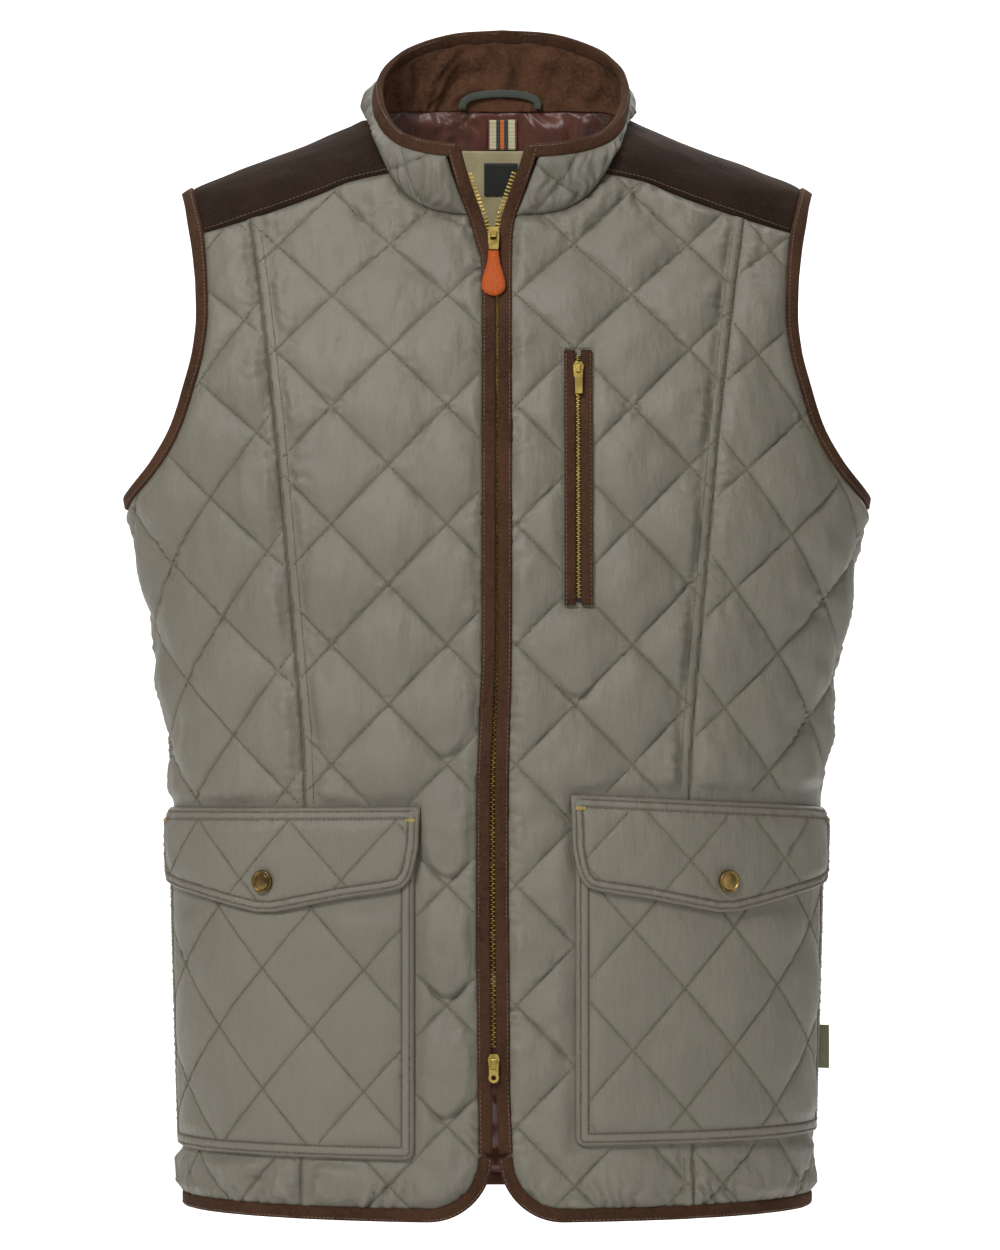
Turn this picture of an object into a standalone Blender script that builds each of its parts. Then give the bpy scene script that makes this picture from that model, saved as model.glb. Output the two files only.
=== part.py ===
# Quilted gilet with suede trim, filled out as if worn, open at the neck, hem and armholes.
# Lengths in the tables are millimetres. The front faces -Y, +X is the wearer's left, and the
# origin is the middle of the shoulders. Suffix R is the wearer's right and L the wearer's left.
import math
from collections import namedtuple

import bpy
import numpy as np
from mathutils import Matrix, Vector
from mathutils.geometry import delaunay_2d_cdt

MM = 0.001
GAP = 0.3  # between neighbouring pieces

# Cloth: distances from the base surface, outwards positive
PANEL_INSIDE = -1.0
PANEL_OUTSIDE = 1.2
PUFF = 4.4  # height of a diamond's middle over its stitching
PUFF_ROUNDNESS = 0.75
SEAM_FADE = 11.0  # width over which the puff dies away at a seam
BAND_WIDTH = 6.5  # topstitched band beside each princess seam
BAND_RISE = 0.9
BOUNDARY_STEP = 13.0
LINING_STEP = 36.0

# Suede binding
BINDING_WIDTH = 9.0
BINDING_OUTSIDE = 2.6
BINDING_INSIDE = -2.4

HEM = -700.0
CORNER_RADIUS = 42.0
CORNER_TOP = HEM + CORNER_RADIUS

# Horizontal sections of the body. front and back are depths from the plane y = 0; ridge is the
# y of the section's widest point; roundness 2 is an ellipse.
Section = namedtuple("Section", "height half_width front back ridge roundness")
SECTIONS = (
    Section(-710, 207.8, 122.0, 112.0, 0, 2.0),
    Section(-600, 211.0, 121.0, 112.0, 0, 2.0),
    Section(-500, 214.0, 120.0, 109.0, 0, 2.0),
    Section(-430, 215.5, 119.5, 106.0, 0, 2.0),
    Section(-380, 218.5, 119.5, 105.0, 0, 2.0),
    Section(-345, 223.5, 119.5, 105.0, 0, 2.0),
    Section(-320, 227.5, 119.5, 106.0, 0, 2.0),
    Section(-293, 232.0, 119.5, 107.0, 0, 2.0),
    Section(-271, 237.0, 119.0, 108.0, 0, 2.0),
    Section(-245, 243.0, 117.5, 108.5, 0, 2.0),
    Section(-228, 247.5, 115.5, 108.5, 0, 2.0),
    Section(-205, 247.0, 112.5, 108.5, 0, 2.0),
    Section(-180, 245.0, 109.0, 108.5, 0, 2.0),
    Section(-150, 243.0, 103.0, 107.5, 0, 2.0),
    Section(-125, 240.5, 95.0, 105.0, 1, 2.0),
    Section(-98, 237.0, 84.0, 101.0, 3, 2.0),
    Section(-66, 230.0, 67.5, 93.5, 7, 2.0),
    Section(-44, 221.0, 58.5, 86.0, 12, 1.95),
    Section(-26, 211.5, 56.0, 79.5, 17, 1.85),
    Section(-9, 177.6, 55.0, 74.0, 21, 1.75),
    Section(7, 134.7, 53.5, 70.5, 24, 1.7),
    Section(24, 95.8, 52.0, 66.5, 27, 1.65),
    Section(29, 86.0, 51.0, 65.5, 27, 1.65),
    Section(42, 75.0, 50.0, 61.0, 24, 1.75),
)

# Neck seam, from the centre front over the shoulder to the centre back
NeckPoint = namedtuple("NeckPoint", "face side height")
NECK = (
    NeckPoint("front", 0, -44.5),
    NeckPoint("front", 16, -44.3),
    NeckPoint("front", 32, -43.0),
    NeckPoint("front", 47, -39.0),
    NeckPoint("front", 60, -30.0),
    NeckPoint("front", 70, -16.5),
    NeckPoint("front", 77, -1.0),
    NeckPoint("front", 81, 11.5),
    NeckPoint("front", 84, 21.0),
    NeckPoint("back", 86.3, 28.6),
    NeckPoint("back", 78, 34.0),
    NeckPoint("back", 60, 36.8),
    NeckPoint("back", 32, 38.3),
    NeckPoint("back", 0, 38.7),
)

# Upper rim of the collar, from the centre front to the centre back
RimPoint = namedtuple("RimPoint", "side depth height")
RIM = (
    RimPoint(0, -66, 1.0),
    RimPoint(20, -66, 1.6),
    RimPoint(37, -64, 3.0),
    RimPoint(53, -57, 6.5),
    RimPoint(66, -46, 13.0),
    RimPoint(75, -30, 25.0),
    RimPoint(80, -12, 39.0),
    RimPoint(81, 6, 53.0),
    RimPoint(76, 22, 66.0),
    RimPoint(62, 37, 79.5),
    RimPoint(34, 47, 90.0),
    RimPoint(0, 50, 93.0),
)
RIM_SWAY = 4.0  # the rim sits this far to the wearer's left at its sides and back
COLLAR_THICKNESS = 2.2
COLLAR_PUFF = 2.6

# Outer edge of the armhole binding
ArmholePoint = namedtuple("ArmholePoint", "height front back")
ARMHOLE_TOP = -25.5
ARMHOLE_BOTTOM = -227.0
ARMHOLE = (
    ArmholePoint(-25.5, 210.5, 210.5),
    ArmholePoint(-40, 206.5, 209.0),
    ArmholePoint(-60, 202.0, 206.5),
    ArmholePoint(-90, 199.0, 204.5),
    ArmholePoint(-112, 198.0, 204.5),
    ArmholePoint(-133, 200.0, 206.5),
    ArmholePoint(-157, 206.0, 212.0),
    ArmholePoint(-182, 214.0, 219.5),
    ArmholePoint(-205, 227.5, 231.5),
    ArmholePoint(-227, 247.4, 247.4),
)

# Lower edge of the shoulder yoke
YokePoint = namedtuple("YokePoint", "side front back")
YOKE = (
    YokePoint(64, -14.4, 36.4),
    YokePoint(99, -21.6, 13.0),
    YokePoint(114, -28.0, 4.0),
    YokePoint(148, -40.0, -17.0),
    YokePoint(175, -48.0, -34.0),
    YokePoint(215, -58.0, -59.0),
)

# Centre front: edge of each binding, measured sideways from x = 0
FrontEdge = namedtuple("FrontEdge", "height right left")
FRONT_EDGE = (
    FrontEdge(HEM, -2.6, 2.8),
    FrontEdge(-640, -3.0, 0.6),
    FrontEdge(-610, -3.4, -0.6),
    FrontEdge(-560, -4.0, -0.7),
    FrontEdge(-490, -4.4, -1.4),
    FrontEdge(-420, -4.2, -1.4),
    FrontEdge(-370, -2.2, -0.2),
    FrontEdge(-320, -0.8, 0.7),
    FrontEdge(-110, -0.8, 0.7),
    FrontEdge(-76, -1.6, 0.8),
    FrontEdge(-61, -5.6, 1.3),
    FrontEdge(-44.5, -10.0, 3.2),
)
RIM_EDGE_RIGHT = -26.0
RIM_EDGE_LEFT = 18.4

# Princess seam, sideways from the centre
SeamPoint = namedtuple("SeamPoint", "height side")
PRINCESS = (
    SeamPoint(HEM, 127.5),
    SeamPoint(-430, 125.0),
    SeamPoint(-395, 126.0),
    SeamPoint(-342, 130.0),
    SeamPoint(-298, 134.0),
    SeamPoint(-264, 137.0),
    SeamPoint(-232, 140.0),
    SeamPoint(-185, 144.5),
    SeamPoint(-131, 151.0),
    SeamPoint(-90, 156.5),
    SeamPoint(-44, 164.0),
    SeamPoint(-20, 168.0),
)

# Quilting: half the width and height of a diamond, and where a stitched crossing lies
HALF_DIAMOND_WIDTH = 37.9
HALF_DIAMOND_HEIGHT = 38.8
Quilting = namedtuple("Quilting", "along first row tilt half_width half_height")
CROSSING_ROW = -249.7
SIDE_TILT = 0.084  # the side panels' quilting follows the slanted princess seam
CELLS = 3  # each side of a diamond is divided into this many
BACK_CELLS = 2

# Patch pockets: distances from the centre front along the cloth, and heights
Pocket = namedtuple("Pocket", "inner outer bottom flap_inner_top flap_outer_top snap first row")
POCKETS = {
    "R": Pocket(53.0, 259.0, -660.0, -432.0, -434.5, 153.0, 86.0, -537.5),
    "L": Pocket(50.5, 257.0, -651.0, -424.0, -434.5, 151.0, 123.0, -550.0),
}
BAG_TOP = -452.0
BAG_CORNER = 6.0
BAG_BORDER = 9.0
BAG_INSIDE = 2.2
BAG_OUTSIDE = 4.2
BAG_PUFF = 3.0
BAG_HALF_WIDTH = 35.3
BAG_HALF_HEIGHT = 39.3
FLAP_HALF_WIDTH = 104.0
FLAP_SIDE = -482.0  # height of the flap's lower corners
FLAP_POINT = -501.0
FLAP_CORNER = 9.0
FLAP_PUFF = 2.4
FLAP_RAMP = 13.0
FLAP_TOP_LIFT = 2.1
FLAP_LIFT = 5.4
FLAP_FACING = 0.9
FLAP_THICKNESS = 2.1

SNAP_RADIUS = 7.4
SNAP_HEIGHT = 3.0
SNAP_CENTRE = -481.0

# Chest pocket on the wearer's left
WELT_INNER = 43.2
WELT_OUTER = 61.4
WELT_TOP = -136.5
WELT_BOTTOM = -302.0
WELT_GAP = 3.4
WELT_INSIDE = 1.7
WELT_OUTSIDE = 3.9

# Zip
CHAIN_WIDTH = 5.0
CHAIN_THICKNESS = 2.2
CHAIN_LIFT = -3.9
CHAIN_TOP = -68.0
CHAIN_BOTTOM = -588.0
TAPE_WIDTH = 11.0
TAPE_THICKNESS = 1.0
TAPE_LIFT = -3.8
TEETH_WIDTH = 2.4
TAPE_BOTTOM = -622.0

Finish = namedtuple("Finish", "red green blue roughness metallic")
FINISHES = {
    "shell": Finish(0.21, 0.20, 0.16, 0.45, 0.0),
    "suede": Finish(0.055, 0.030, 0.019, 0.95, 0.0),
    "brass": Finish(0.55, 0.42, 0.20, 0.35, 1.0),
    "dark_brass": Finish(0.16, 0.12, 0.07, 0.45, 1.0),
    "zip_tape": Finish(0.05, 0.03, 0.02, 0.9, 0.0),
    "leather": Finish(0.50, 0.14, 0.03, 0.5, 0.0),
    "cream": Finish(0.48, 0.42, 0.28, 0.8, 0.0),
    "stripe": Finish(0.35, 0.33, 0.25, 0.7, 0.0),
    "green_tape": Finish(0.20, 0.22, 0.17, 0.7, 0.0),
    "dark_patch": Finish(0.01, 0.01, 0.01, 0.4, 0.0),
    "woven_label": Finish(0.16, 0.18, 0.10, 0.8, 0.0),
}


def remove_old_objects():
    for old in list(bpy.data.objects):
        bpy.data.objects.remove(old, do_unlink=True)


def finish_material(name):
    material = bpy.data.materials.get(name)
    if material is None:
        finish = FINISHES[name]
        material = bpy.data.materials.new(name)
        material.use_nodes = True
        shader = material.node_tree.nodes["Principled BSDF"]
        shader.inputs["Base Color"].default_value = (finish.red, finish.green, finish.blue, 1.0)
        shader.inputs["Roughness"].default_value = finish.roughness
        shader.inputs["Metallic"].default_value = finish.metallic
    return material


def turned_outwards(points, faces):
    """The faces, all reversed if they enclose a negative volume."""
    volume = 0.0
    for face in faces:
        first = points[face[0]]
        for second, third in zip(face[1:], face[2:]):
            volume += first.dot(points[second].cross(points[third]))
    return faces if volume > 0 else [tuple(reversed(face)) for face in faces]


def add_object(name, points, faces, finish):
    """Make one object from points in millimetres."""
    faces = turned_outwards(points, faces)
    mesh = bpy.data.meshes.new(name)
    mesh.from_pydata([Vector(point) * MM for point in points], [], faces)
    mesh.materials.append(finish_material(finish))
    mesh.shade_smooth()
    mesh.set_sharp_from_angle(angle=math.radians(40))
    made = bpy.data.objects.new(name, mesh)
    bpy.context.scene.collection.objects.link(made)
    return made


def fit(rows, key, column):
    """A smooth curve through one column of a table that never overshoots its rows."""
    pairs = sorted((getattr(row, key), getattr(row, column)) for row in rows)
    keys = np.array([pair[0] for pair in pairs], float)
    values = np.array([pair[1] for pair in pairs], float)
    steps = np.diff(keys)
    rises = np.diff(values) / steps
    slopes = np.empty(len(keys))
    slopes[0] = rises[0]
    slopes[-1] = rises[-1]
    for i in range(1, len(keys) - 1):
        if rises[i - 1] * rises[i] <= 0:
            slopes[i] = 0.0
        else:
            before = 2 * steps[i] + steps[i - 1]
            after = steps[i] + 2 * steps[i - 1]
            slopes[i] = (before + after) / (before / rises[i - 1] + after / rises[i])

    def curve(at):
        at = min(max(at, keys[0]), keys[-1])
        i = min(int(np.searchsorted(keys, at, side="right")) - 1, len(steps) - 1)
        t = (at - keys[i]) / steps[i]
        low = values[i] + steps[i] * slopes[i] * t * (1 - t) ** 2
        high = steps[i] * slopes[i + 1] * t * t * (t - 1)
        blend = t * t * (3 - 2 * t)
        return float(low + high + (values[i + 1] - values[i]) * blend)

    return curve


half_width_at = fit(SECTIONS, "height", "half_width")
front_at = fit(SECTIONS, "height", "front")
back_at = fit(SECTIONS, "height", "back")
ridge_at = fit(SECTIONS, "height", "ridge")
roundness_at = fit(SECTIONS, "height", "roundness")
princess_at = fit(PRINCESS, "height", "side")
edge_right_at = fit(FRONT_EDGE, "height", "right")
edge_left_at = fit(FRONT_EDGE, "height", "left")
armhole_front_at = fit(ARMHOLE, "height", "front")
armhole_back_at = fit(ARMHOLE, "height", "back")
yoke_front_at = fit(YOKE, "side", "front")
yoke_back_at = fit(YOKE, "side", "back")

QUARTER = np.linspace(0, math.pi / 2, 73)
LOWEST = -712
HIGHEST = 42


def depth_at(face, height):
    """Half-depth of the section from its ridge line."""
    if face == "front":
        return front_at(height) + ridge_at(height)
    return back_at(height) - ridge_at(height)


def climb_table(face):
    """Distance along the cloth against height, on the centre line."""
    heights = np.arange(LOWEST, HIGHEST + 1, 1.0)
    reach = front_at if face == "front" else back_at
    depths = np.array([reach(height) for height in heights])
    climbs = np.concatenate(([0.0], np.cumsum(np.hypot(np.diff(heights), np.diff(depths)))))
    return heights, climbs


CLIMB = {"front": climb_table("front"), "back": climb_table("back")}


def climb_of(face, height):
    return float(np.interp(height, *CLIMB[face]))


def height_of(face, climb):
    return float(np.interp(climb, CLIMB[face][1], CLIMB[face][0]))


def spread(face, height):
    """One quarter of a section: sideways, forwards and length along the cloth."""
    power = 2 / roundness_at(height)
    sides = half_width_at(height) * np.sin(QUARTER) ** power
    depths = depth_at(face, height) * np.clip(np.cos(QUARTER), 0, 1) ** power
    lengths = np.concatenate(([0.0], np.cumsum(np.hypot(np.diff(sides), np.diff(depths)))))
    return sides, depths, lengths


def surface(face, along, climb):
    """The base surface: along the section from the centre line, and climb along the cloth."""
    height = height_of(face, climb)
    sides, depths, lengths = spread(face, height)
    side = math.copysign(float(np.interp(abs(along), lengths, sides)), along)
    depth = float(np.interp(abs(along), lengths, depths))
    ridge = ridge_at(height)
    return Vector((side, ridge - depth if face == "front" else ridge + depth, height))


def outward(face, along, climb):
    step = 1.0
    across = surface(face, along + step, climb) - surface(face, along - step, climb)
    upward = surface(face, along, climb + step) - surface(face, along, climb - step)
    normal = across.cross(upward).normalized()
    return normal if face == "front" else -normal


def lifted(face, along, climb, lift):
    return surface(face, along, climb) + outward(face, along, climb) * lift


def along_of(face, side, height):
    """Length along the section from the centre line to the point this far sideways."""
    sides, _, lengths = spread(face, height)
    return math.copysign(float(np.interp(abs(side), sides, lengths)), side)


def side_seam(face, height):
    return float(spread(face, height)[2][-1])


def on_section(face, side, height):
    """The surface point this far sideways at this height."""
    ratio = min(abs(side) / half_width_at(height), 1.0)
    roundness = roundness_at(height)
    depth = depth_at(face, height) * (1 - ratio**roundness) ** (1 / roundness)
    ridge = ridge_at(height)
    return Vector((side, ridge - depth if face == "front" else ridge + depth, height))


def flat_of(face, point):
    """Flat coordinates of a point on or near the surface."""
    height = point.z
    half = roundness_at(height) / 2
    side = (abs(point.x) / half_width_at(height)) ** half
    reach = abs(point.y - ridge_at(height)) / depth_at(face, height)
    angle = math.atan2(side, reach**half)
    length = float(np.interp(angle, QUARTER, spread(face, height)[2]))
    return math.copysign(length, point.x), climb_of(face, height)


def section_value(point):
    """Below 1 inside the section, 1 on it and above 1 outside."""
    roundness = roundness_at(point.z)
    ridge = ridge_at(point.z)
    face = "front" if point.y < ridge else "back"
    across = abs(point.x) / half_width_at(point.z)
    deep = abs(point.y - ridge) / depth_at(face, point.z)
    return across**roundness + deep**roundness


def surface_normal(point):
    """Outward normal of the surface near a point."""
    step = 0.5
    rises = []
    for axis in range(3):
        offset = Vector([step if k == axis else 0.0 for k in range(3)])
        rises.append(section_value(point + offset) - section_value(point - offset))
    return Vector(rises).normalized()


def lengths_along(points):
    total = [0.0]
    for start, end in zip(points, points[1:]):
        total.append(total[-1] + (end - start).length)
    return total


def resample(points, count):
    """Evenly spaced points along a polyline."""
    lengths = lengths_along(points)
    columns = [np.array([point[axis] for point in points]) for axis in range(len(points[0]))]
    wanted = np.linspace(0, lengths[-1], count)
    return [Vector([float(np.interp(at, lengths, column)) for column in columns]) for at in wanted]


def smooth_path(points, count):
    """Evenly spaced points along a Catmull-Rom curve through the points."""
    fine = []
    padded = [points[0] * 2 - points[1]] + list(points) + [points[-1] * 2 - points[-2]]
    pieces = 12
    for a, b, c, d in zip(padded, padded[1:], padded[2:], padded[3:]):
        for i in range(pieces):
            t = i / pieces
            fine.append(
                0.5 * (2 * b + (c - a) * t + (2 * a - 5 * b + 4 * c - d) * t**2
                       + (3 * b - a - 3 * c + d) * t**3)
            )
    fine.append(points[-1].copy())
    return resample(fine, count)


def onto_surface(point):
    """The nearest surface point, found by stepping along the gradient."""
    for _ in range(5):
        step = surface_normal(point) * 0.5
        rise = section_value(point + step) - section_value(point - step)
        point = point - step * ((section_value(point) - 1) / rise) * 2
    return point


NECK_COUNT = 61
NECK_POINTS = [on_section(row.face, row.side, row.height) for row in NECK]
NECK_HALF = [onto_surface(point) for point in smooth_path(NECK_POINTS, NECK_COUNT)]
NECK_LENGTH = lengths_along(NECK_HALF)[-1]
RIM_HALF = smooth_path([Vector((row.side, row.depth, row.height)) for row in RIM], NECK_COUNT)
RIM_LENGTH = lengths_along(RIM_HALF)[-1]


def on_half(points, fraction):
    at = min(max(fraction, 0.0), 1.0) * (len(points) - 1)
    i = min(int(at), len(points) - 2)
    return points[i].lerp(points[i + 1], at - i)


def neck_point(around):
    """Point of the neck seam; around is its distance from the centre back, + on the left."""
    point = on_half(NECK_HALF, 1 - abs(around) / NECK_LENGTH).copy()
    point.x = math.copysign(point.x, around)
    return point


def rim_point(around):
    fraction = 1 - abs(around) / NECK_LENGTH
    point = on_half(RIM_HALF, fraction).copy()
    point.x = math.copysign(point.x, around) + RIM_SWAY * min(1.0, 2.5 * fraction)
    return point


STATIONS = 20  # neck stations from the centre back to the centre front
STATION = NECK_LENGTH / STATIONS
YOKE_BACK_STATION = 5
YOKE_FRONT_STATION = 14
CORNER_STEP = 0.06  # keeps the panels' corners clear of the yokes', in stations


def collar_height(around):
    return (rim_point(around) - neck_point(around)).length


def collar_base(around, share):
    """Point of the collar, from the neck seam (share 0) to the rim (share 1)."""
    point = neck_point(around).lerp(rim_point(around), share)
    bulge = 1.5 * math.sin(math.pi * share)
    outwards = Vector((point.x, point.y, 0)).normalized()
    return point + outwards * bulge


def collar_normal(around, share):
    step = 2.0
    across = collar_base(around + step, share) - collar_base(around - step, share)
    upward = collar_base(around, min(share + 0.05, 1)) - collar_base(around, max(share - 0.05, 0))
    normal = across.cross(upward).normalized()
    return -normal


def collar_lifted(around, share, lift):
    return collar_base(around, share) + collar_normal(around, share) * lift


def collar_edge(hand, share):
    """Distance around the collar from the centre back to the front edge of one hand."""
    if hand == "R":
        low, high = edge_right_at(-44.5), RIM_EDGE_RIGHT
        return -(NECK_LENGTH + low * (1 - share) + high * share * NECK_LENGTH / RIM_LENGTH)
    low, high = edge_left_at(-44.5), RIM_EDGE_LEFT
    return NECK_LENGTH - low * (1 - share) - high * share * NECK_LENGTH / RIM_LENGTH


# Sheets: a closed wall over a flat outline, with its own points outside and inside
def outline_arrays(outline):
    starts = np.array([[point[0], point[1]] for point in outline])
    ends = np.roll(starts, -1, axis=0)
    return starts, ends


def edge_distance(arrays, along, climb):
    starts, ends = arrays
    spans = ends - starts
    lengths = np.maximum((spans**2).sum(axis=1), 1e-9)
    offsets = np.array([along, climb]) - starts
    t = np.clip((offsets * spans).sum(axis=1) / lengths, 0, 1)
    gaps = offsets - spans * t[:, None]
    return float(np.sqrt((gaps**2).sum(axis=1).min()))


def is_inside(arrays, along, climb):
    starts, ends = arrays
    crosses = (starts[:, 1] > climb) != (ends[:, 1] > climb)
    rise = np.where(ends[:, 1] == starts[:, 1], 1.0, ends[:, 1] - starts[:, 1])
    at = starts[:, 0] + (climb - starts[:, 1]) / rise * (ends[:, 0] - starts[:, 0])
    return bool((crosses & (at > along)).sum() % 2)


def kept_points(candidates, arrays, margin, apart=0.0):
    """The candidates inside the outline, clear of its edge and of each other."""
    kept = []
    for along, climb in candidates:
        if not is_inside(arrays, along, climb) or edge_distance(arrays, along, climb) < margin:
            continue
        if apart and any(math.hypot(along - a, climb - c) < apart for a, c in kept):
            continue
        kept.append((along, climb))
    return kept


def outline_turn(outline):
    """Positive for an outline that runs anticlockwise."""
    ends = list(outline[1:]) + [outline[0]]
    return sum(a[0] * b[1] - b[0] * a[1] for a, b in zip(outline, ends))


SMALLEST_TRIANGLE = 0.02


def triangulate(outline, inner_points):
    flat = [Vector(point) for point in list(outline) + list(inner_points)]
    count = len(outline)
    edges = [(i, (i + 1) % count) for i in range(count)]
    points, _, faces, origins, _, _ = delaunay_2d_cdt(flat, edges, [], 0, 1e-5, True)
    index = [origin[0] for origin in origins]
    arrays = outline_arrays(outline)
    kept = []
    for face in faces:
        first, second, third = (points[i] for i in face)
        middle = (first + second + third) / 3
        area = abs((second - first).cross(third - first)) / 2
        if area > SMALLEST_TRIANGLE and is_inside(arrays, middle.x, middle.y):
            kept.append([index[i] for i in face])
    return kept


def grid_points(outline, step):
    starts, _ = outline_arrays(outline)
    low, high = starts.min(axis=0), starts.max(axis=0)
    rows = range(int((high[1] - low[1]) / step) + 1)
    columns = range(int((high[0] - low[0]) / step) + 1)
    return [(low[0] + (i + 0.5) * step, low[1] + (j + 0.5) * step) for j in rows for i in columns]


def add_sheet(name, outline, outer_points, place, outer_lift, inner_lift, finish,
              lining_step=LINING_STEP):
    """A closed wall. place(along, climb, lift) gives the point in space."""
    arrays = outline_arrays(outline)
    inner_points = kept_points(grid_points(outline, lining_step), arrays, lining_step * 0.4)
    outer_faces = triangulate(outline, outer_points)
    inner_faces = triangulate(outline, inner_points)
    count = len(outline)
    points = [place(a, c, outer_lift(a, c)) for a, c in list(outline) + list(outer_points)]
    below = len(points)
    points += [place(a, c, inner_lift(a, c)) for a, c in list(outline) + list(inner_points)]
    faces = [tuple(face) for face in outer_faces]
    faces += [tuple(below + i for i in reversed(face)) for face in inner_faces]
    turn = outline_turn(outline)
    for i in range(count):
        j = (i + 1) % count
        wall = (i, below + i, below + j, j) if turn > 0 else (i, j, below + j, below + i)
        faces.append(wall)
    return add_object(name, points, faces, finish)


def steady(value):
    return lambda along, climb: value


def ease(value):
    value = min(max(value, 0.0), 1.0)
    return value * value * (3 - 2 * value)


def densify(points, step):
    """Points no further apart than step along an open polyline of (along, climb)."""
    result = []
    for start, end in zip(points, points[1:]):
        pieces = max(1, math.ceil((Vector(end) - Vector(start)).length / step))
        result += [tuple(Vector(start).lerp(Vector(end), i / pieces)) for i in range(pieces)]
    return result


def closed_outline(points, step=BOUNDARY_STEP):
    return densify(list(points) + [points[0]], step)


# Quilting
def quilt_place(quilting, along, climb):
    beyond = abs(along) - quilting.along(climb)
    column = (beyond - quilting.first) / quilting.half_width
    row = (climb + quilting.tilt * beyond - quilting.row) / quilting.half_height
    return (column + row) / 2, (column - row) / 2


def quilt_height(quilting, along, climb):
    rising, falling = quilt_place(quilting, along, climb)
    wave = math.sin(math.pi * (rising % 1)) * math.sin(math.pi * (falling % 1))
    return max(wave, 0.0) ** PUFF_ROUNDNESS


def quilt_points(quilting, hand, low, high, widest, cells=CELLS):
    """Grid points of the quilting, with its stitch lines among them."""
    points = []
    columns = range(-2, int(widest / quilting.half_width) + 3)
    reach = int((high - low) / quilting.half_height) + 4
    for rising in range(-reach * cells, reach * cells + 1):
        for falling in range(-reach * cells, reach * cells + 1):
            column = (rising + falling) / cells
            row = (rising - falling) / cells
            if column < columns[0] or column > columns[-1]:
                continue
            beyond = quilting.first + column * quilting.half_width
            climb = quilting.row + row * quilting.half_height - quilting.tilt * beyond
            if low < climb < high:
                points.append((hand * (quilting.along(climb) + beyond), climb))
    return points


def sweep(name, path, normals, profile, finish, closed=False):
    """A strip along a path. profile rows are (across, lift), anticlockwise seen along the path."""
    count = len(path)
    rings = []
    for i, point in enumerate(path):
        before = path[i - 1] if closed or i > 0 else path[i]
        after = path[(i + 1) % count] if closed or i < count - 1 else path[i]
        tangent = (after - before).normalized()
        across = tangent.cross(normals[i]).normalized()
        lift = across.cross(tangent).normalized()
        rings.append([point + across * a + lift * n for a, n in profile])
    sides = len(profile)
    points = [point for ring in rings for point in ring]
    faces = []
    for i in range(count if closed else count - 1):
        j = (i + 1) % count
        for k in range(sides):
            m = (k + 1) % sides
            faces.append((i * sides + k, i * sides + m, j * sides + m, j * sides + k))
    if not closed:
        faces.append(tuple(reversed(range(sides))))
        faces.append(tuple((count - 1) * sides + k for k in range(sides)))
    return add_object(name, points, faces, finish)


def strip_profile(width, low, high, edge=0.0):
    """Flat strip, or with edge a strip whose long sides are bevelled."""
    half = width / 2
    if not edge:
        return [(-half, low), (half, low), (half, high), (-half, high)]
    middle = (low + high) / 2
    return [(-half, middle), (-half + edge, low), (half - edge, low),
            (half, middle), (half - edge, high), (-half + edge, high)]


BINDING = strip_profile(BINDING_WIDTH, BINDING_INSIDE, BINDING_OUTSIDE, 1.5)


def front_edge(hand, height):
    return edge_left_at(height) if hand == "L" else -edge_right_at(height)


def sign(hand):
    return 1 if hand == "L" else -1


FRONT_HEIGHTS = (
    [-655, -640] + list(range(-612, -370, 34)) + list(range(-362, -150, 21))
    + [-150, -137, -124, -112, -99, -87, -76, -68, -61, -53, -47.5]
)


def front_inset(hand, height, inset):
    """Point beside the front edge, measured square to it."""
    slope = (front_edge(hand, height + 2) - front_edge(hand, height - 2)) / 4
    return front_edge(hand, height) + inset * math.hypot(1, slope), climb_of("front", height)


def front_outline(hand, inset):
    """Edge of one front from the neck down, round the corner and along the hem to the side."""
    points = [front_inset(hand, height, inset) for height in reversed(FRONT_HEIGHTS)]
    low = climb_of("front", CORNER_TOP)
    middle = front_edge(hand, CORNER_TOP) + CORNER_RADIUS
    radius = CORNER_RADIUS - inset
    for i in range(6):
        turn = math.radians(90 * i / 5)
        points.append((middle - radius * math.cos(turn), low - radius * math.sin(turn)))
    bottom = low - radius
    end = side_seam("front", HEM + inset) - GAP / 2
    count = 14
    for i in range(1, count + 1):
        points.append((middle + (end - middle) * i / count, bottom))
    return [(sign(hand) * along, climb) for along, climb in points]


def armhole_loop(hand, count):
    """Outer edge of the armhole binding, from its top down the front and up the back."""
    halves = []
    steps = 60
    for face, at in (("front", armhole_front_at), ("back", armhole_back_at)):
        half = []
        for i in range(steps + 1):
            share = (1 - math.cos(math.pi * i / steps)) / 2
            height = ARMHOLE_TOP + (ARMHOLE_BOTTOM - ARMHOLE_TOP) * share
            side = min(at(height), half_width_at(height))
            half.append(on_section(face, side, height))
        halves.append(half)
    top = Vector((half_width_at(ARMHOLE_TOP), ridge_at(ARMHOLE_TOP), ARMHOLE_TOP))
    bottom = Vector((half_width_at(ARMHOLE_BOTTOM), ridge_at(ARMHOLE_BOTTOM), ARMHOLE_BOTTOM))
    loop = [top] + halves[0][1:-1] + [bottom] + list(reversed(halves[1]))[1:-1] + [top]
    loop = resample(loop, count + 1)[:-1]
    return [Vector((sign(hand) * point.x, point.y, point.z)) for point in loop]


def inset_loop(loop, hand, inset):
    """The loop moved inwards on the cloth, away from the armhole."""
    moved = []
    for i, point in enumerate(loop):
        tangent = (loop[(i + 1) % len(loop)] - loop[i - 1]).normalized()
        normal = surface_normal(point)
        across = tangent.cross(normal) * sign(hand)
        moved.append(point + across.normalized() * inset)
    return moved


ARMHOLE_COUNT = 52
ARMHOLE_LOOPS = {hand: armhole_loop(hand, ARMHOLE_COUNT) for hand in "RL"}


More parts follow.
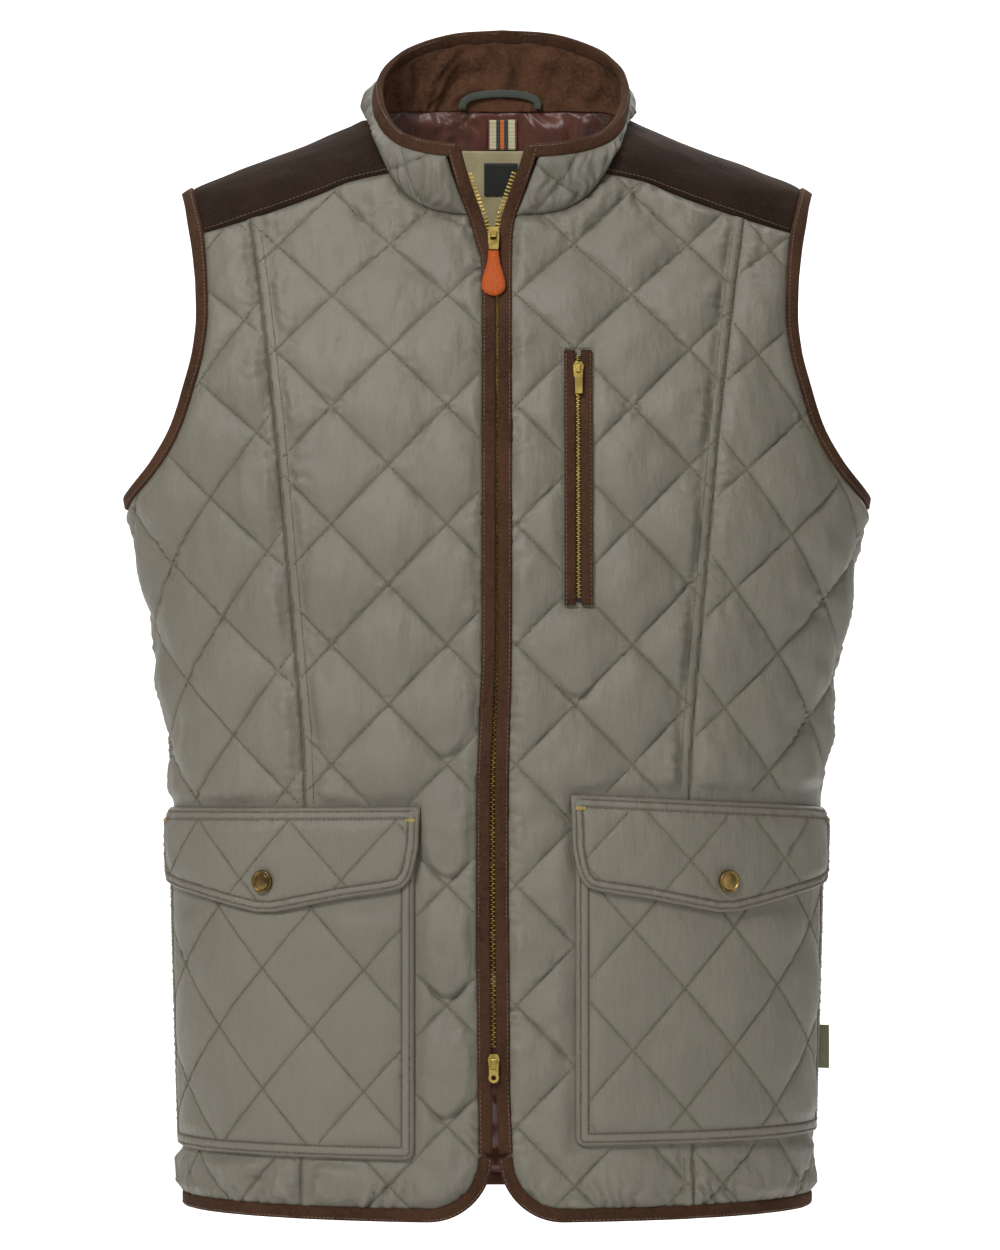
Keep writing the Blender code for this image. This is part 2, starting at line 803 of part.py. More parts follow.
def armhole_binding(hand):
    path = inset_loop(ARMHOLE_LOOPS[hand], hand, BINDING_WIDTH / 2)
    normals = [surface_normal(point) for point in path]
    return sweep("armhole_binding_" + hand, path, normals, BINDING, "suede", closed=True)


PANEL_EDGE = BINDING_WIDTH + GAP


def armhole_edge(hand, face):
    """Panel edge at the armhole in flat coordinates, from the yoke down to the side seam."""
    loop = inset_loop(ARMHOLE_LOOPS[hand], hand, PANEL_EDGE)
    chosen = []
    for point in loop:
        in_front = point.y < ridge_at(point.z)
        if in_front != (face == "front"):
            continue
        if point.z < yoke_edge_height(face, abs(point.x)) - 4:
            chosen.append(point)
    chosen.sort(key=lambda point: -point.z)
    return [flat_of(face, point) for point in chosen if abs(point.y - ridge_at(point.z)) > 3]


def yoke_edge_height(face, side):
    return yoke_front_at(side) if face == "front" else yoke_back_at(side)


def yoke_row(face, first, last, drop, count, hand):
    """Flat points along the yoke's lower edge between two distances from the centre."""
    points = []
    for i in range(count + 1):
        side = first + (last - first) * i / count
        height = yoke_edge_height(face, side) - drop
        points.append((sign(hand) * along_of(face, side, height), climb_of(face, height)))
    return points


def yoke_meets(hand, face, inset):
    """How far out the yoke's lower edge meets the armhole binding."""
    at = armhole_front_at if face == "front" else armhole_back_at
    side = 195.0
    for _ in range(20):
        side = at(yoke_edge_height(face, side)) - inset
    return side


def beside_neck(number, drop):
    """Neck station moved into the cloth by drop, on the wearer's left."""
    around = number * STATION
    return onto_surface(neck_point(around) + away_from_neck(around) * drop)


def neck_flat(face, hand, numbers):
    """Flat points of the neck seam on one face, just inside the cloth."""
    points = []
    for number in numbers:
        moved = beside_neck(number, GAP)
        if number == 0:
            moved.x = 0.0
        moved.x *= sign(hand)
        points.append(flat_of(face, moved))
    return points


def princess_along(climb):
    height = height_of("front", climb)
    return along_of("front", princess_at(height), height)


def centre_quilting(hand):
    first = 12.3 if hand == "L" else 32.3
    row = climb_of("front", CROSSING_ROW)
    return Quilting(lambda climb: 0.0, first, row, 0.0, HALF_DIAMOND_WIDTH, HALF_DIAMOND_HEIGHT)


def side_quilting(hand):
    first = 21.7 if hand == "L" else 13.0
    height = -368.0 if hand == "L" else -344.0
    row = climb_of("front", height) + SIDE_TILT * first
    return Quilting(princess_along, first, row, SIDE_TILT, HALF_DIAMOND_WIDTH, HALF_DIAMOND_HEIGHT)


def back_quilting():
    row = climb_of("back", CROSSING_ROW)
    return Quilting(lambda climb: 0.0, 0.0, row, 0.0, HALF_DIAMOND_WIDTH, HALF_DIAMOND_HEIGHT)


# What lies on a front flattens its puff
def bag_corners(hand):
    pocket = POCKETS[hand]
    top = climb_of("front", BAG_TOP)
    bottom = climb_of("front", pocket.bottom)
    return pocket.inner, pocket.outer, bottom, top


def pressed(hand, along, climb):
    """0 under a pocket, flap or welt, rising to 1 clear of them."""
    along = sign(hand) * along
    pocket = POCKETS[hand]
    boxes = [(pocket.inner, pocket.outer + 3, climb_of("front", pocket.bottom),
              climb_of("front", pocket.flap_inner_top))]
    if hand == "L":
        inner = along_of("front", WELT_INNER, WELT_TOP)
        outer = along_of("front", WELT_OUTER, WELT_TOP)
        boxes.append((inner, outer, climb_of("front", WELT_BOTTOM), climb_of("front", WELT_TOP)))
    clear = 1.0
    for low, high, bottom, top in boxes:
        off = math.hypot(max(low - along, along - high, 0), max(bottom - climb, climb - top, 0))
        clear = min(clear, ease((off - 4) / 12))
    return clear


def beside_pieces(hand, low, high):
    """Points just outside the pocket and the welts, where the panel lies flat."""
    pocket = POCKETS[hand]
    boxes = [(pocket.inner - 2.5, pocket.outer + 2.5, climb_of("front", pocket.bottom) - 2.5,
              climb_of("front", pocket.flap_inner_top) + 2.5)]
    if hand == "L":
        inner = along_of("front", WELT_INNER, WELT_TOP)
        outer = along_of("front", WELT_OUTER, WELT_TOP)
        boxes.append((inner - 2.5, outer + 2.5, climb_of("front", WELT_BOTTOM) - 2.5,
                      climb_of("front", WELT_TOP) + 2.5))
    points = []
    for inner, outer, bottom, top in boxes:
        corners = [(inner, bottom), (outer, bottom), (outer, top), (inner, top)]
        points += [(sign(hand) * a, c) for a, c in closed_outline(corners, 13.0)]
    return [point for point in points if low < point[1] < high]


def front_panel_lift(hand, quilting, arrays, banded):
    def lift(along, climb):
        edge = edge_distance(arrays, along, climb)
        puff = PUFF * quilt_height(quilting, along, climb) * ease(edge / SEAM_FADE)
        rise = 0.0
        if banded:
            beside = princess_along(climb) - abs(along)
            puff *= ease((beside - BAND_WIDTH) / SEAM_FADE)
            if 1.0 < beside < BAND_WIDTH - 1.0:
                rise = BAND_RISE
        return PANEL_OUTSIDE + (puff + rise) * pressed(hand, along, climb)

    return lift


def on_front(along, climb, lift):
    return lifted("front", along, climb, lift)


def on_back(along, climb, lift):
    return lifted("back", along, climb, lift)


PANEL_DROP = GAP
SEAM_COUNT = 46
SIDE_SEAM_COUNT = 28
YOKE_NECK = neck_point(YOKE_FRONT_STATION * STATION).x
YOKE_NECK_BACK = neck_point(YOKE_BACK_STATION * STATION).x


def front_centre(hand):
    edge = front_outline(hand, PANEL_EDGE)
    seam_end = princess_along(climb_of("front", HEM + PANEL_EDGE)) - GAP / 2
    edge = [point for point in edge if abs(point[0]) < seam_end - 4]
    climbs = np.linspace(edge[-1][1], climb_of("front", yoke_front_at(162.0) - PANEL_DROP), SEAM_COUNT)
    seam = [(sign(hand) * (princess_along(climb) - GAP / 2), climb) for climb in climbs]
    last = abs(seam[-1][0])
    last_side = abs(surface("front", last, climbs[-1]).x)
    top = yoke_row("front", last_side - 9, YOKE_NECK + 5, PANEL_DROP, 8, hand)
    numbers = [YOKE_FRONT_STATION + CORNER_STEP] + list(range(YOKE_FRONT_STATION + 1, STATIONS - 1))
    neck = neck_flat("front", hand, numbers)
    outline = edge + seam + top + neck
    corner = front_inset(hand, -46.0, PANEL_EDGE)
    outline[0] = (sign(hand) * corner[0], corner[1])
    arrays = outline_arrays(outline)
    quilting = centre_quilting(hand)
    low, high = arrays[0][:, 1].min(), arrays[0][:, 1].max()
    points = quilt_points(quilting, sign(hand), low, high, 200)
    beside = []
    for i in range(0, len(seam) - 2, 2):
        for inset in (2.4, BAND_WIDTH):
            beside.append((seam[i][0] - sign(hand) * inset, (seam[i][1] + seam[i + 1][1]) / 2))
    band = kept_points(beside, arrays, 1.8)
    kept = kept_points(beside_pieces(hand, low, high) + points, arrays, 5.0, 5.5)
    kept = [p for p in kept if princess_along(p[1]) - abs(p[0]) > BAND_WIDTH + 5]
    lift = front_panel_lift(hand, quilting, arrays, True)
    return add_sheet("front_centre_" + hand, outline, kept + band, on_front, lift,
                     steady(PANEL_INSIDE), "shell")


def side_seam_points(face, hand, low, high, count):
    points = []
    for i in range(count + 1):
        height = low + (high - low) * i / count
        points.append((sign(hand) * (side_seam(face, height) - GAP / 2), climb_of(face, height)))
    return points


def front_side(hand):
    bottom = climb_of("front", HEM + PANEL_EDGE)
    climbs = np.linspace(bottom, climb_of("front", yoke_front_at(162.0) - PANEL_DROP), SEAM_COUNT)
    seam = [(sign(hand) * (princess_along(climb) + GAP / 2), climb) for climb in climbs]
    start_side = abs(surface("front", seam[-1][0], climbs[-1]).x)
    meets = yoke_meets(hand, "front", PANEL_EDGE)
    top = yoke_row("front", start_side + 7, meets - 1, PANEL_DROP, 3, hand)
    armhole = armhole_edge(hand, "front")
    low_end = ARMHOLE_BOTTOM - PANEL_EDGE
    side = side_seam_points("front", hand, low_end, HEM + PANEL_EDGE, SIDE_SEAM_COUNT)
    end = side[-1][0]
    start = seam[0][0]
    count = 10
    hem = [(end + (start - end) * i / count, bottom) for i in range(1, count)]
    outline = seam + top + armhole + side + hem
    arrays = outline_arrays(outline)
    quilting = side_quilting(hand)
    low, high = arrays[0][:, 1].min(), arrays[0][:, 1].max()
    points = beside_pieces(hand, low, high) + quilt_points(quilting, sign(hand), low, high, 160)
    lift = front_panel_lift(hand, quilting, arrays, False)
    return add_sheet("front_side_" + hand, outline, kept_points(points, arrays, 5.0, 5.5), on_front,
                     lift, steady(PANEL_INSIDE), "shell")


def back_panel():
    halves = []
    for hand in "LR":
        meets = yoke_meets(hand, "back", PANEL_EDGE)
        numbers = list(range(0 if hand == "L" else 1, YOKE_BACK_STATION))
        neck = neck_flat("back", hand, numbers + [YOKE_BACK_STATION - CORNER_STEP])
        top = yoke_row("back", YOKE_NECK_BACK + 4, meets - 1, PANEL_DROP, 11, hand)
        armhole = armhole_edge(hand, "back")
        side = side_seam_points("back", hand, ARMHOLE_BOTTOM - PANEL_EDGE, HEM + PANEL_EDGE,
                                SIDE_SEAM_COUNT)
        end = side[-1][0]
        count = 20
        bottom = climb_of("back", HEM + PANEL_EDGE)
        hem = [(end * (1 - i / count), bottom) for i in range(1, count)]
        halves.append(neck + top + armhole + side + hem)
    middle = (0.0, climb_of("back", HEM + PANEL_EDGE))
    outline = halves[0] + [middle] + list(reversed(halves[1]))
    arrays = outline_arrays(outline)
    quilting = back_quilting()
    low, high = arrays[0][:, 1].min(), arrays[0][:, 1].max()
    points = quilt_points(quilting, 1, low, high, 280, BACK_CELLS)
    points = [point for point in points if point[0] > -0.1]
    points += [(-along, climb) for along, climb in points if along > 0.1]

    def lift(along, climb):
        puff = PUFF * quilt_height(quilting, along, climb)
        return PANEL_OUTSIDE + puff * ease(edge_distance(arrays, along, climb) / SEAM_FADE)

    points = kept_points(points, arrays, 5.0)
    return add_sheet("back", outline, points, on_back, lift, steady(PANEL_INSIDE), "shell")


def shoulder_height(side, depth):
    """Height of the shoulder over a point of the plan."""
    low, high = -120.0, float(HIGHEST)
    for _ in range(40):
        height = (low + high) / 2
        face = "front" if depth < ridge_at(height) else "back"
        roundness = roundness_at(height)
        reach = abs(depth - ridge_at(height)) / depth_at(face, height)
        inside = (side / half_width_at(height)) ** roundness + reach**roundness < 1
        if inside:
            low = height
        else:
            high = height
    return (low + high) / 2


YOKE_ROWS = YOKE_FRONT_STATION - YOKE_BACK_STATION
YOKE_COLUMNS = 10
YOKE_TRIM = 1.7


def plan(points):
    return [Vector((point.x, point.y)) for point in points]


def yoke_edges(hand):
    """The yoke's four edges in plan: lower front, lower back, neck and armhole."""
    meets = {face: yoke_meets(hand, face, PANEL_EDGE + YOKE_TRIM) for face in ("front", "back")}
    lower = {}
    for face, first, at in (("front", YOKE_NECK, yoke_front_at), ("back", YOKE_NECK_BACK, yoke_back_at)):
        row = []
        for j in range(YOKE_COLUMNS + 1):
            side = first + (meets[face] - first) * j / YOKE_COLUMNS
            row.append(on_section(face, side, at(side) + GAP))
        lower[face] = row
    neck = [beside_neck(number, GAP) for number in range(YOKE_FRONT_STATION, YOKE_BACK_STATION - 1, -1)]
    lower["front"][0] = neck[0]
    lower["back"][0] = neck[-1]
    loop = inset_loop(ARMHOLE_LOOPS[hand], hand, PANEL_EDGE + YOKE_TRIM)
    loop = [Vector((abs(point.x), point.y, point.z)) for point in loop if point.z > -70]
    low, high = lower["front"][-1].y + 3, lower["back"][-1].y - 3
    loop = sorted((point for point in loop if low < point.y < high), key=lambda point: point.y)
    armhole = [lower["front"][-1]] + loop + [lower["back"][-1]]
    return (plan(lower["front"]), plan(lower["back"]), plan(neck), plan(armhole))


def yoke_plan(edges, i, j):
    """Plan point of row i and column j, blended from the four edges."""
    front, back, neck, armhole = edges
    t = i / YOKE_ROWS
    s = j / YOKE_COLUMNS
    corners = front[0] * (1 - s) * (1 - t) + front[-1] * s * (1 - t)
    corners += back[0] * (1 - s) * t + back[-1] * s * t
    return front[j] * (1 - t) + back[j] * t + neck[i] * (1 - s) + armhole[i] * s - corners


def yoke(hand):
    edges = yoke_edges(hand)
    points = []
    for low in (False, True):
        for i in range(YOKE_ROWS + 1):
            for j in range(YOKE_COLUMNS + 1):
                side, depth = yoke_plan(edges, i, j)
                base = Vector((side, depth, shoulder_height(side, depth)))
                normal = surface_normal(base)
                lift = PANEL_INSIDE if low else PANEL_OUTSIDE
                point = base + normal * lift
                points.append(Vector((sign(hand) * point.x, point.y, point.z)))
    columns = YOKE_COLUMNS + 1
    below = (YOKE_ROWS + 1) * columns
    faces = []
    for i in range(YOKE_ROWS):
        for j in range(YOKE_COLUMNS):
            corner = (i * columns + j, i * columns + j + 1,
                      (i + 1) * columns + j + 1, (i + 1) * columns + j)
            faces.append(corner)
            faces.append(tuple(below + k for k in reversed(corner)))
    rim = [j for j in range(YOKE_COLUMNS)]
    rim += [i * columns + YOKE_COLUMNS for i in range(YOKE_ROWS)]
    rim += [YOKE_ROWS * columns + j for j in range(YOKE_COLUMNS, 0, -1)]
    rim += [i * columns for i in range(YOKE_ROWS, 0, -1)]
    for k, start in enumerate(rim):
        end = rim[(k + 1) % len(rim)]
        faces.append((start, below + start, below + end, end))
    if hand == "R":
        faces = [tuple(reversed(face)) for face in faces]
    return add_object("yoke_" + hand, points, faces, "suede")


def front_binding(hand):
    """Binding of one front edge, from the round corner up to the collar's rim."""
    path = []
    normals = []
    middle = BINDING_WIDTH / 2
    for height in FRONT_HEIGHTS:
        along = sign(hand) * (front_edge(hand, height) + middle)
        climb = climb_of("front", height)
        path.append(surface("front", along, climb))
        normals.append(outward("front", along, climb))
    for share in (0.06, 0.2, 0.35, 0.5, 0.65, 0.8, 0.92, 1.0):
        around = collar_edge(hand, share) - sign(hand) * middle
        path.append(collar_base(around, share))
        normals.append(collar_normal(around, share))
    return sweep("front_binding_" + hand, path, normals, BINDING, "suede")


HEM_BACK_STEPS = 28
HEM_START = 2.2  # the hem's binding begins this far above the round corner


def hem_binding():
    """Binding of the hem with both round front corners."""
    path = []
    normals = []
    middle = BINDING_WIDTH / 2
    corners = {}
    for hand in "RL":
        outline = front_outline(hand, middle)
        start = next(i for i, point in enumerate(outline) if point[1] <= climb_of("front", CORNER_TOP))
        part = [(outline[start][0], climb_of("front", CORNER_TOP + HEM_START))] + outline[start:]
        corners[hand] = [(surface("front", a, c), outward("front", a, c)) for a, c in part[:-1]]
    climb = climb_of("back", HEM + middle)
    end = side_seam("back", HEM + middle)
    behind = []
    for i in range(HEM_BACK_STEPS + 1):
        along = -end + 2 * end * i / HEM_BACK_STEPS
        behind.append((surface("back", along, climb), outward("back", along, climb)))
    for point, normal in corners["R"] + behind + corners["L"][::-1]:
        path.append(point)
        normals.append(normal)
    return sweep("hem_binding", path, normals, BINDING, "suede")


COLLAR_ROWS = 3
COLLAR_CLEARANCE = PANEL_OUTSIDE + 2 * GAP
COLLAR_SLANT = 1.08  # the front edges lean, so a sideways step is longer than the true width


def collar_around(hand, share):
    return collar_edge(hand, share) - sign(hand) * PANEL_EDGE * COLLAR_SLANT


COLLAR_STATIONS = [number * STATION for number in range(-STATIONS + 2, STATIONS - 1)]
COLLAR_COLUMNS = len(COLLAR_STATIONS) + 1
SHIFTED_FROM = 150.0


def collar_column(j, share):
    """Distance around the neck of one column, which leans with the nearer front edge."""
    if j == 0:
        return collar_around("R", share)
    if j == COLLAR_COLUMNS:
        return collar_around("L", share)
    around = COLLAR_STATIONS[j - 1]
    hand = "L" if around > 0 else "R"
    end = collar_around(hand, 0)
    lean = max(0.0, abs(around) - SHIFTED_FROM) / (abs(end) - SHIFTED_FROM)
    return around + (collar_around(hand, share) - end) * lean


def clearance(point):
    """Distance of a point from the base surface."""
    step = surface_normal(point) * 0.5
    rise = section_value(point + step) - section_value(point - step)
    return (section_value(point) - 1) / rise


def away_from_neck(around):
    """Direction along the cloth, square to the neck seam and away from it."""
    point = neck_point(around)
    tangent = neck_point(around + 1) - neck_point(around - 1)
    away = surface_normal(point).cross(tangent).normalized()
    return -away if away.z > 0 else away


def collar_low(around):
    """How far above the neck seam the collar starts, so that its outside clears the panels."""
    height = collar_height(around)
    neck = neck_point(around)
    away = away_from_neck(around)
    low = GAP
    while low < 3:
        corners = [collar_lifted(around, low / height, lift) for lift in (GAP, 0.8, 1.4, COLLAR_THICKNESS)]
        over = [corner for corner in corners if (corner - neck).dot(away) > 0]
        if all(clearance(corner) > COLLAR_CLEARANCE for corner in over):
            break
        low += 0.1
    return low


def below_rim(around, distance):
    """Share of the collar's height at this distance from the rim, measured square to it."""
    along = (rim_point(around + 1) - rim_point(around - 1)).normalized()
    up = (rim_point(around) - neck_point(around)).normalized()
    return 1 - distance / (collar_height(around) * along.cross(up).length)


def add_collar_layer(name, low, high, puff, finish):
    """A wall round the neck between two lifts; the outer one is quilted."""
    step = 17.0
    columns = COLLAR_COLUMNS
    points = []
    for layer in (high, low):
        for i in range(COLLAR_ROWS + 1):
            for j in range(columns + 1):
                part = i / COLLAR_ROWS
                around = collar_column(j, part)
                height = collar_height(around)
                start = collar_low(around) / height
                share = start + (below_rim(around, PANEL_EDGE) - start) * part
                lift = layer
                if puff and layer == high:
                    rising = (around + share * height) / (2 * step)
                    falling = (around - share * height) / (2 * step)
                    wave = abs(math.sin(math.pi * rising) * math.sin(math.pi * falling))
                    inside = min(i, COLLAR_ROWS - i, 1) * min(j, columns - j, 1)
                    lift += puff * wave**PUFF_ROUNDNESS * inside
                points.append(collar_lifted(around, share, lift))
    width = columns + 1
    below = (COLLAR_ROWS + 1) * width
    faces = []
    for i in range(COLLAR_ROWS):
        for j in range(columns):
            corner = (i * width + j, (i + 1) * width + j, (i + 1) * width + j + 1, i * width + j + 1)
            faces.append(corner)
            faces.append(tuple(below + k for k in reversed(corner)))
    rim = [j for j in range(columns)] + [i * width + columns for i in range(COLLAR_ROWS)]
    rim += [COLLAR_ROWS * width + j for j in range(columns, 0, -1)]
    rim += [i * width for i in range(COLLAR_ROWS, 0, -1)]
    for k, start in enumerate(rim):
        end = rim[(k + 1) % len(rim)]
        faces.append((start, end, below + end, below + start))
    return add_object(name, points, faces, finish)


def collar_binding():
    path = []
    normals = []
    count = COLLAR_COLUMNS
    for j in range(count + 1):
        around = collar_column(count - j, 1)
        if j in (0, count):
            around *= 1 - GAP / abs(around)
        share = below_rim(around, BINDING_WIDTH / 2)
        path.append(collar_base(around, share))
        normals.append(collar_normal(around, share))
    return sweep("collar_binding", path, normals, BINDING, "suede")


# Patch pockets
def bag_outline(hand, step=BOUNDARY_STEP):
    inner, outer, bottom, top = bag_corners(hand)
    corner = BAG_CORNER
    points = [(inner, top), (inner, bottom + corner), (inner + corner, bottom),
              (outer - corner, bottom), (outer, bottom + corner), (outer, top)]
    return [(sign(hand) * a, c) for a, c in closed_outline(points, step)]


def pocket_bag(hand):
    pocket = POCKETS[hand]
    outline = bag_outline(hand)
    arrays = outline_arrays(outline)
    row = climb_of("front", pocket.row)
    quilting = Quilting(lambda climb: 0.0, pocket.first, row, 0.0, BAG_HALF_WIDTH, BAG_HALF_HEIGHT)
    low, high = arrays[0][:, 1].min(), arrays[0][:, 1].max()
    points = kept_points(quilt_points(quilting, sign(hand), low, high, 280), arrays, 5.0)
    under = climb_of("front", FLAP_POINT)

    def lift(along, climb):
        edge = edge_distance(arrays, along, climb)
        puff = BAG_PUFF * quilt_height(quilting, along, climb) * ease((edge - BAG_BORDER + 3) / 9)
        return BAG_OUTSIDE + puff * ease((under - 6 - climb) / 12)

    return add_sheet("pocket_bag_" + hand, outline, points, on_front, lift, steady(BAG_INSIDE),
                     "shell", lining_step=16.0)


def flap_outline(hand, extra):
    pocket = POCKETS[hand]
    inner = pocket.snap - FLAP_HALF_WIDTH
    outer = pocket.snap + FLAP_HALF_WIDTH
    side = climb_of("front", FLAP_SIDE) - extra
    point = climb_of("front", FLAP_POINT) - extra
    low = side - 0.35 * (side - point)
    points = [
        (inner, climb_of("front", pocket.flap_inner_top)),
        (inner + 1, side + 24),
        (inner + 4, side + FLAP_CORNER),
        (inner + 8, side + 1),
        (inner + 16, side - 4),
        (inner + 50, low - 3),
        (pocket.snap - 12, point + 1),
        (pocket.snap, point),
        (pocket.snap + 12, point + 1),
        (outer - 50, low - 3),
        (outer - 16, side - 4),
        (outer - 6, side - 1),
        (outer - 1, side + FLAP_CORNER),
        (outer, side + 24),
        (outer - 2, climb_of("front", pocket.flap_outer_top)),
    ]
    return [(sign(hand) * a, c) for a, c in closed_outline(points, 11.0)]


def flap_base(hand, along, climb):
    """How far the flap's inside stands off the base surface."""
    pocket = POCKETS[hand]
    share = (abs(along) - pocket.inner) / (pocket.outer - pocket.inner)
    top = climb_of("front", pocket.flap_inner_top) * (1 - share)
    top += climb_of("front", pocket.flap_outer_top) * share
    return FLAP_TOP_LIFT + (FLAP_LIFT - FLAP_TOP_LIFT) * ease((top - climb) / FLAP_RAMP)


def pocket_flap(hand):
    pocket = POCKETS[hand]
    row = climb_of("front", -441.0 if hand == "R" else -467.0)
    first = pocket.snap - 18 if hand == "R" else pocket.snap - 26
    quilting = Quilting(lambda climb: 0.0, first, row, 0.0, BAG_HALF_WIDTH, HALF_DIAMOND_HEIGHT)
    snap = climb_of("front", SNAP_CENTRE)

    facing = flap_outline(hand, 0.0)
    arrays = outline_arrays(facing)
    low, high = arrays[0][:, 1].min(), arrays[0][:, 1].max()
    points = kept_points(quilt_points(quilting, sign(hand), low, high, 280), arrays, 4.5)
    middle = FLAP_FACING + GAP

    def outer(along, climb):
        edge = edge_distance(arrays, along, climb)
        near = math.hypot(abs(along) - pocket.snap, climb - snap)
        puff = FLAP_PUFF * quilt_height(quilting, along, climb) * ease((edge - 5) / 9)
        puff *= ease((near - SNAP_RADIUS - 1) / 8)
        return flap_base(hand, along, climb) + middle + FLAP_THICKNESS + puff

    def inner(along, climb):
        return flap_base(hand, along, climb) + middle

    def facing_outer(along, climb):
        return flap_base(hand, along, climb) + FLAP_FACING

    def facing_inner(along, climb):
        return flap_base(hand, along, climb)

    add_sheet("pocket_flap_" + hand, facing, points, on_front, outer, inner, "shell",
              lining_step=15.0)
    return add_sheet("flap_facing_" + hand, facing, kept_points(grid_points(facing, 15.0), arrays, 6.0),
                     on_front, facing_outer, facing_inner, "suede", lining_step=15.0)


def frame_at(face, along, climb, lift):
    """Axes at a point of the cloth: sideways, upwards along the cloth, and outwards."""
    point = lifted(face, along, climb, lift)
    normal = outward(face, along, climb)
    sideways = Vector((1, 0, 0)) if face == "front" else Vector((-1, 0, 0))
    sideways = (sideways - normal * sideways.dot(normal)).normalized()
    upward = normal.cross(sideways).normalized()
    matrix = Matrix((sideways, upward, normal)).transposed().to_4x4()
    matrix.translation = point
    return matrix


def pocket_snap(hand):
    """Round cap with a raised rim, on the flap."""
    pocket = POCKETS[hand]
    climb = climb_of("front", SNAP_CENTRE)
    along = sign(hand) * pocket.snap
    lift = FLAP_LIFT + FLAP_FACING + GAP + FLAP_THICKNESS + GAP + 0.3
    frame = frame_at("front", along, climb, lift)
    profile = ((0.0, SNAP_HEIGHT), (0.55, SNAP_HEIGHT * 0.93), (0.78, SNAP_HEIGHT * 0.75),
               (0.86, SNAP_HEIGHT * 0.9), (0.97, SNAP_HEIGHT * 0.7), (1.0, 0.4), (0.95, 0.0))
    sides = 18
    points = [frame @ Vector((0, 0, SNAP_HEIGHT)), frame @ Vector((0, 0, 0))]
    for share, rise in profile[1:]:
        for k in range(sides):
            turn = 2 * math.pi * k / sides
            radius = SNAP_RADIUS * share
            points.append(frame @ Vector((radius * math.cos(turn), radius * math.sin(turn), rise)))
    faces = []
    rings = len(profile) - 1
    for k in range(sides):
        m = (k + 1) % sides
        faces.append((0, 2 + k, 2 + m))
        for r in range(rings - 1):
            faces.append((2 + r * sides + k, 2 + (r + 1) * sides + k,
                          2 + (r + 1) * sides + m, 2 + r * sides + m))
        faces.append((1, 2 + (rings - 1) * sides + m, 2 + (rings - 1) * sides + k))
    return add_object("pocket_snap_" + hand, points, faces, "dark_brass")


def front_strip(name, side_at, low, high, lift_low, lift_high, width, finish, count=8, edge=0.0,
                heights=None):
    """A strip that runs up the front; side_at(height) is its middle."""
    path = []
    normals = []
    if not heights:
        heights = [low + (high - low) * i / count for i in range(count + 1)]
    for height in heights:
        along = along_of("front", side_at(height), height)
        climb = climb_of("front", height)
        path.append(surface("front", along, climb))
        normals.append(outward("front", along, climb))
    return sweep(name, path, normals, strip_profile(width, lift_low, lift_high, edge), finish)


def chest_pocket():
    middle = (WELT_INNER + WELT_OUTER) / 2
    width = (WELT_OUTER - WELT_INNER - WELT_GAP) / 2
    for name, side in (("chest_welt_inner", WELT_INNER + width / 2),
                       ("chest_welt_outer", WELT_OUTER - width / 2)):
        front_strip(name, lambda height, side=side: side, WELT_BOTTOM, WELT_TOP, WELT_INSIDE,
                    WELT_OUTSIDE, width, "suede", count=12, edge=0.5)
    front_strip("chest_zip_chain", lambda height: middle, WELT_BOTTOM + 4, WELT_TOP - 3, WELT_INSIDE,
                WELT_INSIDE + 1.3, WELT_GAP - 2 * GAP, "brass", count=12)


def centre_side(height):
    return (edge_right_at(height) + edge_left_at(height)) / 2


def zip_pieces():
    half = CHAIN_THICKNESS / 2
    heights = [CHAIN_BOTTOM] + [h for h in FRONT_HEIGHTS if CHAIN_BOTTOM + 5 < h <= CHAIN_TOP]
    front_strip("zip_chain", centre_side, CHAIN_BOTTOM, CHAIN_TOP, CHAIN_LIFT - half, CHAIN_LIFT + half,
                CHAIN_WIDTH, "brass", heights=heights)
    for hand in "RL":
        path = []
        normals = []
        teeth = []
        teeth_normals = []
        offset = CHAIN_WIDTH / 2 + GAP + TAPE_WIDTH / 2
        heights = [TAPE_BOTTOM] + [h for h in FRONT_HEIGHTS if h > TAPE_BOTTOM + 5]
        for height in heights:
            edge = sign(hand) * front_edge(hand, height)
            if height < -72:
                along = centre_side(height) + sign(hand) * offset
            else:
                reach = offset - (edge - centre_side(height)) * sign(hand)
                blend = ease((height + 74) / 10)
                inner = reach * (1 - blend) + 6.7 * blend
                along = edge + sign(hand) * inner
            climb = climb_of("front", height)
            path.append(surface("front", along, climb))
            normals.append(outward("front", along, climb))
            if height > -66:
                at = edge - sign(hand) * 1.3
                teeth.append(surface("front", at, climb))
                teeth_normals.append(outward("front", at, climb))
        for share in (0.06, 0.2, 0.35, 0.5, 0.65, 0.8, 0.9):
            around = collar_edge(hand, share) - sign(hand) * 6.7
            path.append(collar_base(around, share))
            normals.append(collar_normal(around, share))
            if share <= 0.65:
                around = collar_edge(hand, share) + sign(hand) * 1.3
                teeth.append(collar_base(around, share))
                teeth_normals.append(collar_normal(around, share))
        low = TAPE_LIFT - TAPE_THICKNESS / 2
        sweep("zip_tape_" + hand, path, normals,
              strip_profile(TAPE_WIDTH, low, low + TAPE_THICKNESS), "zip_tape")
        sweep("zip_teeth_" + hand, teeth, teeth_normals,
              strip_profile(TEETH_WIDTH, CHAIN_LIFT - half + 0.6, CHAIN_LIFT + half - 0.2), "brass")


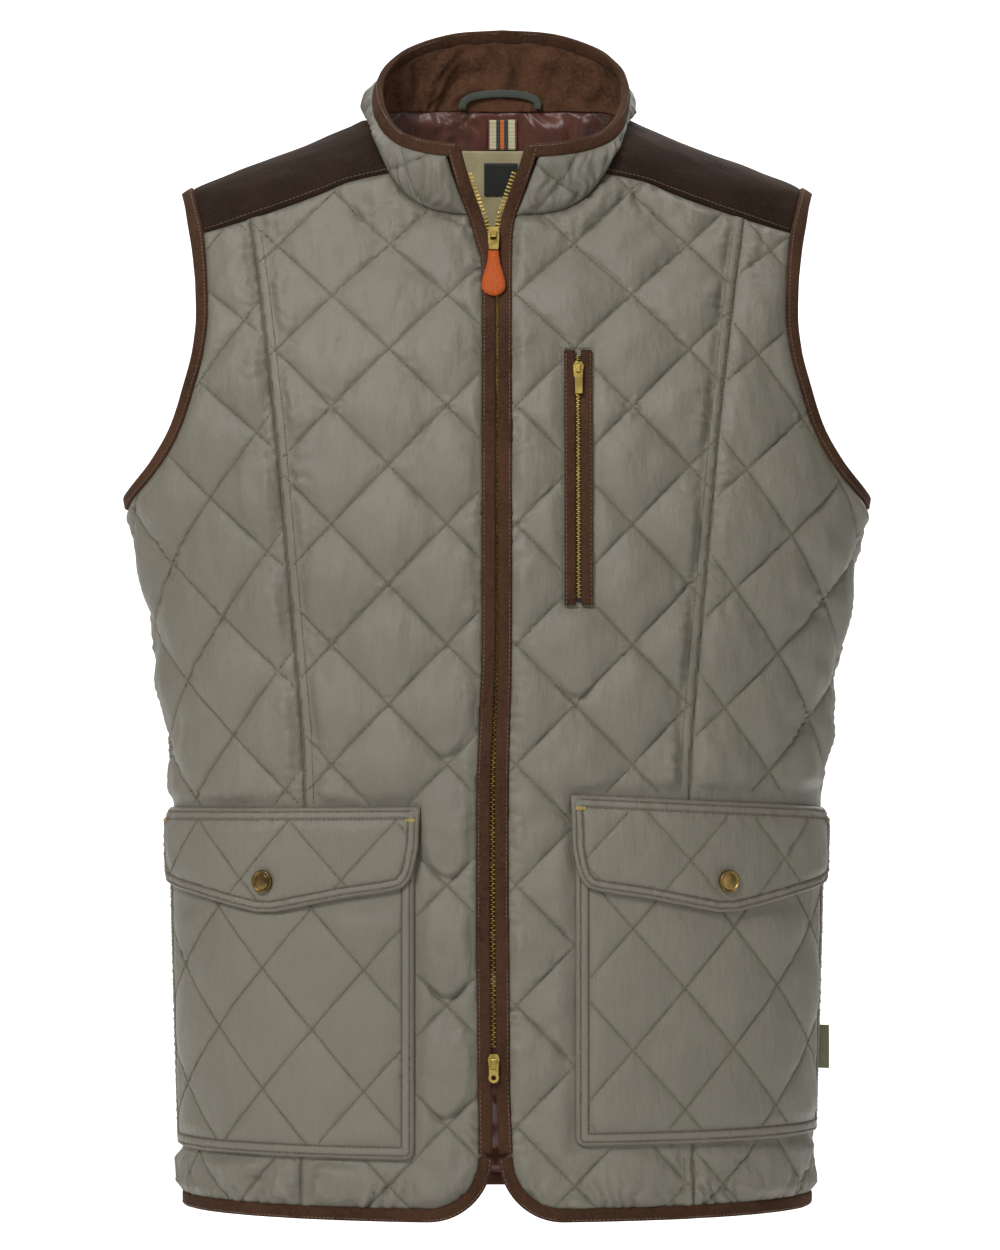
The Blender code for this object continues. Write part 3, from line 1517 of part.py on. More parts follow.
def prism(name, frame, outlines, low, high, finish):
    """Solid between two levels of the frame's third axis; each outline is a stack of one solid."""
    points = []
    faces = []
    outer = outlines[0]
    flat = [Vector(point) for outline in outlines for point in outline]
    edges = []
    start = 0
    for outline in outlines:
        count = len(outline)
        edges += [(start + i, start + (i + 1) % count) for i in range(count)]
        start += count
    _, _, triangles, origins, _, _ = delaunay_2d_cdt(flat, edges, [], 0, 1e-5, True)
    total = len(flat)
    arrays = [outline_arrays(outline) for outline in outlines]
    caps = []
    for triangle in triangles:
        face = [origins[i][0] for i in triangle]
        middle = sum((flat[i] for i in face), Vector((0, 0))) / 3
        if [is_inside(each, middle.x, middle.y) for each in arrays].count(True) == 1:
            caps.append(face)
    for level in (high, low):
        points += [frame @ Vector((p.x, p.y, level)) for p in flat]
    faces += [tuple(face) for face in caps]
    faces += [tuple(total + i for i in reversed(face)) for face in caps]
    turns = [outline_turn(outline) for outline in outlines]
    for k, (i, j) in enumerate(edges):
        forward = turns[0] > 0 if k < len(outer) else turns[1] < 0
        wall = (i, total + i, total + j, j) if forward else (i, j, total + j, total + i)
        faces.append(wall)
    return add_object(name, points, faces, finish)


# Zip sliders and pulls, in the frame of the cloth behind them: x sideways, y up, z outwards.
# The slider's bridge is an arch; the pull's bar passes under it and turns about the hinge.
SliderSize = namedtuple("SliderSize", "scale plate length lift")
TOP_SLIDER = SliderSize(1.0, (7.4, 5.4, 13.0), 12.0, 3.1)
CHEST_SLIDER = SliderSize(0.72, (6.8, 5.6, 10.0), 17.0, 4.2)
LOW_SLIDER = SliderSize(0.85, (7.4, 5.6, 12.0), 12.5, 3.1)
ARCH_HALF_WIDTH = 1.5
ARCH_WINDOW = 3.2
ARCH_BAR = 1.2
ARCH_HALF_LENGTH = 3.5
PLATE_THICKNESS = 1.4
PULL_BAR = 1.4


def hinge_frame(side, height, lift):
    along = along_of("front", side, height)
    frame = frame_at("front", along, climb_of("front", height), lift)
    normal = frame.col[2].to_3d()
    sideways = Vector((1, 0, 0))
    normal = (normal - sideways * normal.x).normalized()
    upward = normal.cross(sideways)
    matrix = Matrix((sideways, upward, normal)).transposed().to_4x4()
    matrix.translation = frame.translation
    return matrix


def slider(name, frame, size, finish, stem):
    """Plate with an arch, cut from one outline seen from the side and one from the front."""
    scale = size.scale
    top, low, length = size.plate
    half = length / 2
    front = [(-low / 2, -half), (low / 2, -half), (top / 2, half * 0.5), (top / 2 - 1.2, half),
             (-top / 2 + 1.2, half), (-top / 2, half * 0.5)]
    plate = prism(name, frame, [front], 0.0, PLATE_THICKNESS * scale, finish)
    turned = frame @ Matrix(((0, 0, 1, 0), (1, 0, 0, 0), (0, 1, 0, 0), (0, 0, 0, 1)))
    base = PLATE_THICKNESS * scale
    window = ARCH_WINDOW * scale
    bar = ARCH_BAR * scale
    reach = ARCH_HALF_LENGTH * scale
    arch = [(-reach, base - 0.6), (-reach + bar, base - 0.6), (-reach + bar, base + window),
            (reach - bar, base + window), (reach - bar, base - 0.6), (reach, base - 0.6),
            (reach, base + window + bar * 0.5), (reach - bar * 0.5, base + window + bar),
            (-reach + bar * 0.5, base + window + bar), (-reach, base + window + bar * 0.5)]
    width = ARCH_HALF_WIDTH * scale
    bridge = prism(name + "_bridge", turned, [arch], -width, width, finish)
    parts = [bridge]
    if stem:
        block = [(-stem, -half * 0.55), (stem, -half * 0.55), (stem, half * 0.55), (-stem, half * 0.55)]
        parts.append(prism(name + "_stem", frame, [block], -size.lift - 1.8, 0.4, finish))
    for part in parts:
        part.hide_render = True
        part.display_type = "WIRE"
        union = plate.modifiers.new("Join", "BOOLEAN")
        union.operation = "UNION"
        union.solver = "EXACT"
        union.object = part
    return plate


def pull(name, frame, size, finish, ring, taper=1.0):
    """Metal pull: a bar under the bridge, two rails, a tongue and, with ring, a round end."""
    scale = size.scale
    window_low = 5.7 * scale
    half = 3.6 * scale
    rail = 1.5 * scale
    length = size.length
    outer = [(half, PULL_BAR / 2 * scale), (-half, PULL_BAR / 2 * scale), (-half, -window_low)]
    tail = []
    if ring:
        radius = ring
        centre = -length + radius
        for i in range(9):
            turn = math.radians(150 + 240 * i / 8)
            tail.append((radius * math.cos(turn), centre + radius * math.sin(turn)))
        outer += tail
    else:
        outer += [(-half * taper, -length), (half * taper, -length)]
    outer.append((half, -window_low))
    hole = [(-half + rail, -PULL_BAR / 2 * scale), (half - rail, -PULL_BAR / 2 * scale),
            (half - rail, -window_low + rail * 0.6), (-half + rail, -window_low + rail * 0.6)]
    thickness = PULL_BAR * scale / 2
    made = prism(name, frame, [outer, hole], -thickness, thickness, finish)
    if ring:
        opening = [(0.5 * ring * math.cos(math.radians(a)), centre + 0.5 * ring * math.sin(math.radians(a)))
                   for a in range(0, 360, 36)]
        cutter = prism(name + "_opening", frame, [opening], -3, 3, finish)
        cutter.hide_render = True
        cutter.display_type = "WIRE"
        cut = made.modifiers.new("Opening", "BOOLEAN")
        cut.operation = "DIFFERENCE"
        cut.solver = "EXACT"
        cut.object = cutter
    return made


def hinge_lift(size):
    return size.lift + PLATE_THICKNESS * size.scale + ARCH_WINDOW * size.scale / 2


TOP_SLIDER_HEIGHT = -60.5
LOW_SLIDER_HEIGHT = -597.0
CHEST_SLIDER_HEIGHT = -150.0
TAB_LENGTH = 34.0


SliderPlace = namedtuple("SliderPlace", "name pull size side height stem ring taper")
SLIDER_PLACES = (
    SliderPlace("zip_slider", "zip_pull", TOP_SLIDER, centre_side(TOP_SLIDER_HEIGHT),
                TOP_SLIDER_HEIGHT, 1.6, 0, 0.8),
    SliderPlace("chest_zip_slider", "chest_zip_pull", CHEST_SLIDER, (WELT_INNER + WELT_OUTER) / 2,
                CHEST_SLIDER_HEIGHT, 0, 0, 0.85),
    SliderPlace("zip_lower_slider", "zip_lower_pull", LOW_SLIDER, centre_side(LOW_SLIDER_HEIGHT),
                LOW_SLIDER_HEIGHT, 0.9, 3.4, 1.0),
)
TabWidth = namedtuple("TabWidth", "share half_width")
TAB_WIDTHS = (
    TabWidth(0.0, 3.4),
    TabWidth(0.25, 4.2),
    TabWidth(0.5, 6.2),
    TabWidth(0.68, 7.6),
    TabWidth(0.8, 7.8),
    TabWidth(0.9, 6.6),
    TabWidth(0.97, 4.0),
    TabWidth(1.0, 1.2),
)
TAB_INSIDE = -2.4
TAB_OUTSIDE = 0.5


def slider_set():
    for place in SLIDER_PLACES:
        size = place.size
        slider(place.name, hinge_frame(place.side, place.height, size.lift), size, "brass", place.stem)
        pull(place.pull, hinge_frame(place.side, place.height, hinge_lift(size)), size, "brass",
             place.ring, place.taper)


def pull_tab():
    """Drop-shaped leather tab below the top pull."""
    frame = hinge_frame(centre_side(TOP_SLIDER_HEIGHT), TOP_SLIDER_HEIGHT, hinge_lift(TOP_SLIDER))
    start = TOP_SLIDER.length + GAP
    right = [(row.half_width, -start - row.share * TAB_LENGTH) for row in TAB_WIDTHS]
    left = [(-width, climb) for width, climb in reversed(right)]
    return prism("zip_pull_tab", frame, [right + left], TAB_INSIDE, TAB_OUTSIDE, "leather")


LOOP_REACH = 27.0
LOOP_FOOT = 0.03
LOOP_RISE = 0.2
LOOP_WIDTH = 6.0
LOOP_STEPS = 18
LOOP_INSIDE = -3.6
LOOP_OUTSIDE = -2.5


def hanger_loop():
    """Tape that arches over the neck seam inside the back collar."""
    path = []
    normals = []
    for i in range(LOOP_STEPS + 1):
        turn = math.pi * i / LOOP_STEPS
        around = LOOP_REACH * math.cos(turn)
        share = LOOP_FOOT + LOOP_RISE * math.sin(turn) ** 0.6
        path.append(collar_base(around, share))
        normals.append(collar_normal(around, share))
    return sweep("hanger_loop", path, normals, strip_profile(LOOP_WIDTH, LOOP_INSIDE, LOOP_OUTSIDE),
                 "green_tape")


NeckPiece = namedtuple("NeckPiece", "name low_side high_side low high inside outside finish")
NECK_PIECES = (
    NeckPiece("neck_tape", -6, 14, 14.0, 34.0, -3.0, -2.2, "stripe"),
    NeckPiece("neck_label", -27, 31, -38.0, 13.0, -3.0, -2.2, "cream"),
    NeckPiece("neck_label_patch", -9, 14, -16.0, 5.0, -4.2, -3.5, "dark_patch"),
)
NECK_PIECE_COLUMNS = 6
NECK_PIECE_ROWS = 4
NECK_PIECE_STEP = 10.0


def neck_pieces():
    """Striped tape, label and its patch on the lining of the back neck."""
    for piece in NECK_PIECES:
        low, high = climb_of("back", piece.low), climb_of("back", piece.high)
        corners = [(piece.low_side, low), (piece.high_side, low), (piece.high_side, high),
                   (piece.low_side, high)]
        step = max((piece.high_side - piece.low_side) / NECK_PIECE_COLUMNS,
                   (piece.high - piece.low) / NECK_PIECE_ROWS)
        outline = closed_outline(corners, step)
        middle = kept_points(grid_points(outline, NECK_PIECE_STEP), outline_arrays(outline), 3.0)
        add_sheet(piece.name, outline, middle, on_back, steady(piece.outside), steady(piece.inside),
                  piece.finish, lining_step=NECK_PIECE_STEP)


SIDE_LABEL_HEIGHT = -595.0
SIDE_LABEL_WIDTH = 9.5
SIDE_LABEL_LENGTH = 29.0
SIDE_LABEL_THICKNESS = 1.2
SIDE_LABEL_TURN = -22
SIDE_LABEL_INSET = 2.5
SIDE_LABEL_LIFT = 2.2


def side_label():
    """Folded woven tab in the left side seam at the hip."""
    along = side_seam("front", SIDE_LABEL_HEIGHT) - SIDE_LABEL_INSET
    point = surface("front", along, climb_of("front", SIDE_LABEL_HEIGHT))
    frame = Matrix.Translation(point + Vector((SIDE_LABEL_LIFT, 0, 0)))
    axes = Matrix(((1, 0, 0, 0), (0, 0, 1, 0), (0, 1, 0, 0), (0, 0, 0, 1)))
    turned = frame @ Matrix.Rotation(math.radians(SIDE_LABEL_TURN), 4, "Z") @ axes
    half = SIDE_LABEL_LENGTH / 2
    outline = [(0, half), (SIDE_LABEL_WIDTH, half), (SIDE_LABEL_WIDTH, -half), (0, -half)]
    return prism("side_label", turned, [outline], -SIDE_LABEL_THICKNESS / 2, SIDE_LABEL_THICKNESS / 2,
                 "woven_label")


def build():
    remove_old_objects()
    for hand in "RL":
        front_centre(hand)
        front_side(hand)
        yoke(hand)
        front_binding(hand)
        armhole_binding(hand)
        pocket_bag(hand)
        pocket_flap(hand)
        pocket_snap(hand)
    back_panel()
    hem_binding()
    add_collar_layer("collar_outer", 0.3, COLLAR_THICKNESS, COLLAR_PUFF, "shell")
    add_collar_layer("collar_facing", -1.9, -0.4, 0.0, "suede")
    collar_binding()
    chest_pocket()
    zip_pieces()
    slider_set()
    pull_tab()
    hanger_loop()
    neck_pieces()
    side_label()


build()
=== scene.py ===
import math

import bpy
import numpy as np
from mathutils import Matrix, Vector
from mathutils.geometry import delaunay_2d_cdt


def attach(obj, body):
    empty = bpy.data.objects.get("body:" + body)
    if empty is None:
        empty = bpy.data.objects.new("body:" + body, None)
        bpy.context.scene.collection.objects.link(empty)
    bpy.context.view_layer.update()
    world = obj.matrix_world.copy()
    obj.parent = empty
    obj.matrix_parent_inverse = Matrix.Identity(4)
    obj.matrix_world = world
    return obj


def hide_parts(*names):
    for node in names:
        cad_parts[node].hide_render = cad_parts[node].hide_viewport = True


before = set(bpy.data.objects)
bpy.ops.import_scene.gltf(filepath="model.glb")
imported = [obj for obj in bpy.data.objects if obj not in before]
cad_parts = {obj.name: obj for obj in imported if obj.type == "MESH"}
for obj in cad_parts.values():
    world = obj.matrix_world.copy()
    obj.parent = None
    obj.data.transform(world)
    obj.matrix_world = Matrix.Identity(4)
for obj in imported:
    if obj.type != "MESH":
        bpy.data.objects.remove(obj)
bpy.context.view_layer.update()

root = "garment"
mm = 0.001
sides = {"R": -1, "L": 1}
print("frame loaded")

# Base surface in millimetres: half width, front depth, back depth, y of the widest point, roundness
sectionRows = {
    -710: (207.8, 122.0, 112.0, 0, 2.0), -600: (211.0, 121.0, 112.0, 0, 2.0),
    -500: (214.0, 120.0, 109.0, 0, 2.0), -430: (215.5, 119.5, 106.0, 0, 2.0),
    -380: (218.5, 119.5, 105.0, 0, 2.0), -345: (223.5, 119.5, 105.0, 0, 2.0),
    -320: (227.5, 119.5, 106.0, 0, 2.0), -293: (232.0, 119.5, 107.0, 0, 2.0),
    -271: (237.0, 119.0, 108.0, 0, 2.0), -245: (243.0, 117.5, 108.5, 0, 2.0),
    -228: (247.5, 115.5, 108.5, 0, 2.0), -205: (247.0, 112.5, 108.5, 0, 2.0),
    -180: (245.0, 109.0, 108.5, 0, 2.0), -150: (243.0, 103.0, 107.5, 0, 2.0),
    -125: (240.5, 95.0, 105.0, 1, 2.0), -98: (237.0, 84.0, 101.0, 3, 2.0),
    -66: (230.0, 67.5, 93.5, 7, 2.0), -44: (221.0, 58.5, 86.0, 12, 1.95),
    -26: (211.5, 56.0, 79.5, 17, 1.85), -9: (177.6, 55.0, 74.0, 21, 1.75),
    7: (134.7, 53.5, 70.5, 24, 1.7), 24: (95.8, 52.0, 66.5, 27, 1.65),
    29: (86.0, 51.0, 65.5, 27, 1.65), 42: (75.0, 50.0, 61.0, 24, 1.75),
}


def curveThrough(pairs):
    # a smooth curve through the pairs that never overshoots them
    pairs = sorted(pairs)
    keys = np.array([pair[0] for pair in pairs], float)
    values = np.array([pair[1] for pair in pairs], float)
    steps = np.diff(keys)
    rises = np.diff(values) / steps
    slopes = np.zeros(len(keys))
    slopes[0], slopes[-1] = rises[0], rises[-1]
    for i in range(1, len(keys) - 1):
        if rises[i - 1] * rises[i] > 0:
            before, after = 2 * steps[i] + steps[i - 1], steps[i] + 2 * steps[i - 1]
            slopes[i] = (before + after) / (before / rises[i - 1] + after / rises[i])

    def curve(at):
        at = np.clip(np.asarray(at, float), keys[0], keys[-1])
        i = np.clip(np.searchsorted(keys, at, side="right") - 1, 0, len(steps) - 1)
        t = (at - keys[i]) / steps[i]
        bend = steps[i] * (slopes[i] * t * (1 - t) ** 2 + slopes[i + 1] * t * t * (t - 1))
        return values[i] + bend + (values[i + 1] - values[i]) * t * t * (3 - 2 * t)

    return curve


halfWidthAt, frontAt, backAt, ridgeAt, roundnessAt = [
    curveThrough([(height, row[i]) for height, row in sectionRows.items()]) for i in range(5)]
armholeRows = {
    -25.5: (210.5, 210.5), -40: (206.5, 209.0), -60: (202.0, 206.5), -90: (199.0, 204.5),
    -112: (198.0, 204.5), -133: (200.0, 206.5), -157: (206.0, 212.0), -182: (214.0, 219.5),
    -205: (227.5, 231.5), -227: (247.4, 247.4),
}
armholeAt = {face: curveThrough([(height, row[i]) for height, row in armholeRows.items()])
             for i, face in enumerate(("front", "back"))}
yokeRows = {64: (-14.4, 36.4), 99: (-21.6, 13.0), 114: (-28.0, 4.0), 148: (-40.0, -17.0),
            175: (-48.0, -34.0), 215: (-58.0, -59.0)}
yokeAt = {face: curveThrough([(side, row[i]) for side, row in yokeRows.items()])
          for i, face in enumerate(("front", "back"))}
edgeRows = {
    -700: (-2.6, 2.8), -640: (-3.0, 0.6), -610: (-3.4, -0.6), -560: (-4.0, -0.7), -490: (-4.4, -1.4),
    -420: (-4.2, -1.4), -370: (-2.2, -0.2), -320: (-0.8, 0.7), -110: (-0.8, 0.7), -76: (-1.6, 0.8),
    -61: (-5.6, 1.3), -44.5: (-10.0, 3.2),
}
edgeAt = {hand: curveThrough([(height, row[i]) for height, row in edgeRows.items()])
          for i, hand in enumerate("RL")}
princessAt = curveThrough([
    (-700, 127.5), (-430, 125.0), (-395, 126.0), (-342, 130.0), (-298, 134.0), (-264, 137.0),
    (-232, 140.0), (-185, 144.5), (-131, 151.0), (-90, 156.5), (-44, 164.0), (-20, 168.0)])

size = {
    "hem": -700.0, "cornerRadius": 42.0, "binding": 9.0, "panelInside": -1.0, "panelOutside": 1.2,
    "neckFront": -44.5, "armholeTop": -25.5, "armholeBottom": -227.0, "rimSway": 4.0,
    "rimEdgeR": -26.0, "rimEdgeL": 18.4,
}
size["cornerTop"] = size["hem"] + size["cornerRadius"]
lowest, highest = -712, 42
quarter = np.linspace(0, math.pi / 2, 121)
shares = np.linspace(0, 1, 121)


def depthAt(face, height):
    return frontAt(height) + ridgeAt(height) if face == "front" else backAt(height) - ridgeAt(height)


def summed(steps):
    return np.concatenate(([0.0], np.cumsum(steps)))


def runAlong(points):
    return summed(np.linalg.norm(np.diff(points, axis=0), axis=1))


def readAt(where, run, points):
    return np.stack([np.interp(where, run, points[:, k]) for k in range(points.shape[1])], axis=-1)


def faceTables(face):
    heights = np.arange(lowest, highest + 1, 1.0)
    reach = frontAt(heights) if face == "front" else backAt(heights)
    climbs = summed(np.hypot(np.diff(heights), np.diff(reach)))
    across, deep, lengths = [], [], []
    for height in heights:
        power = 2 / roundnessAt(height)
        x = halfWidthAt(height) * np.sin(quarter) ** power
        y = depthAt(face, height) * np.clip(np.cos(quarter), 0, 1) ** power
        run = summed(np.hypot(np.diff(x), np.diff(y)))
        across.append(np.interp(shares * run[-1], run, x))
        deep.append(np.interp(shares * run[-1], run, y))
        lengths.append(run[-1])
    return {"heights": heights, "climbs": climbs, "across": np.array(across),
            "deep": np.array(deep), "lengths": np.array(lengths)}


tables = {face: faceTables(face) for face in ("front", "back")}


def climbOf(face, height):
    return np.interp(height, tables[face]["heights"], tables[face]["climbs"])


def frontClimb(height):
    return float(climbOf("front", height))


def heightOf(face, climb):
    return np.interp(climb, tables[face]["climbs"], tables[face]["heights"])


def surface(face, along, climb):
    # points of the base surface; along runs sideways on the cloth, climb runs up it
    table = tables[face]
    along = np.asarray(along, float)
    height = heightOf(face, climb)
    row = np.clip(height - lowest, 0, highest - lowest - 1e-6)
    low = row.astype(int)
    part = row - low
    share = np.clip(np.abs(along) / np.interp(height, table["heights"], table["lengths"]), 0, 1) * 120
    column = np.clip(share.astype(int), 0, 119)
    rest = share - column

    def read(grid):
        lower = grid[low, column] * (1 - rest) + grid[low, column + 1] * rest
        upper = grid[low + 1, column] * (1 - rest) + grid[low + 1, column + 1] * rest
        return lower * (1 - part) + upper * part

    depth = read(table["deep"])
    ridge = ridgeAt(height)
    y = ridge - depth if face == "front" else ridge + depth
    return np.stack([np.sign(along) * read(table["across"]), y, height + 0 * along], axis=-1)


def unit(vectors):
    return vectors / np.maximum(np.linalg.norm(vectors, axis=-1, keepdims=True), 1e-9)


def mirrored(points, hand):
    return points * np.array([sides[hand], 1, 1])


def outward(face, along, climb, step=1.2):
    along = np.asarray(along, float)
    climb = np.asarray(climb, float)
    across = surface(face, along + step, climb) - surface(face, along - step, climb)
    upward = surface(face, along, climb + step) - surface(face, along, climb - step)
    normal = unit(np.cross(across, upward))
    return normal if face == "front" else -normal


def lifted(face, along, climb, lift):
    return surface(face, along, climb) + outward(face, along, climb) * np.asarray(lift)[..., None]


def alongOf(face, side, height):
    table = tables[face]
    row = int(np.clip(round(float(height) - lowest), 0, highest - lowest))
    share = np.interp(abs(side), table["across"][row], shares)
    return math.copysign(float(share * table["lengths"][row]), side)


def sideSeam(face, height):
    return np.interp(height, tables[face]["heights"], tables[face]["lengths"])


def onSection(face, side, height):
    ratio = np.minimum(np.abs(side) / halfWidthAt(height), 1.0)
    roundness = roundnessAt(height)
    depth = depthAt(face, height) * (1 - ratio**roundness) ** (1 / roundness)
    ridge = ridgeAt(height)
    y = ridge - depth if face == "front" else ridge + depth
    return np.stack([side + 0 * ratio, y, height + 0 * ratio], axis=-1)


def sectionValue(points):
    x, y, z = points[..., 0], points[..., 1], points[..., 2]
    ridge = ridgeAt(z)
    depth = np.where(y < ridge, frontAt(z) + ridge, backAt(z) - ridge)
    roundness = roundnessAt(z)
    return (np.abs(x) / halfWidthAt(z)) ** roundness + (np.abs(y - ridge) / depth) ** roundness


def surfaceNormal(points):
    rises = []
    for axis in range(3):
        offset = np.zeros(3)
        offset[axis] = 0.5
        rises.append(sectionValue(points + offset) - sectionValue(points - offset))
    return unit(np.stack(rises, axis=-1))


def ontoSurface(points):
    for _ in range(6):
        step = surfaceNormal(points) * 0.5
        rise = sectionValue(points + step) - sectionValue(points - step)
        points = points - step * ((sectionValue(points) - 1) / rise)[..., None] * 2
    return points


def flatOf(face, points):
    points = np.atleast_2d(points)
    height = points[:, 2]
    half = roundnessAt(height) / 2
    side = (np.abs(points[:, 0]) / halfWidthAt(height)) ** half
    reach = (np.abs(points[:, 1] - ridgeAt(height)) / depthAt(face, height)) ** half
    angle = np.arctan2(side, reach)
    found = []
    for i, value in enumerate(angle):
        power = 2 / float(roundnessAt(height[i]))
        across = float(halfWidthAt(height[i])) * math.sin(value) ** power
        found.append(alongOf(face, across, height[i]) * (1 if points[i, 0] >= 0 else -1))
    return np.stack([np.array(found), climbOf(face, height)], axis=1)


def resample(points, count):
    points = np.asarray(points, float)
    run = runAlong(points)
    return readAt(np.linspace(0, run[-1], count), run, points)


def smoothPath(points, count):
    points = np.asarray(points, float)
    padded = np.vstack([points[:1] * 2 - points[1:2], points, points[-1:] * 2 - points[-2:-1]])
    fine = []
    for a, b, c, d in zip(padded, padded[1:], padded[2:], padded[3:]):
        for t in np.arange(0, 1, 1 / 12):
            fine.append(0.5 * (2 * b + (c - a) * t + (2 * a - 5 * b + 4 * c - d) * t**2
                               + (3 * b - a - 3 * c + d) * t**3))
    fine.append(points[-1])
    return resample(fine, count)


def runLength(points):
    return float(np.linalg.norm(np.diff(points, axis=0), axis=1).sum())


neckRows = [("front", 0, -44.5), ("front", 16, -44.3), ("front", 32, -43.0), ("front", 47, -39.0),
            ("front", 60, -30.0), ("front", 70, -16.5), ("front", 77, -1.0), ("front", 81, 11.5),
            ("front", 84, 21.0), ("back", 86.3, 28.6), ("back", 78, 34.0), ("back", 60, 36.8),
            ("back", 32, 38.3), ("back", 0, 38.7)]
rimRows = [(0, -66, 1.0), (20, -66, 1.6), (37, -64, 3.0), (53, -57, 6.5), (66, -46, 13.0),
           (75, -30, 25.0), (80, -12, 39.0), (81, 6, 53.0), (76, 22, 66.0), (62, 37, 79.5),
           (34, 47, 90.0), (0, 50, 93.0)]
neckHalf = ontoSurface(smoothPath([onSection(*row) for row in neckRows], 61))
rimHalf = smoothPath(rimRows, 61)
neckLength, rimLength = runLength(neckHalf), runLength(rimHalf)


def onHalf(points, fraction):
    at = np.clip(fraction, 0, 1) * (len(points) - 1)
    return readAt(at, np.arange(len(points)), points)


def neckPoint(around):
    around = np.asarray(around, float)
    point = onHalf(neckHalf, 1 - np.abs(around) / neckLength)
    point[..., 0] = np.where(around < 0, -point[..., 0], point[..., 0])
    return point


def rimPoint(around):
    around = np.asarray(around, float)
    fraction = 1 - np.abs(around) / neckLength
    point = onHalf(rimHalf, fraction)
    side = np.where(around < 0, -point[..., 0], point[..., 0])
    point[..., 0] = side + size["rimSway"] * np.minimum(1.0, 2.5 * fraction)
    return point


def collarHeight(around):
    return np.linalg.norm(rimPoint(around) - neckPoint(around), axis=-1)


def collarBase(around, share):
    share = np.asarray(share, float)[..., None]
    point = neckPoint(around) * (1 - share) + rimPoint(around) * share
    flat = point * np.array([1, 1, 0])
    return point + unit(flat) * 1.5 * np.sin(math.pi * share)


def collarNormal(around, share):
    around = np.asarray(around, float)
    share = np.asarray(share, float)
    across = collarBase(around + 2, share) - collarBase(around - 2, share)
    upward = collarBase(around, np.minimum(share + 0.05, 1)) - collarBase(around, np.maximum(share - 0.05, 0))
    return -unit(np.cross(across, upward))


def collarLifted(around, share, lift):
    return collarBase(around, share) + collarNormal(around, share) * np.asarray(lift)[..., None]


def collarEdge(hand, share):
    low = float(edgeAt[hand](size["neckFront"]))
    high = size["rimEdge" + hand]
    step = low * (1 - share) + high * share * neckLength / rimLength
    return -(neckLength + step) if hand == "R" else neckLength - step


def belowRim(around, distance):
    along = unit(rimPoint(around + 1) - rimPoint(around - 1))
    up = unit(rimPoint(around) - neckPoint(around))
    return 1 - distance / (collarHeight(around) * np.linalg.norm(np.cross(along, up), axis=-1))


def princessAlong(climb):
    climb = np.asarray(climb, float)
    heights = heightOf("front", climb)
    grid = np.arange(lowest, highest + 1, 4.0)
    reach = [alongOf("front", float(princessAt(height)), height) for height in grid]
    return np.interp(heights, grid, reach)


princessGrid = np.linspace(0, frontClimb(highest), 260)
princessReach = princessAlong(princessGrid)


def seamAlong(climb):
    return np.interp(climb, princessGrid, princessReach)


def ease(value):
    value = np.clip(value, 0.0, 1.0)
    return value * value * (3 - 2 * value)


def frontEdge(hand, height):
    return edgeAt["L"](height) if hand == "L" else -edgeAt["R"](height)


def frontInset(hand, height, inset):
    slope = (frontEdge(hand, height + 2) - frontEdge(hand, height - 2)) / 4
    return float(frontEdge(hand, height) + inset * math.hypot(1, slope)), frontClimb(height)


# Outlines and their tests
def densify(points, step):
    result = []
    for start, end in zip(points, points[1:]):
        start, end = np.asarray(start, float), np.asarray(end, float)
        pieces = max(1, math.ceil(np.linalg.norm(end - start) / step))
        result += [start + (end - start) * i / pieces for i in range(pieces)]
    return result


def closedOutline(points, step=3.0):
    return np.array(densify(list(points) + [points[0]], step))


def edgeDistance(outline, points):
    starts = outline
    spans = np.roll(outline, -1, axis=0) - starts
    lengths = np.maximum((spans**2).sum(axis=1), 1e-9)
    found = np.empty(len(points))
    for i in range(0, len(points), 2000):
        offsets = points[i:i + 2000, None, :] - starts[None]
        t = np.clip((offsets * spans).sum(axis=2) / lengths, 0, 1)
        gaps = offsets - spans * t[..., None]
        found[i:i + 2000] = np.sqrt((gaps**2).sum(axis=2).min(axis=1))
    return found


def inside(outline, points):
    starts, ends = outline, np.roll(outline, -1, axis=0)
    rise = np.where(ends[:, 1] == starts[:, 1], 1.0, ends[:, 1] - starts[:, 1])
    found = np.empty(len(points), bool)
    for i in range(0, len(points), 2000):
        x, y = points[i:i + 2000, 0:1], points[i:i + 2000, 1:2]
        crosses = (starts[:, 1] > y) != (ends[:, 1] > y)
        at = starts[:, 0] + (y - starts[:, 1]) / rise * (ends[:, 0] - starts[:, 0])
        found[i:i + 2000] = (crosses & (at > x)).sum(axis=1) % 2 == 1
    return found


def shoelace(outline):
    ends = np.roll(outline, -1, axis=0)
    return float((outline[:, 0] * ends[:, 1] - ends[:, 0] * outline[:, 1]).sum() / 2)


def kept(points, outline, margin):
    points = np.asarray(points, float).reshape(-1, 2)
    points = points[inside(outline, points)]
    return points[edgeDistance(outline, points) > margin]


def gridPoints(outline, step):
    low, high = outline.min(axis=0), outline.max(axis=0)
    x, y = np.meshgrid(*[np.arange(low[k] + step / 2, high[k], step) for k in range(2)])
    return np.stack([x.ravel(), y.ravel()], axis=1)


def triangulate(outline, inner):
    count = len(outline)
    flat = [Vector((float(x), float(y))) for x, y in np.vstack([outline, inner])]
    edges = [(i, (i + 1) % count) for i in range(count)]
    points, _, faces, origins, _, _ = delaunay_2d_cdt(flat, edges, [], 0, 1e-5, True)
    index = np.array([origin[0] for origin in origins])
    at = np.array([(point.x, point.y) for point in points])
    faces = np.array([face for face in faces if len(face) == 3])
    a, b, c = at[faces[:, 0]], at[faces[:, 1]], at[faces[:, 2]]
    area = np.abs(np.cross(b - a, c - a)) / 2
    good = (area > 0.004) & inside(outline, (a + b + c) / 3)
    return index[faces[good]]


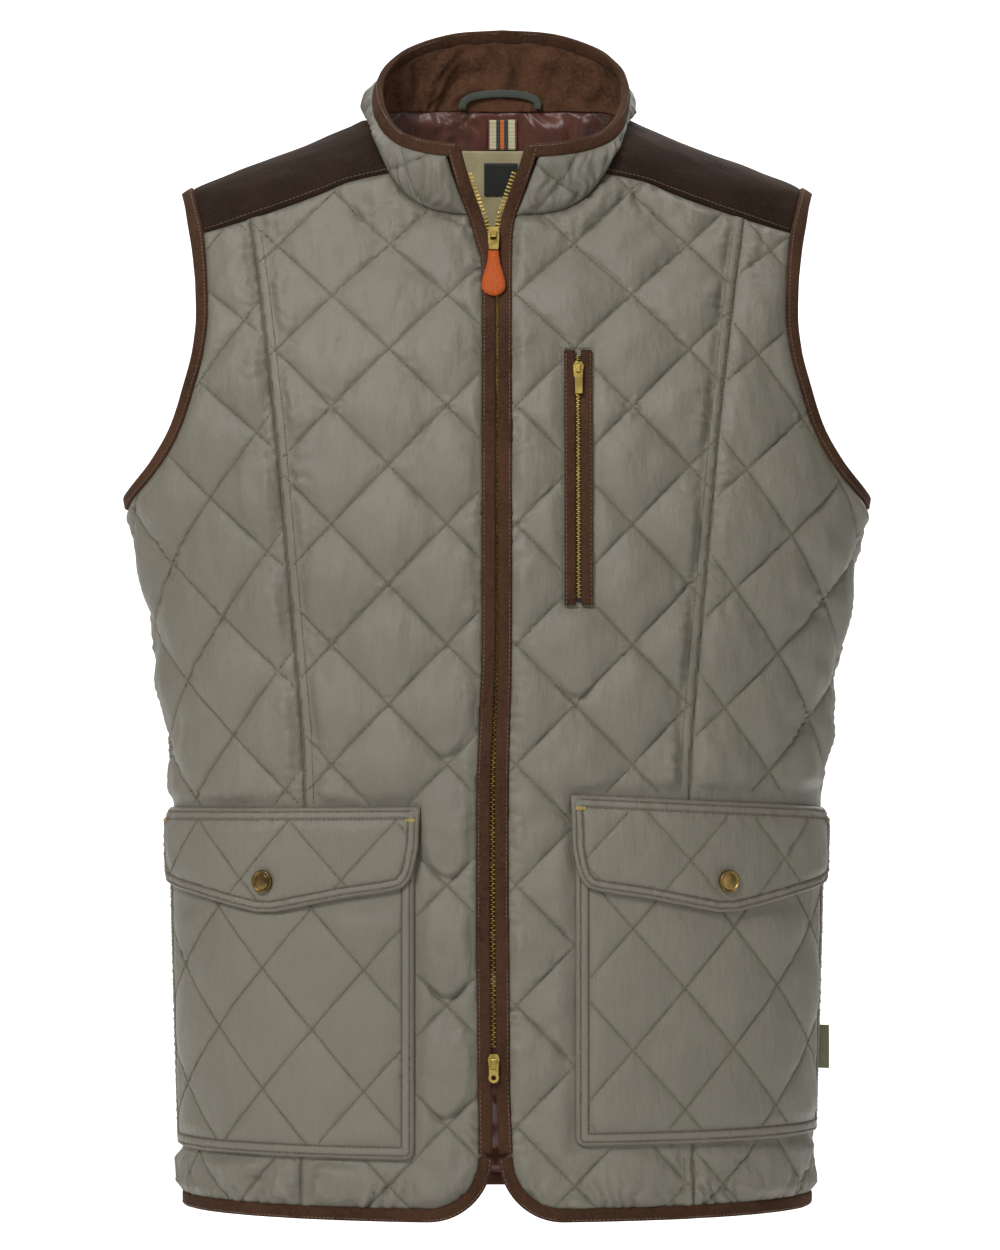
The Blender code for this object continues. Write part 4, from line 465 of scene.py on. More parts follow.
def lumps(x, y, scale, seed):
    # smooth uneven height between -1 and 1 over the flat cloth
    angles = np.array([0.3, 1.4, 2.3, 3.7, 4.6, 5.6]) + seed
    waves = np.array([1.0, 1.31, 1.73, 0.77, 2.11, 1.5])
    total = np.zeros_like(np.asarray(x, float))
    for i, (angle, wave) in enumerate(zip(angles, waves)):
        place = x * math.cos(angle) + y * math.sin(angle)
        total += np.sin(place * wave * 2 * math.pi / scale + seed * (i + 2) * 1.7)
    return total / 3.2


def lumpsOn(points, scale, seed):
    return lumps(points[:, 0], points[:, 1], scale, seed)


def creases(points, rows):
    # rows: start x, start y, end x, end y, width, height (negative for a trough)
    total = np.zeros(len(points))
    for x0, y0, x1, y1, width, height in rows:
        start, span = np.array([x0, y0]), np.array([x1 - x0, y1 - y0], float)
        t = ((points - start) * span).sum(axis=1) / (span**2).sum()
        bow = 0.08 * math.hypot(*span) * np.sin(math.pi * np.clip(t, 0, 1))
        side = (points - start) @ np.array([-span[1], span[0]]) / math.hypot(*span) - bow
        ends = ease(t / 0.35) * ease((1 - t) / 0.35)
        total += height * np.exp(-((side / width) ** 2)) * ends
    return total


# Meshes
def newObject(name, points, faces, materials, slots=None, uv=None):
    mesh = bpy.data.meshes.new(name)
    mesh.from_pydata((np.asarray(points) * mm).tolist(), [], [tuple(int(i) for i in face) for face in faces])
    for material in materials:
        mesh.materials.append(material)
    if slots is not None:
        mesh.polygons.foreach_set("material_index", np.asarray(slots, np.int32))
    if uv is not None:
        layer = mesh.uv_layers.new(name="flat")
        loops = np.empty(len(mesh.loops), np.int32)
        mesh.loops.foreach_get("vertex_index", loops)
        layer.data.foreach_set("uv", (np.asarray(uv, float)[loops] * mm).ravel())
    mesh.update()
    volume = signedVolume(mesh)
    if volume < 0:
        mesh.flip_normals()
    mesh.shade_smooth()
    made = bpy.data.objects.new(name, mesh)
    bpy.context.scene.collection.objects.link(made)
    return made


def signedVolume(mesh):
    mesh.calc_loop_triangles()
    points = np.empty(len(mesh.vertices) * 3)
    mesh.vertices.foreach_get("co", points)
    points = points.reshape(-1, 3)
    corners = np.empty(len(mesh.loop_triangles) * 3, np.int32)
    mesh.loop_triangles.foreach_get("vertices", corners)
    a, b, c = (points[corners.reshape(-1, 3)[:, k]] for k in range(3))
    return float((a * np.cross(b, c)).sum())


def gridWall(rows, columns):
    # faces and slots of a closed wall between two grids of points
    width, count = columns + 1, (rows + 1) * (columns + 1)
    i, j = np.meshgrid(np.arange(rows), np.arange(columns), indexing="ij")
    first = (i * width + j).ravel()
    outer = np.stack([first, first + width, first + width + 1, first + 1], axis=1)
    rim = [j for j in range(columns)] + [i * width + columns for i in range(rows)]
    rim += [rows * width + j for j in range(columns, 0, -1)] + [i * width for i in range(rows, 0, -1)]
    wall = [(k, m, count + m, count + k) for k, m in zip(rim, rim[1:] + rim[:1])]
    faces = outer.tolist() + (count + outer[:, ::-1]).tolist() + wall
    return faces, [0] * len(first) + [1] * len(first) + [0] * len(wall)


def gridArea(base):
    along, across = base[1:, :-1] - base[:-1, :-1], base[:-1, 1:] - base[:-1, :-1]
    return float(np.linalg.norm(np.cross(along, across), axis=-1).sum())


def addPaintedShade(made, outer):
    # the painted shade of the outer points, kept in the seam attribute; the inner ones have none
    values = np.zeros(len(made.data.vertices))
    values[:len(outer)] = outer
    made.data.attributes.new("seam", "FLOAT", "POINT").data.foreach_set("value", values)


def sheetObject(name, outline, outer, place, outerLift, innerLift, materials, innerStep=9.0, paintedShade=None):
    # closed wall over a flat outline; material 0 outside and on the edge, 1 inside; the last argument gives
    # the painted shade of the outer points
    inner = kept(gridPoints(outline, innerStep), outline, innerStep * 0.4)
    outerFlat, innerFlat = np.vstack([outline, outer]), np.vstack([outline, inner])
    outerFaces, innerFaces = triangulate(outline, outer), triangulate(outline, inner)
    top = place(outerFlat[:, 0], outerFlat[:, 1], outerLift(outerFlat))
    bottom = place(innerFlat[:, 0], innerFlat[:, 1], innerLift(innerFlat))
    below, count = len(top), len(outline)
    i = np.arange(count)
    j = (i + 1) % count
    wall = np.stack([i, below + i, below + j, j], axis=1)
    if shoelace(outline) < 0:
        wall = wall[:, ::-1]
    faces = [*outerFaces.tolist(), *(below + innerFaces[:, ::-1]).tolist(), *wall.tolist()]
    slots = [0] * len(outerFaces) + [1 if len(materials) > 1 else 0] * len(innerFaces) + [0] * count
    uv = np.vstack([outerFlat, innerFlat])
    made = newObject(name, np.vstack([top, bottom]), faces, materials, slots, uv)
    # painted shade for the shell's colour, darkest in the stitched valleys
    if paintedShade:
        addPaintedShade(made, paintedShade(outerFlat))
    low, high = outline.min(axis=0), outline.max(axis=0)
    width, length = (high - low) * mm
    area = min(abs(shoelace(outline)) * mm * mm, width * length)
    made["flatSize"] = [float(width), float(length), float(area)]
    return made


def declareSheet(made):
    width, length, area = made["flatSize"]


def sweepObject(name, path, normals, profile, materials, closed=False, slots=None, rounding=(0, 0)):
    path, normals = np.asarray(path, float), np.asarray(normals, float)
    count, sidesCount = len(path), len(profile)
    if closed:
        tangent = np.roll(path, -1, axis=0) - np.roll(path, 1, axis=0)
    else:
        tangent = np.gradient(path, axis=0)
    tangent = unit(tangent)
    across = unit(np.cross(tangent, normals))
    lift = np.cross(across, tangent)
    profile = np.asarray(profile, float)
    run = runAlong(path)
    scales = np.ones(count)
    for reach, gap in zip(rounding, (run, run[-1] - run)):
        if reach:
            short = np.clip(1 - (gap + 0.4) / reach, 0, 1)
            scales = np.minimum(scales, np.sqrt(1 - short**2))
    wide = across[:, None] * scales[:, None, None]
    points = (path[:, None] + wide * profile[None, :, 0:1] + lift[:, None] * profile[None, :, 1:2])
    faces, faceSlots = [], []
    for i in range(count if closed else count - 1):
        j = (i + 1) % count
        for k in range(sidesCount):
            m = (k + 1) % sidesCount
            faces.append((i * sidesCount + k, i * sidesCount + m, j * sidesCount + m, j * sidesCount + k))
            faceSlots.append(slots[k] if slots else 0)
    if not closed:
        faces.append(tuple(reversed(range(sidesCount))))
        faces.append(tuple((count - 1) * sidesCount + k for k in range(sidesCount)))
        faceSlots += [0, 0]
    around = runAlong(profile)
    uv = np.stack(np.broadcast_arrays(around[None, :], run[:, None]), axis=-1).reshape(-1, 2)
    made = newObject(name, points.reshape(-1, 3), faces, materials, faceSlots, uv)
    girth = float(np.linalg.norm(np.roll(profile, -1, axis=0) - profile, axis=1).sum())
    length = float(run[-1])
    made["flatSize"] = [girth / 2 * mm, length * mm, girth / 2 * length * mm * mm]
    return made


def barFaces(rings, count):
    # faces of many short bars, each made of rings of four points
    faces = [(r * 4 + k, r * 4 + (k + 1) % 4, r * 4 + 4 + (k + 1) % 4, r * 4 + 4 + k)
             for r in range(rings - 1) for k in range(4)]
    last = rings * 4 - 4
    faces += [(3, 2, 1, 0), (last, last + 1, last + 2, last + 3)]
    return (np.array(faces)[None] + rings * 4 * np.arange(count)[:, None, None]).reshape(-1, 4).tolist()


def stitchObject(name, centres, tangents, normals, look, material, body=root):
    # short thread loops: each dips into the cloth at both ends
    centres, tangents, normals = np.asarray(centres), unit(np.asarray(tangents)), np.asarray(normals)
    if len(centres) == 0:
        return None
    half, radius = look["length"] / 2, look["radius"]
    across = unit(np.cross(tangents, normals))
    rings = []
    for t, rise, width in ((-1.0, -0.25, 0.75), (-0.55, 0.55, 1.0), (0.55, 0.55, 1.0), (1.0, -0.25, 0.75)):
        middle = centres + tangents * half * t + normals * rise * radius
        for a, n in ((1, 0), (0, 1), (-1, 0), (0, -0.6)):
            rings.append(middle + across * a * radius * width + normals * n * radius * width)
    made = newObject(name, np.stack(rings, axis=1).reshape(-1, 3), barFaces(4, len(centres)), [material])
    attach(made, body)
    return made


def stitchRun(points, step):
    # evenly spaced centres and directions along a polyline, in whatever space it is in
    points = np.asarray(points, float)
    run = runAlong(points)
    if run[-1] < step:
        return np.empty((0, points.shape[1])), np.empty((0, points.shape[1]))
    at = np.arange(step * 0.6, run[-1] - step * 0.4, step)
    return readAt(at, run, points), readAt(at + 0.8, run, points) - readAt(at - 0.8, run, points)


def flatStitches(name, face, lines, look, material, liftAt, place=None):
    # lines of flat points become stitches on a sheet of that face
    centres, directions = [], []
    for line in lines:
        middle, way = stitchRun(line, look["step"])
        centres.append(middle)
        directions.append(way)
    flat, way = np.vstack(centres), np.vstack(directions)
    if len(flat) == 0:
        return None
    way = unit(way)
    lift = liftAt(flat) + look["rise"]
    put = place or (lambda a, c, l: lifted(face, a, c, l))
    middle = put(flat[:, 0], flat[:, 1], lift)
    ahead = put(flat[:, 0] + way[:, 0] * 0.8, flat[:, 1] + way[:, 1] * 0.8, lift)
    above = put(flat[:, 0], flat[:, 1], lift + 1.0)
    return stitchObject(name, middle, ahead - middle, unit(above - middle), look, material)


# Materials
def linear(red, green, blue):
    return [((c / 255 + 0.055) / 1.055) ** 2.4 if c > 10 else c / 255 / 12.92 for c in (red, green, blue)]


class Nodes:
    def __init__(self, name):
        self.material = bpy.data.materials.new(name)
        self.material.use_nodes = True
        self.tree = self.material.node_tree
        self.shader = self.tree.nodes["Principled BSDF"]
        self.coordinates = self.tree.nodes.new("ShaderNodeTexCoord")

    def node(self, kind, inputs=None, **settings):
        made = self.tree.nodes.new(kind)
        for key, value in settings.items():
            setattr(made, key, value)
        for key, value in (inputs or {}).items():
            if isinstance(value, bpy.types.NodeSocket):
                self.tree.links.new(value, made.inputs[key])
            else:
                made.inputs[key].default_value = value
        return made

    def set(self, key, value):
        if isinstance(value, bpy.types.NodeSocket):
            self.tree.links.new(value, self.shader.inputs[key])
        elif key in ("Base Color", "Sheen Tint", "Specular Tint"):
            self.shader.inputs[key].default_value = (*value, 1.0)
        else:
            self.shader.inputs[key].default_value = value

    def noise(self, scale, detail=3.0, roughness=0.55, space="Object", stretch=(1, 1, 1), distortion=0.0):
        place = {"Vector": self.coordinates.outputs[space], "Scale": stretch}
        inputs = {"Vector": self.node("ShaderNodeMapping", place).outputs["Vector"], "Scale": scale,
                  "Detail": detail, "Roughness": roughness, "Distortion": distortion}
        return self.node("ShaderNodeTexNoise", inputs).outputs["Fac"]

    def wave(self, scale, direction="X", space="UV", distortion=0.0, profile="SIN"):
        return self.node("ShaderNodeTexWave", {"Vector": self.coordinates.outputs[space], "Scale": scale,
                                               "Distortion": distortion, "Detail Scale": 1.0},
                         bands_direction=direction, wave_profile=profile).outputs["Fac"]

    def ramp(self, value, low, high, lowOut, highOut):
        return self.node("ShaderNodeMapRange", {"Value": value, "From Min": low, "From Max": high,
                                                "To Min": lowOut, "To Max": highOut}).outputs["Result"]

    def mix(self, factor, first, second, blend="MIX"):
        made = self.node("ShaderNodeMix", {"Factor": factor}, data_type="RGBA", blend_type=blend)
        for socket, value in ((6, first), (7, second)):
            if isinstance(value, bpy.types.NodeSocket):
                self.tree.links.new(value, made.inputs[socket])
            else:
                made.inputs[socket].default_value = (*value, 1.0)
        return made.outputs[2]

    def maths(self, operation, first, second=0.0):
        return self.node("ShaderNodeMath", {0: first, 1: second}, operation=operation).outputs["Value"]

    def mottle(self, pattern, low, high, dark, light):
        # the base colour, uneven between two shades after a pattern
        self.set("Base Color", self.mix(self.ramp(pattern, low, high, 0.0, 1.0), dark, light))

    def bump(self, height, distance, strength=1.0, normal=None):
        inputs = {"Height": height, "Distance": distance, "Strength": strength}
        if normal is not None:
            inputs["Normal"] = normal
        return self.node("ShaderNodeBump", inputs).outputs["Normal"]


def scaled(color, factor):
    return [value * factor for value in color]


def shellMaterial(look):
    made = Nodes("quiltedShell")
    color = linear(*look["color"])
    patches = made.noise(9.0, 2.0)
    slubs = made.noise(60.0, 3.0, stretch=(12.0, 12.0, 0.7))
    dark, light = [scaled(color, 1 + way * look["unevenness"]) for way in (-1, 1)]
    base = made.mix(made.ramp(patches, 0.35, 0.65, 0.0, 1.0), dark, light)
    base = made.mix(made.ramp(slubs, 0.4, 0.7, 0.0, look["slub"]), base, scaled(color, 0.72))
    # painted shade: the seam attribute darkens the colour towards 0.18 of itself in the stitched valleys, at
    # panel edges and over the collar
    paintedShade = made.node("ShaderNodeAttribute", attribute_name="seam").outputs["Fac"]
    base = made.mix(made.maths("MULTIPLY", paintedShade, look["seam"]), base, scaled(color, 0.18))
    made.set("Base Color", base)
    rough = look["roughness"]
    made.set("Roughness", made.ramp(made.noise(25.0), 0.3, 0.7, rough - 0.06, rough + 0.07))
    made.set("Sheen Weight", look["sheen"])
    made.set("Sheen Roughness", 0.4)
    made.set("Sheen Tint", linear(200, 195, 180))
    made.set("Specular IOR Level", 0.42)
    weave = made.maths("MULTIPLY", made.wave(900.0, "X"), made.wave(700.0, "Y"))
    wrinkle = made.noise(120.0, 4.0, 0.6, stretch=(1.0, 1.0, 0.35))
    normal = made.bump(wrinkle, look["wrinkle"])
    made.set("Normal", made.bump(weave, look["weave"], 0.6, normal))
    return made.material


def suedeMaterial(name, look):
    made = Nodes(name)
    color = linear(*look["color"])
    nap = made.noise(16.0, 4.0, 0.6)
    fine = made.noise(420.0, 3.0, 0.7)
    base = made.mix(made.ramp(nap, 0.36, 0.66, 0.0, 1.0), scaled(color, 0.6), scaled(color, 1.4))
    base = made.mix(made.ramp(fine, 0.35, 0.7, 0.0, 0.55), base, scaled(color, 2.0))
    made.set("Base Color", base)
    made.set("Roughness", 0.95)
    made.set("Sheen Weight", look["sheen"])
    made.set("Sheen Roughness", 0.55)
    made.set("Sheen Tint", linear(150, 112, 84))
    made.set("Specular IOR Level", 0.12)
    folds = made.bump(made.noise(24.0, 2.0, stretch=(1.0, 1.0, 0.6), distortion=0.8), look["folds"])
    soft = made.bump(made.noise(70.0, 3.0), 0.0012, 1.0, folds)
    made.set("Normal", made.bump(fine, 0.0005, 0.9, soft))
    return made.material


def satinMaterial(name, look):
    made = Nodes(name)
    color = linear(*look["color"])
    made.mottle(made.noise(22.0, 2.0), 0.35, 0.7, scaled(color, 0.75), scaled(color, 1.25))
    made.set("Roughness", look["roughness"])
    made.set("Sheen Weight", 0.15)
    folds = made.noise(34.0, 2.0, 0.45, stretch=(1.0, 1.0, 0.6), distortion=1.2)
    made.set("Normal", made.bump(made.wave(1200.0, "X"), 0.00008, 0.5, made.bump(folds, look["folds"])))
    return made.material


def metalMaterial(name, look):
    made = Nodes(name)
    color = linear(*look["color"])
    made.mottle(made.noise(130.0, 4.0, 0.65), 0.38, 0.62, scaled(color, look["patina"]), color)
    made.set("Metallic", 1.0)
    made.set("Roughness", made.ramp(made.noise(90.0), 0.3, 0.7, look["roughness"], look["roughness"] + 0.16))
    made.set("Normal", made.bump(made.noise(700.0, 3.0), 0.00006))
    return made.material


def threadMaterial(name, color):
    made = Nodes(name)
    shade = linear(*color)
    made.mottle(made.noise(300.0), 0.3, 0.7, scaled(shade, 0.75), scaled(shade, 1.2))
    made.set("Roughness", 0.7)
    made.set("Sheen Weight", 0.2)
    made.set("Normal", made.bump(made.noise(2500.0, 1.0, stretch=(1, 1, 3)), 0.0001))
    return made.material


def clothMaterial(name, look):
    made = Nodes(name)
    color = linear(*look["color"])
    made.mottle(made.noise(60.0, 3.0), 0.35, 0.65, scaled(color, 0.86), scaled(color, 1.12))
    made.set("Roughness", look["roughness"])
    made.set("Sheen Weight", look.get("sheen", 0.1))
    weave = made.maths("ADD", made.wave(look["weave"], "X"), made.wave(look["weave"], "Y"))
    made.set("Normal", made.bump(weave, 0.00015))
    return made.material


def stripeMaterial(look):
    made = Nodes("stripedTape")
    split = made.node("ShaderNodeSeparateXYZ", {"Vector": made.coordinates.outputs["UV"]})
    across = split.outputs["X"]
    base = None
    for start, color in look["bands"]:
        shade = linear(*color)
        if base is None:
            base = made.mix(0.0, shade, shade)
            continue
        past = made.maths("GREATER_THAN", across, start * mm)
        base = made.mix(past, base, shade)
    made.set("Base Color", base)
    made.set("Roughness", 0.62)
    made.set("Sheen Weight", 0.15)
    made.set("Normal", made.bump(made.wave(look["rib"], "Y"), 0.0004))
    return made.material


def leatherMaterial(look):
    made = Nodes("tabLeather")
    color = linear(*look["color"])
    place = {"Vector": made.coordinates.outputs["Object"], "Scale": look["grain"]}
    cells = made.node("ShaderNodeTexVoronoi", place, feature="SMOOTH_F1").outputs["Distance"]
    made.mottle(cells, 0.0, 0.7, scaled(color, 1.15), scaled(color, 0.6))
    made.set("Roughness", 0.55)
    made.set("Specular IOR Level", 0.3)
    made.set("Normal", made.bump(made.ramp(cells, 0.0, 0.6, 1.0, 0.0), 0.0005))
    return made.material


materialLooks = {
    "shell": {"color": (100, 96, 84), "unevenness": 0.06, "slub": 0.22, "roughness": 0.48, "sheen": 0.08,
              # seam: how strongly the painted shade darkens the shell
              "seam": 0.62, "wrinkle": 0.0016, "weave": 0.00012},
    "suede": {"color": (30, 20, 13), "sheen": 0.05, "folds": 0.001},
    # the collar's facing is the yoke's suede, coloured over twice as bright: painted light for the inside of
    # the collar, which lies in shade
    "facing": {"color": (68, 45, 31), "sheen": 0.14, "folds": 0.016},
    "binding": {"color": (51, 33, 22), "sheen": 0.08, "folds": 0.002},
    "lining": {"color": (80, 44, 33), "roughness": 0.32, "folds": 0.014},
    "brass": {"color": (196, 170, 92), "patina": 0.55, "roughness": 0.24},
    "teeth": {"color": (214, 184, 96), "patina": 0.6, "roughness": 0.34},
    "darkBrass": {"color": (136, 112, 68), "patina": 0.35, "roughness": 0.28},
    "leather": {"color": (170, 72, 0), "grain": 1300.0},
    "zipTape": {"color": (38, 27, 21), "roughness": 0.85, "weave": 500.0},
    "cream": {"color": (186, 172, 128), "roughness": 0.6, "weave": 1100.0, "sheen": 0.3},
    "greenTape": {"color": (66, 74, 64), "roughness": 0.7, "weave": 900.0},
    "patch": {"color": (20, 20, 17), "roughness": 0.5, "weave": 1300.0},
    "sideLabel": {"color": (120, 124, 92), "roughness": 0.8, "weave": 700.0},
    "stripe": {"rib": 330.0, "bands": [(0, (120, 60, 50)), (-5.2, (205, 196, 158)), (-0.6, (34, 52, 42)),
                                       (2.4, (214, 96, 30)), (5.0, (34, 52, 42)), (8.0, (205, 196, 158)),
                                       (12.6, (120, 60, 50))]},
    "quiltThread": (92, 86, 50),
    "edgeThread": (80, 55, 38),
    "bartack": (150, 130, 58),
}
shell = shellMaterial(materialLooks["shell"])
suede = suedeMaterial("suede", materialLooks["suede"])
# the facing's copy of the suede carries painted light in its brighter colour
paintedLightFacingSuede = suedeMaterial("paintedLightFacingSuede", materialLooks["facing"])
bindingSuede = suedeMaterial("bindingSuede", materialLooks["binding"])
lining = satinMaterial("satinLining", materialLooks["lining"])
brass = metalMaterial("brass", materialLooks["brass"])
teethBrass = metalMaterial("toothBrass", materialLooks["teeth"])
darkBrass = metalMaterial("darkBrass", materialLooks["darkBrass"])
tabLeather = leatherMaterial(materialLooks["leather"])
zipTape = clothMaterial("zipTape", materialLooks["zipTape"])
cream = clothMaterial("creamLabel", materialLooks["cream"])
greenTape = clothMaterial("greenTape", materialLooks["greenTape"])
patchCloth = clothMaterial("darkPatch", materialLooks["patch"])
labelCloth = clothMaterial("sideLabel", materialLooks["sideLabel"])
stripes = stripeMaterial(materialLooks["stripe"])
quiltThread = threadMaterial("quiltThread", materialLooks["quiltThread"])
edgeThread = threadMaterial("edgeThread", materialLooks["edgeThread"])
bartackThread = threadMaterial("bartackThread", materialLooks["bartack"])
print("materials made")

# Quilting
quiltLook = {"halfWidth": 37.9, "halfHeight": 38.8, "cellSide": 54, "tilt": 0.084, "row": -249.7, "puff": 7.0,
             "cells": 20, "roundness": 0.6, "seamFade": 9.0, "pucker": 1.15, "sag": 0.6, "soft": 1.3,
             "crowding": 0.62, "valley": 0.95}
quiltStitch = {"step": 3.3, "length": 2.5, "radius": 0.36, "rise": 0.12}
edgeStitch = {"step": 2.9, "length": 2.2, "radius": 0.3, "rise": 0.1}
tackStitch = {"step": 2.2, "length": 2.6, "radius": 0.4, "rise": 0.25}
pocketRows = {
    "R": {"inner": 53.0, "outer": 259.0, "bottom": -660.0, "topInner": -432.0, "topOuter": -434.5,
          "snap": 153.0, "first": 86.0, "row": -537.5, "flapFirst": 135.0, "flapRow": -441.0},
    "L": {"inner": 50.5, "outer": 257.0, "bottom": -651.0, "topInner": -424.0, "topOuter": -434.5,
          "snap": 151.0, "first": 123.0, "row": -550.0, "flapFirst": 125.0, "flapRow": -467.0},
}
welt = {"inner": 43.2, "outer": 61.4, "top": -136.5, "bottom": -302.0, "gap": 3.4}


def quilting(along, first, row, tilt, halfWidth, halfHeight):
    return {"along": along, "first": first, "row": row, "tilt": tilt,
            "halfWidth": halfWidth, "halfHeight": halfHeight}


def quiltPlace(quilt, points):
    beyond = np.abs(points[:, 0]) - quilt["along"](points[:, 1])
    column = (beyond - quilt["first"]) / quilt["halfWidth"]
    row = (points[:, 1] + quilt["tilt"] * beyond - quilt["row"]) / quilt["halfHeight"]
    return (column + row) / 2, (column - row) / 2


def quiltPoint(quilt, hand, rising, falling):
    column, row = rising + falling, rising - falling
    beyond = quilt["first"] + column * quilt["halfWidth"]
    climb = quilt["row"] + row * quilt["halfHeight"] - quilt["tilt"] * beyond
    return np.stack([hand * (quilt["along"](climb) + beyond), climb], axis=-1)


def fromStitches(quilt, points):
    # millimetres to the nearest stitched line
    rising, falling = [value % 1 for value in quiltPlace(quilt, points)]
    nearest = np.minimum(np.minimum(rising, 1 - rising), np.minimum(falling, 1 - falling))
    return nearest * quiltLook["cellSide"]


def closeToLines(start, stop, cells):
    # evenly numbered steps, closer together beside the stitched lines
    steps = np.arange(start * cells, stop * cells) / cells
    return steps - quiltLook["crowding"] * np.sin(2 * math.pi * steps) / (2 * math.pi)


def quiltGrid(quilt, hand, outline, widest, cells):
    low, high = outline[:, 1].min(), outline[:, 1].max()
    rows = [(low - quilt["row"]) / quilt["halfHeight"] - 3, (high - quilt["row"]) / quilt["halfHeight"] + 3]
    columns = [-4, widest / quilt["halfWidth"] + 3]
    r0, r1 = int((rows[0] + columns[0]) / 2) - 1, int((rows[1] + columns[1]) / 2) + 1
    f0, f1 = int((columns[0] - rows[1]) / 2) - 1, int((columns[1] - rows[0]) / 2) + 1
    rising, falling = np.meshgrid(closeToLines(r0, r1, cells), closeToLines(f0, f1, cells))
    return quiltPoint(quilt, hand, rising.ravel(), falling.ravel())


def quiltPuff(quilt, points, seed):
    rising, falling = quiltPlace(quilt, points)
    a, b = rising % 1, falling % 1
    pillow = np.clip(np.sin(math.pi * a) * np.sin(math.pi * b), 0, 1) ** quiltLook["roundness"]
    # each diamond is filled a little differently, and its padding sinks
    which = np.floor(rising) * 3.1 + np.floor(falling) * 5.7 + seed
    fill = 0.9 + 0.16 * np.sin(which * 2.3)
    lean = 1 + quiltLook["sag"] * 0.35 * (b - a)
    run = lumpsOn(points, 34.0, seed + 0.5)
    strength = 0.55 + 0.6 * lumpsOn(points, 90.0, seed + 2.5)
    pucker = 0.0
    for across, along, wave, bend in ((a, falling, 8.9, 4.0), (b, rising, 8.2, 3.6)):
        near = np.minimum(across, 1 - across) * quiltLook["cellSide"]
        turn = along * quiltLook["cellSide"] * 2 * math.pi / wave
        pucker = pucker + np.exp(-near / 5.5) * np.sin(turn + run * bend) * ease(near / 1.2)
    pucker = pucker * np.clip(strength, 0.1, 1.3)
    soft = lumps(points[:, 0] * 1.5, points[:, 1], 46.0, seed) * pillow
    return pillow * fill * lean * quiltLook["puff"] + pucker * quiltLook["pucker"] + soft * quiltLook["soft"]


def quiltValleyShade(quilt, points):
    # painted shade: how deep in a stitched valley each point lies, from 0 to 1
    depth = np.exp(-((fromStitches(quilt, points) / quiltLook["valley"]) ** 2))
    return depth * (0.75 + 0.25 * lumpsOn(points, 60.0, 1.2))


def unbroken(points, good, least, gap=1e3):
    # the stretches of a line whose points are all good and close together
    apart = np.linalg.norm(np.diff(points, axis=0), axis=1) > gap
    breaks = np.nonzero(apart | ~good[:-1] | ~good[1:])[0] + 1
    parts = np.split(np.arange(len(points)), breaks)
    return [points[part] for part in parts if len(part) >= least and good[part[0]]]


def quiltLines(quilt, hand, outline, widest, keep, margin=1.6):
    # flat polylines along the quilting's stitched diagonals, inside the outline
    low, high = outline[:, 1].min(), outline[:, 1].max()
    reach = int((high - low) / quilt["halfHeight"]) + 6
    lines = []
    steps = np.arange(-reach, reach, 1 / 36)
    for number in range(-reach, reach + 1):
        fixed = np.full(len(steps), float(number))
        for pair in ((fixed, steps), (steps, fixed)):
            points = quiltPoint(quilt, hand, *pair)
            good = (points[:, 1] > low) & (points[:, 1] < high) & (np.abs(points[:, 0]) < widest)
            good[good] = inside(outline, points[good])
            good[good] = edgeDistance(outline, points[good]) > margin
            good[good] = keep(points[good])
            lines += unbroken(points, good, 4)
    return lines


def centreQuilting(hand):
    first = 12.3 if hand == "L" else 32.3
    return quilting(lambda climb: 0.0 * climb, first, frontClimb(quiltLook["row"]), 0.0,
                    quiltLook["halfWidth"], quiltLook["halfHeight"])


def sideQuilting(hand):
    first = 21.7 if hand == "L" else 13.0
    row = frontClimb(-368.0 if hand == "L" else -344.0) + quiltLook["tilt"] * first
    return quilting(seamAlong, first, row, quiltLook["tilt"], quiltLook["halfWidth"], quiltLook["halfHeight"])


# What lies on a front, as boxes in flat coordinates of the left hand: inner, outer, bottom, top
def coveredBoxes(hand):
    pocket = pocketRows[hand]
    boxes = [(pocket["inner"], pocket["outer"] + 3, frontClimb(pocket["bottom"]),
              frontClimb(pocket["topInner"]))]
    if hand == "L":
        across = [alongOf("front", welt[key], welt["top"]) for key in ("inner", "outer")]
        boxes.append((*across, frontClimb(welt["bottom"]), frontClimb(welt["top"])))
    return boxes


def offCovered(hand, points):
    along, climb = np.abs(points[:, 0]), points[:, 1]
    nearest = np.full(len(points), 1e3)
    for inner, outer, bottom, top in coveredBoxes(hand):
        x = np.maximum(np.maximum(inner - along, along - outer), 0)
        y = np.maximum(np.maximum(bottom - climb, climb - top), 0)
        nearest = np.minimum(nearest, np.hypot(x, y))
    return nearest


# Panel outlines
panelEdge = size["binding"] - 1.2  # the panels run a little way under the binding


def frontOutline(hand, inset):
    heights = np.concatenate([np.arange(-46.0, -120, -2.5), np.arange(-120, size["cornerTop"] + 3, -4.0)])
    points = [frontInset(hand, height, inset) for height in heights]
    low = frontClimb(size["cornerTop"])
    middle = float(frontEdge(hand, size["cornerTop"])) + size["cornerRadius"]
    radius = size["cornerRadius"] - inset
    for turn in np.linspace(0, math.pi / 2, 18):
        points.append((middle - radius * math.cos(turn), low - radius * math.sin(turn)))
    bottom = low - radius
    end = float(sideSeam("front", size["hem"] + inset))
    for share in np.linspace(0, 1, 60)[1:]:
        points.append((middle + (end - middle) * share, bottom))
    return [(sides[hand] * along, climb) for along, climb in points]


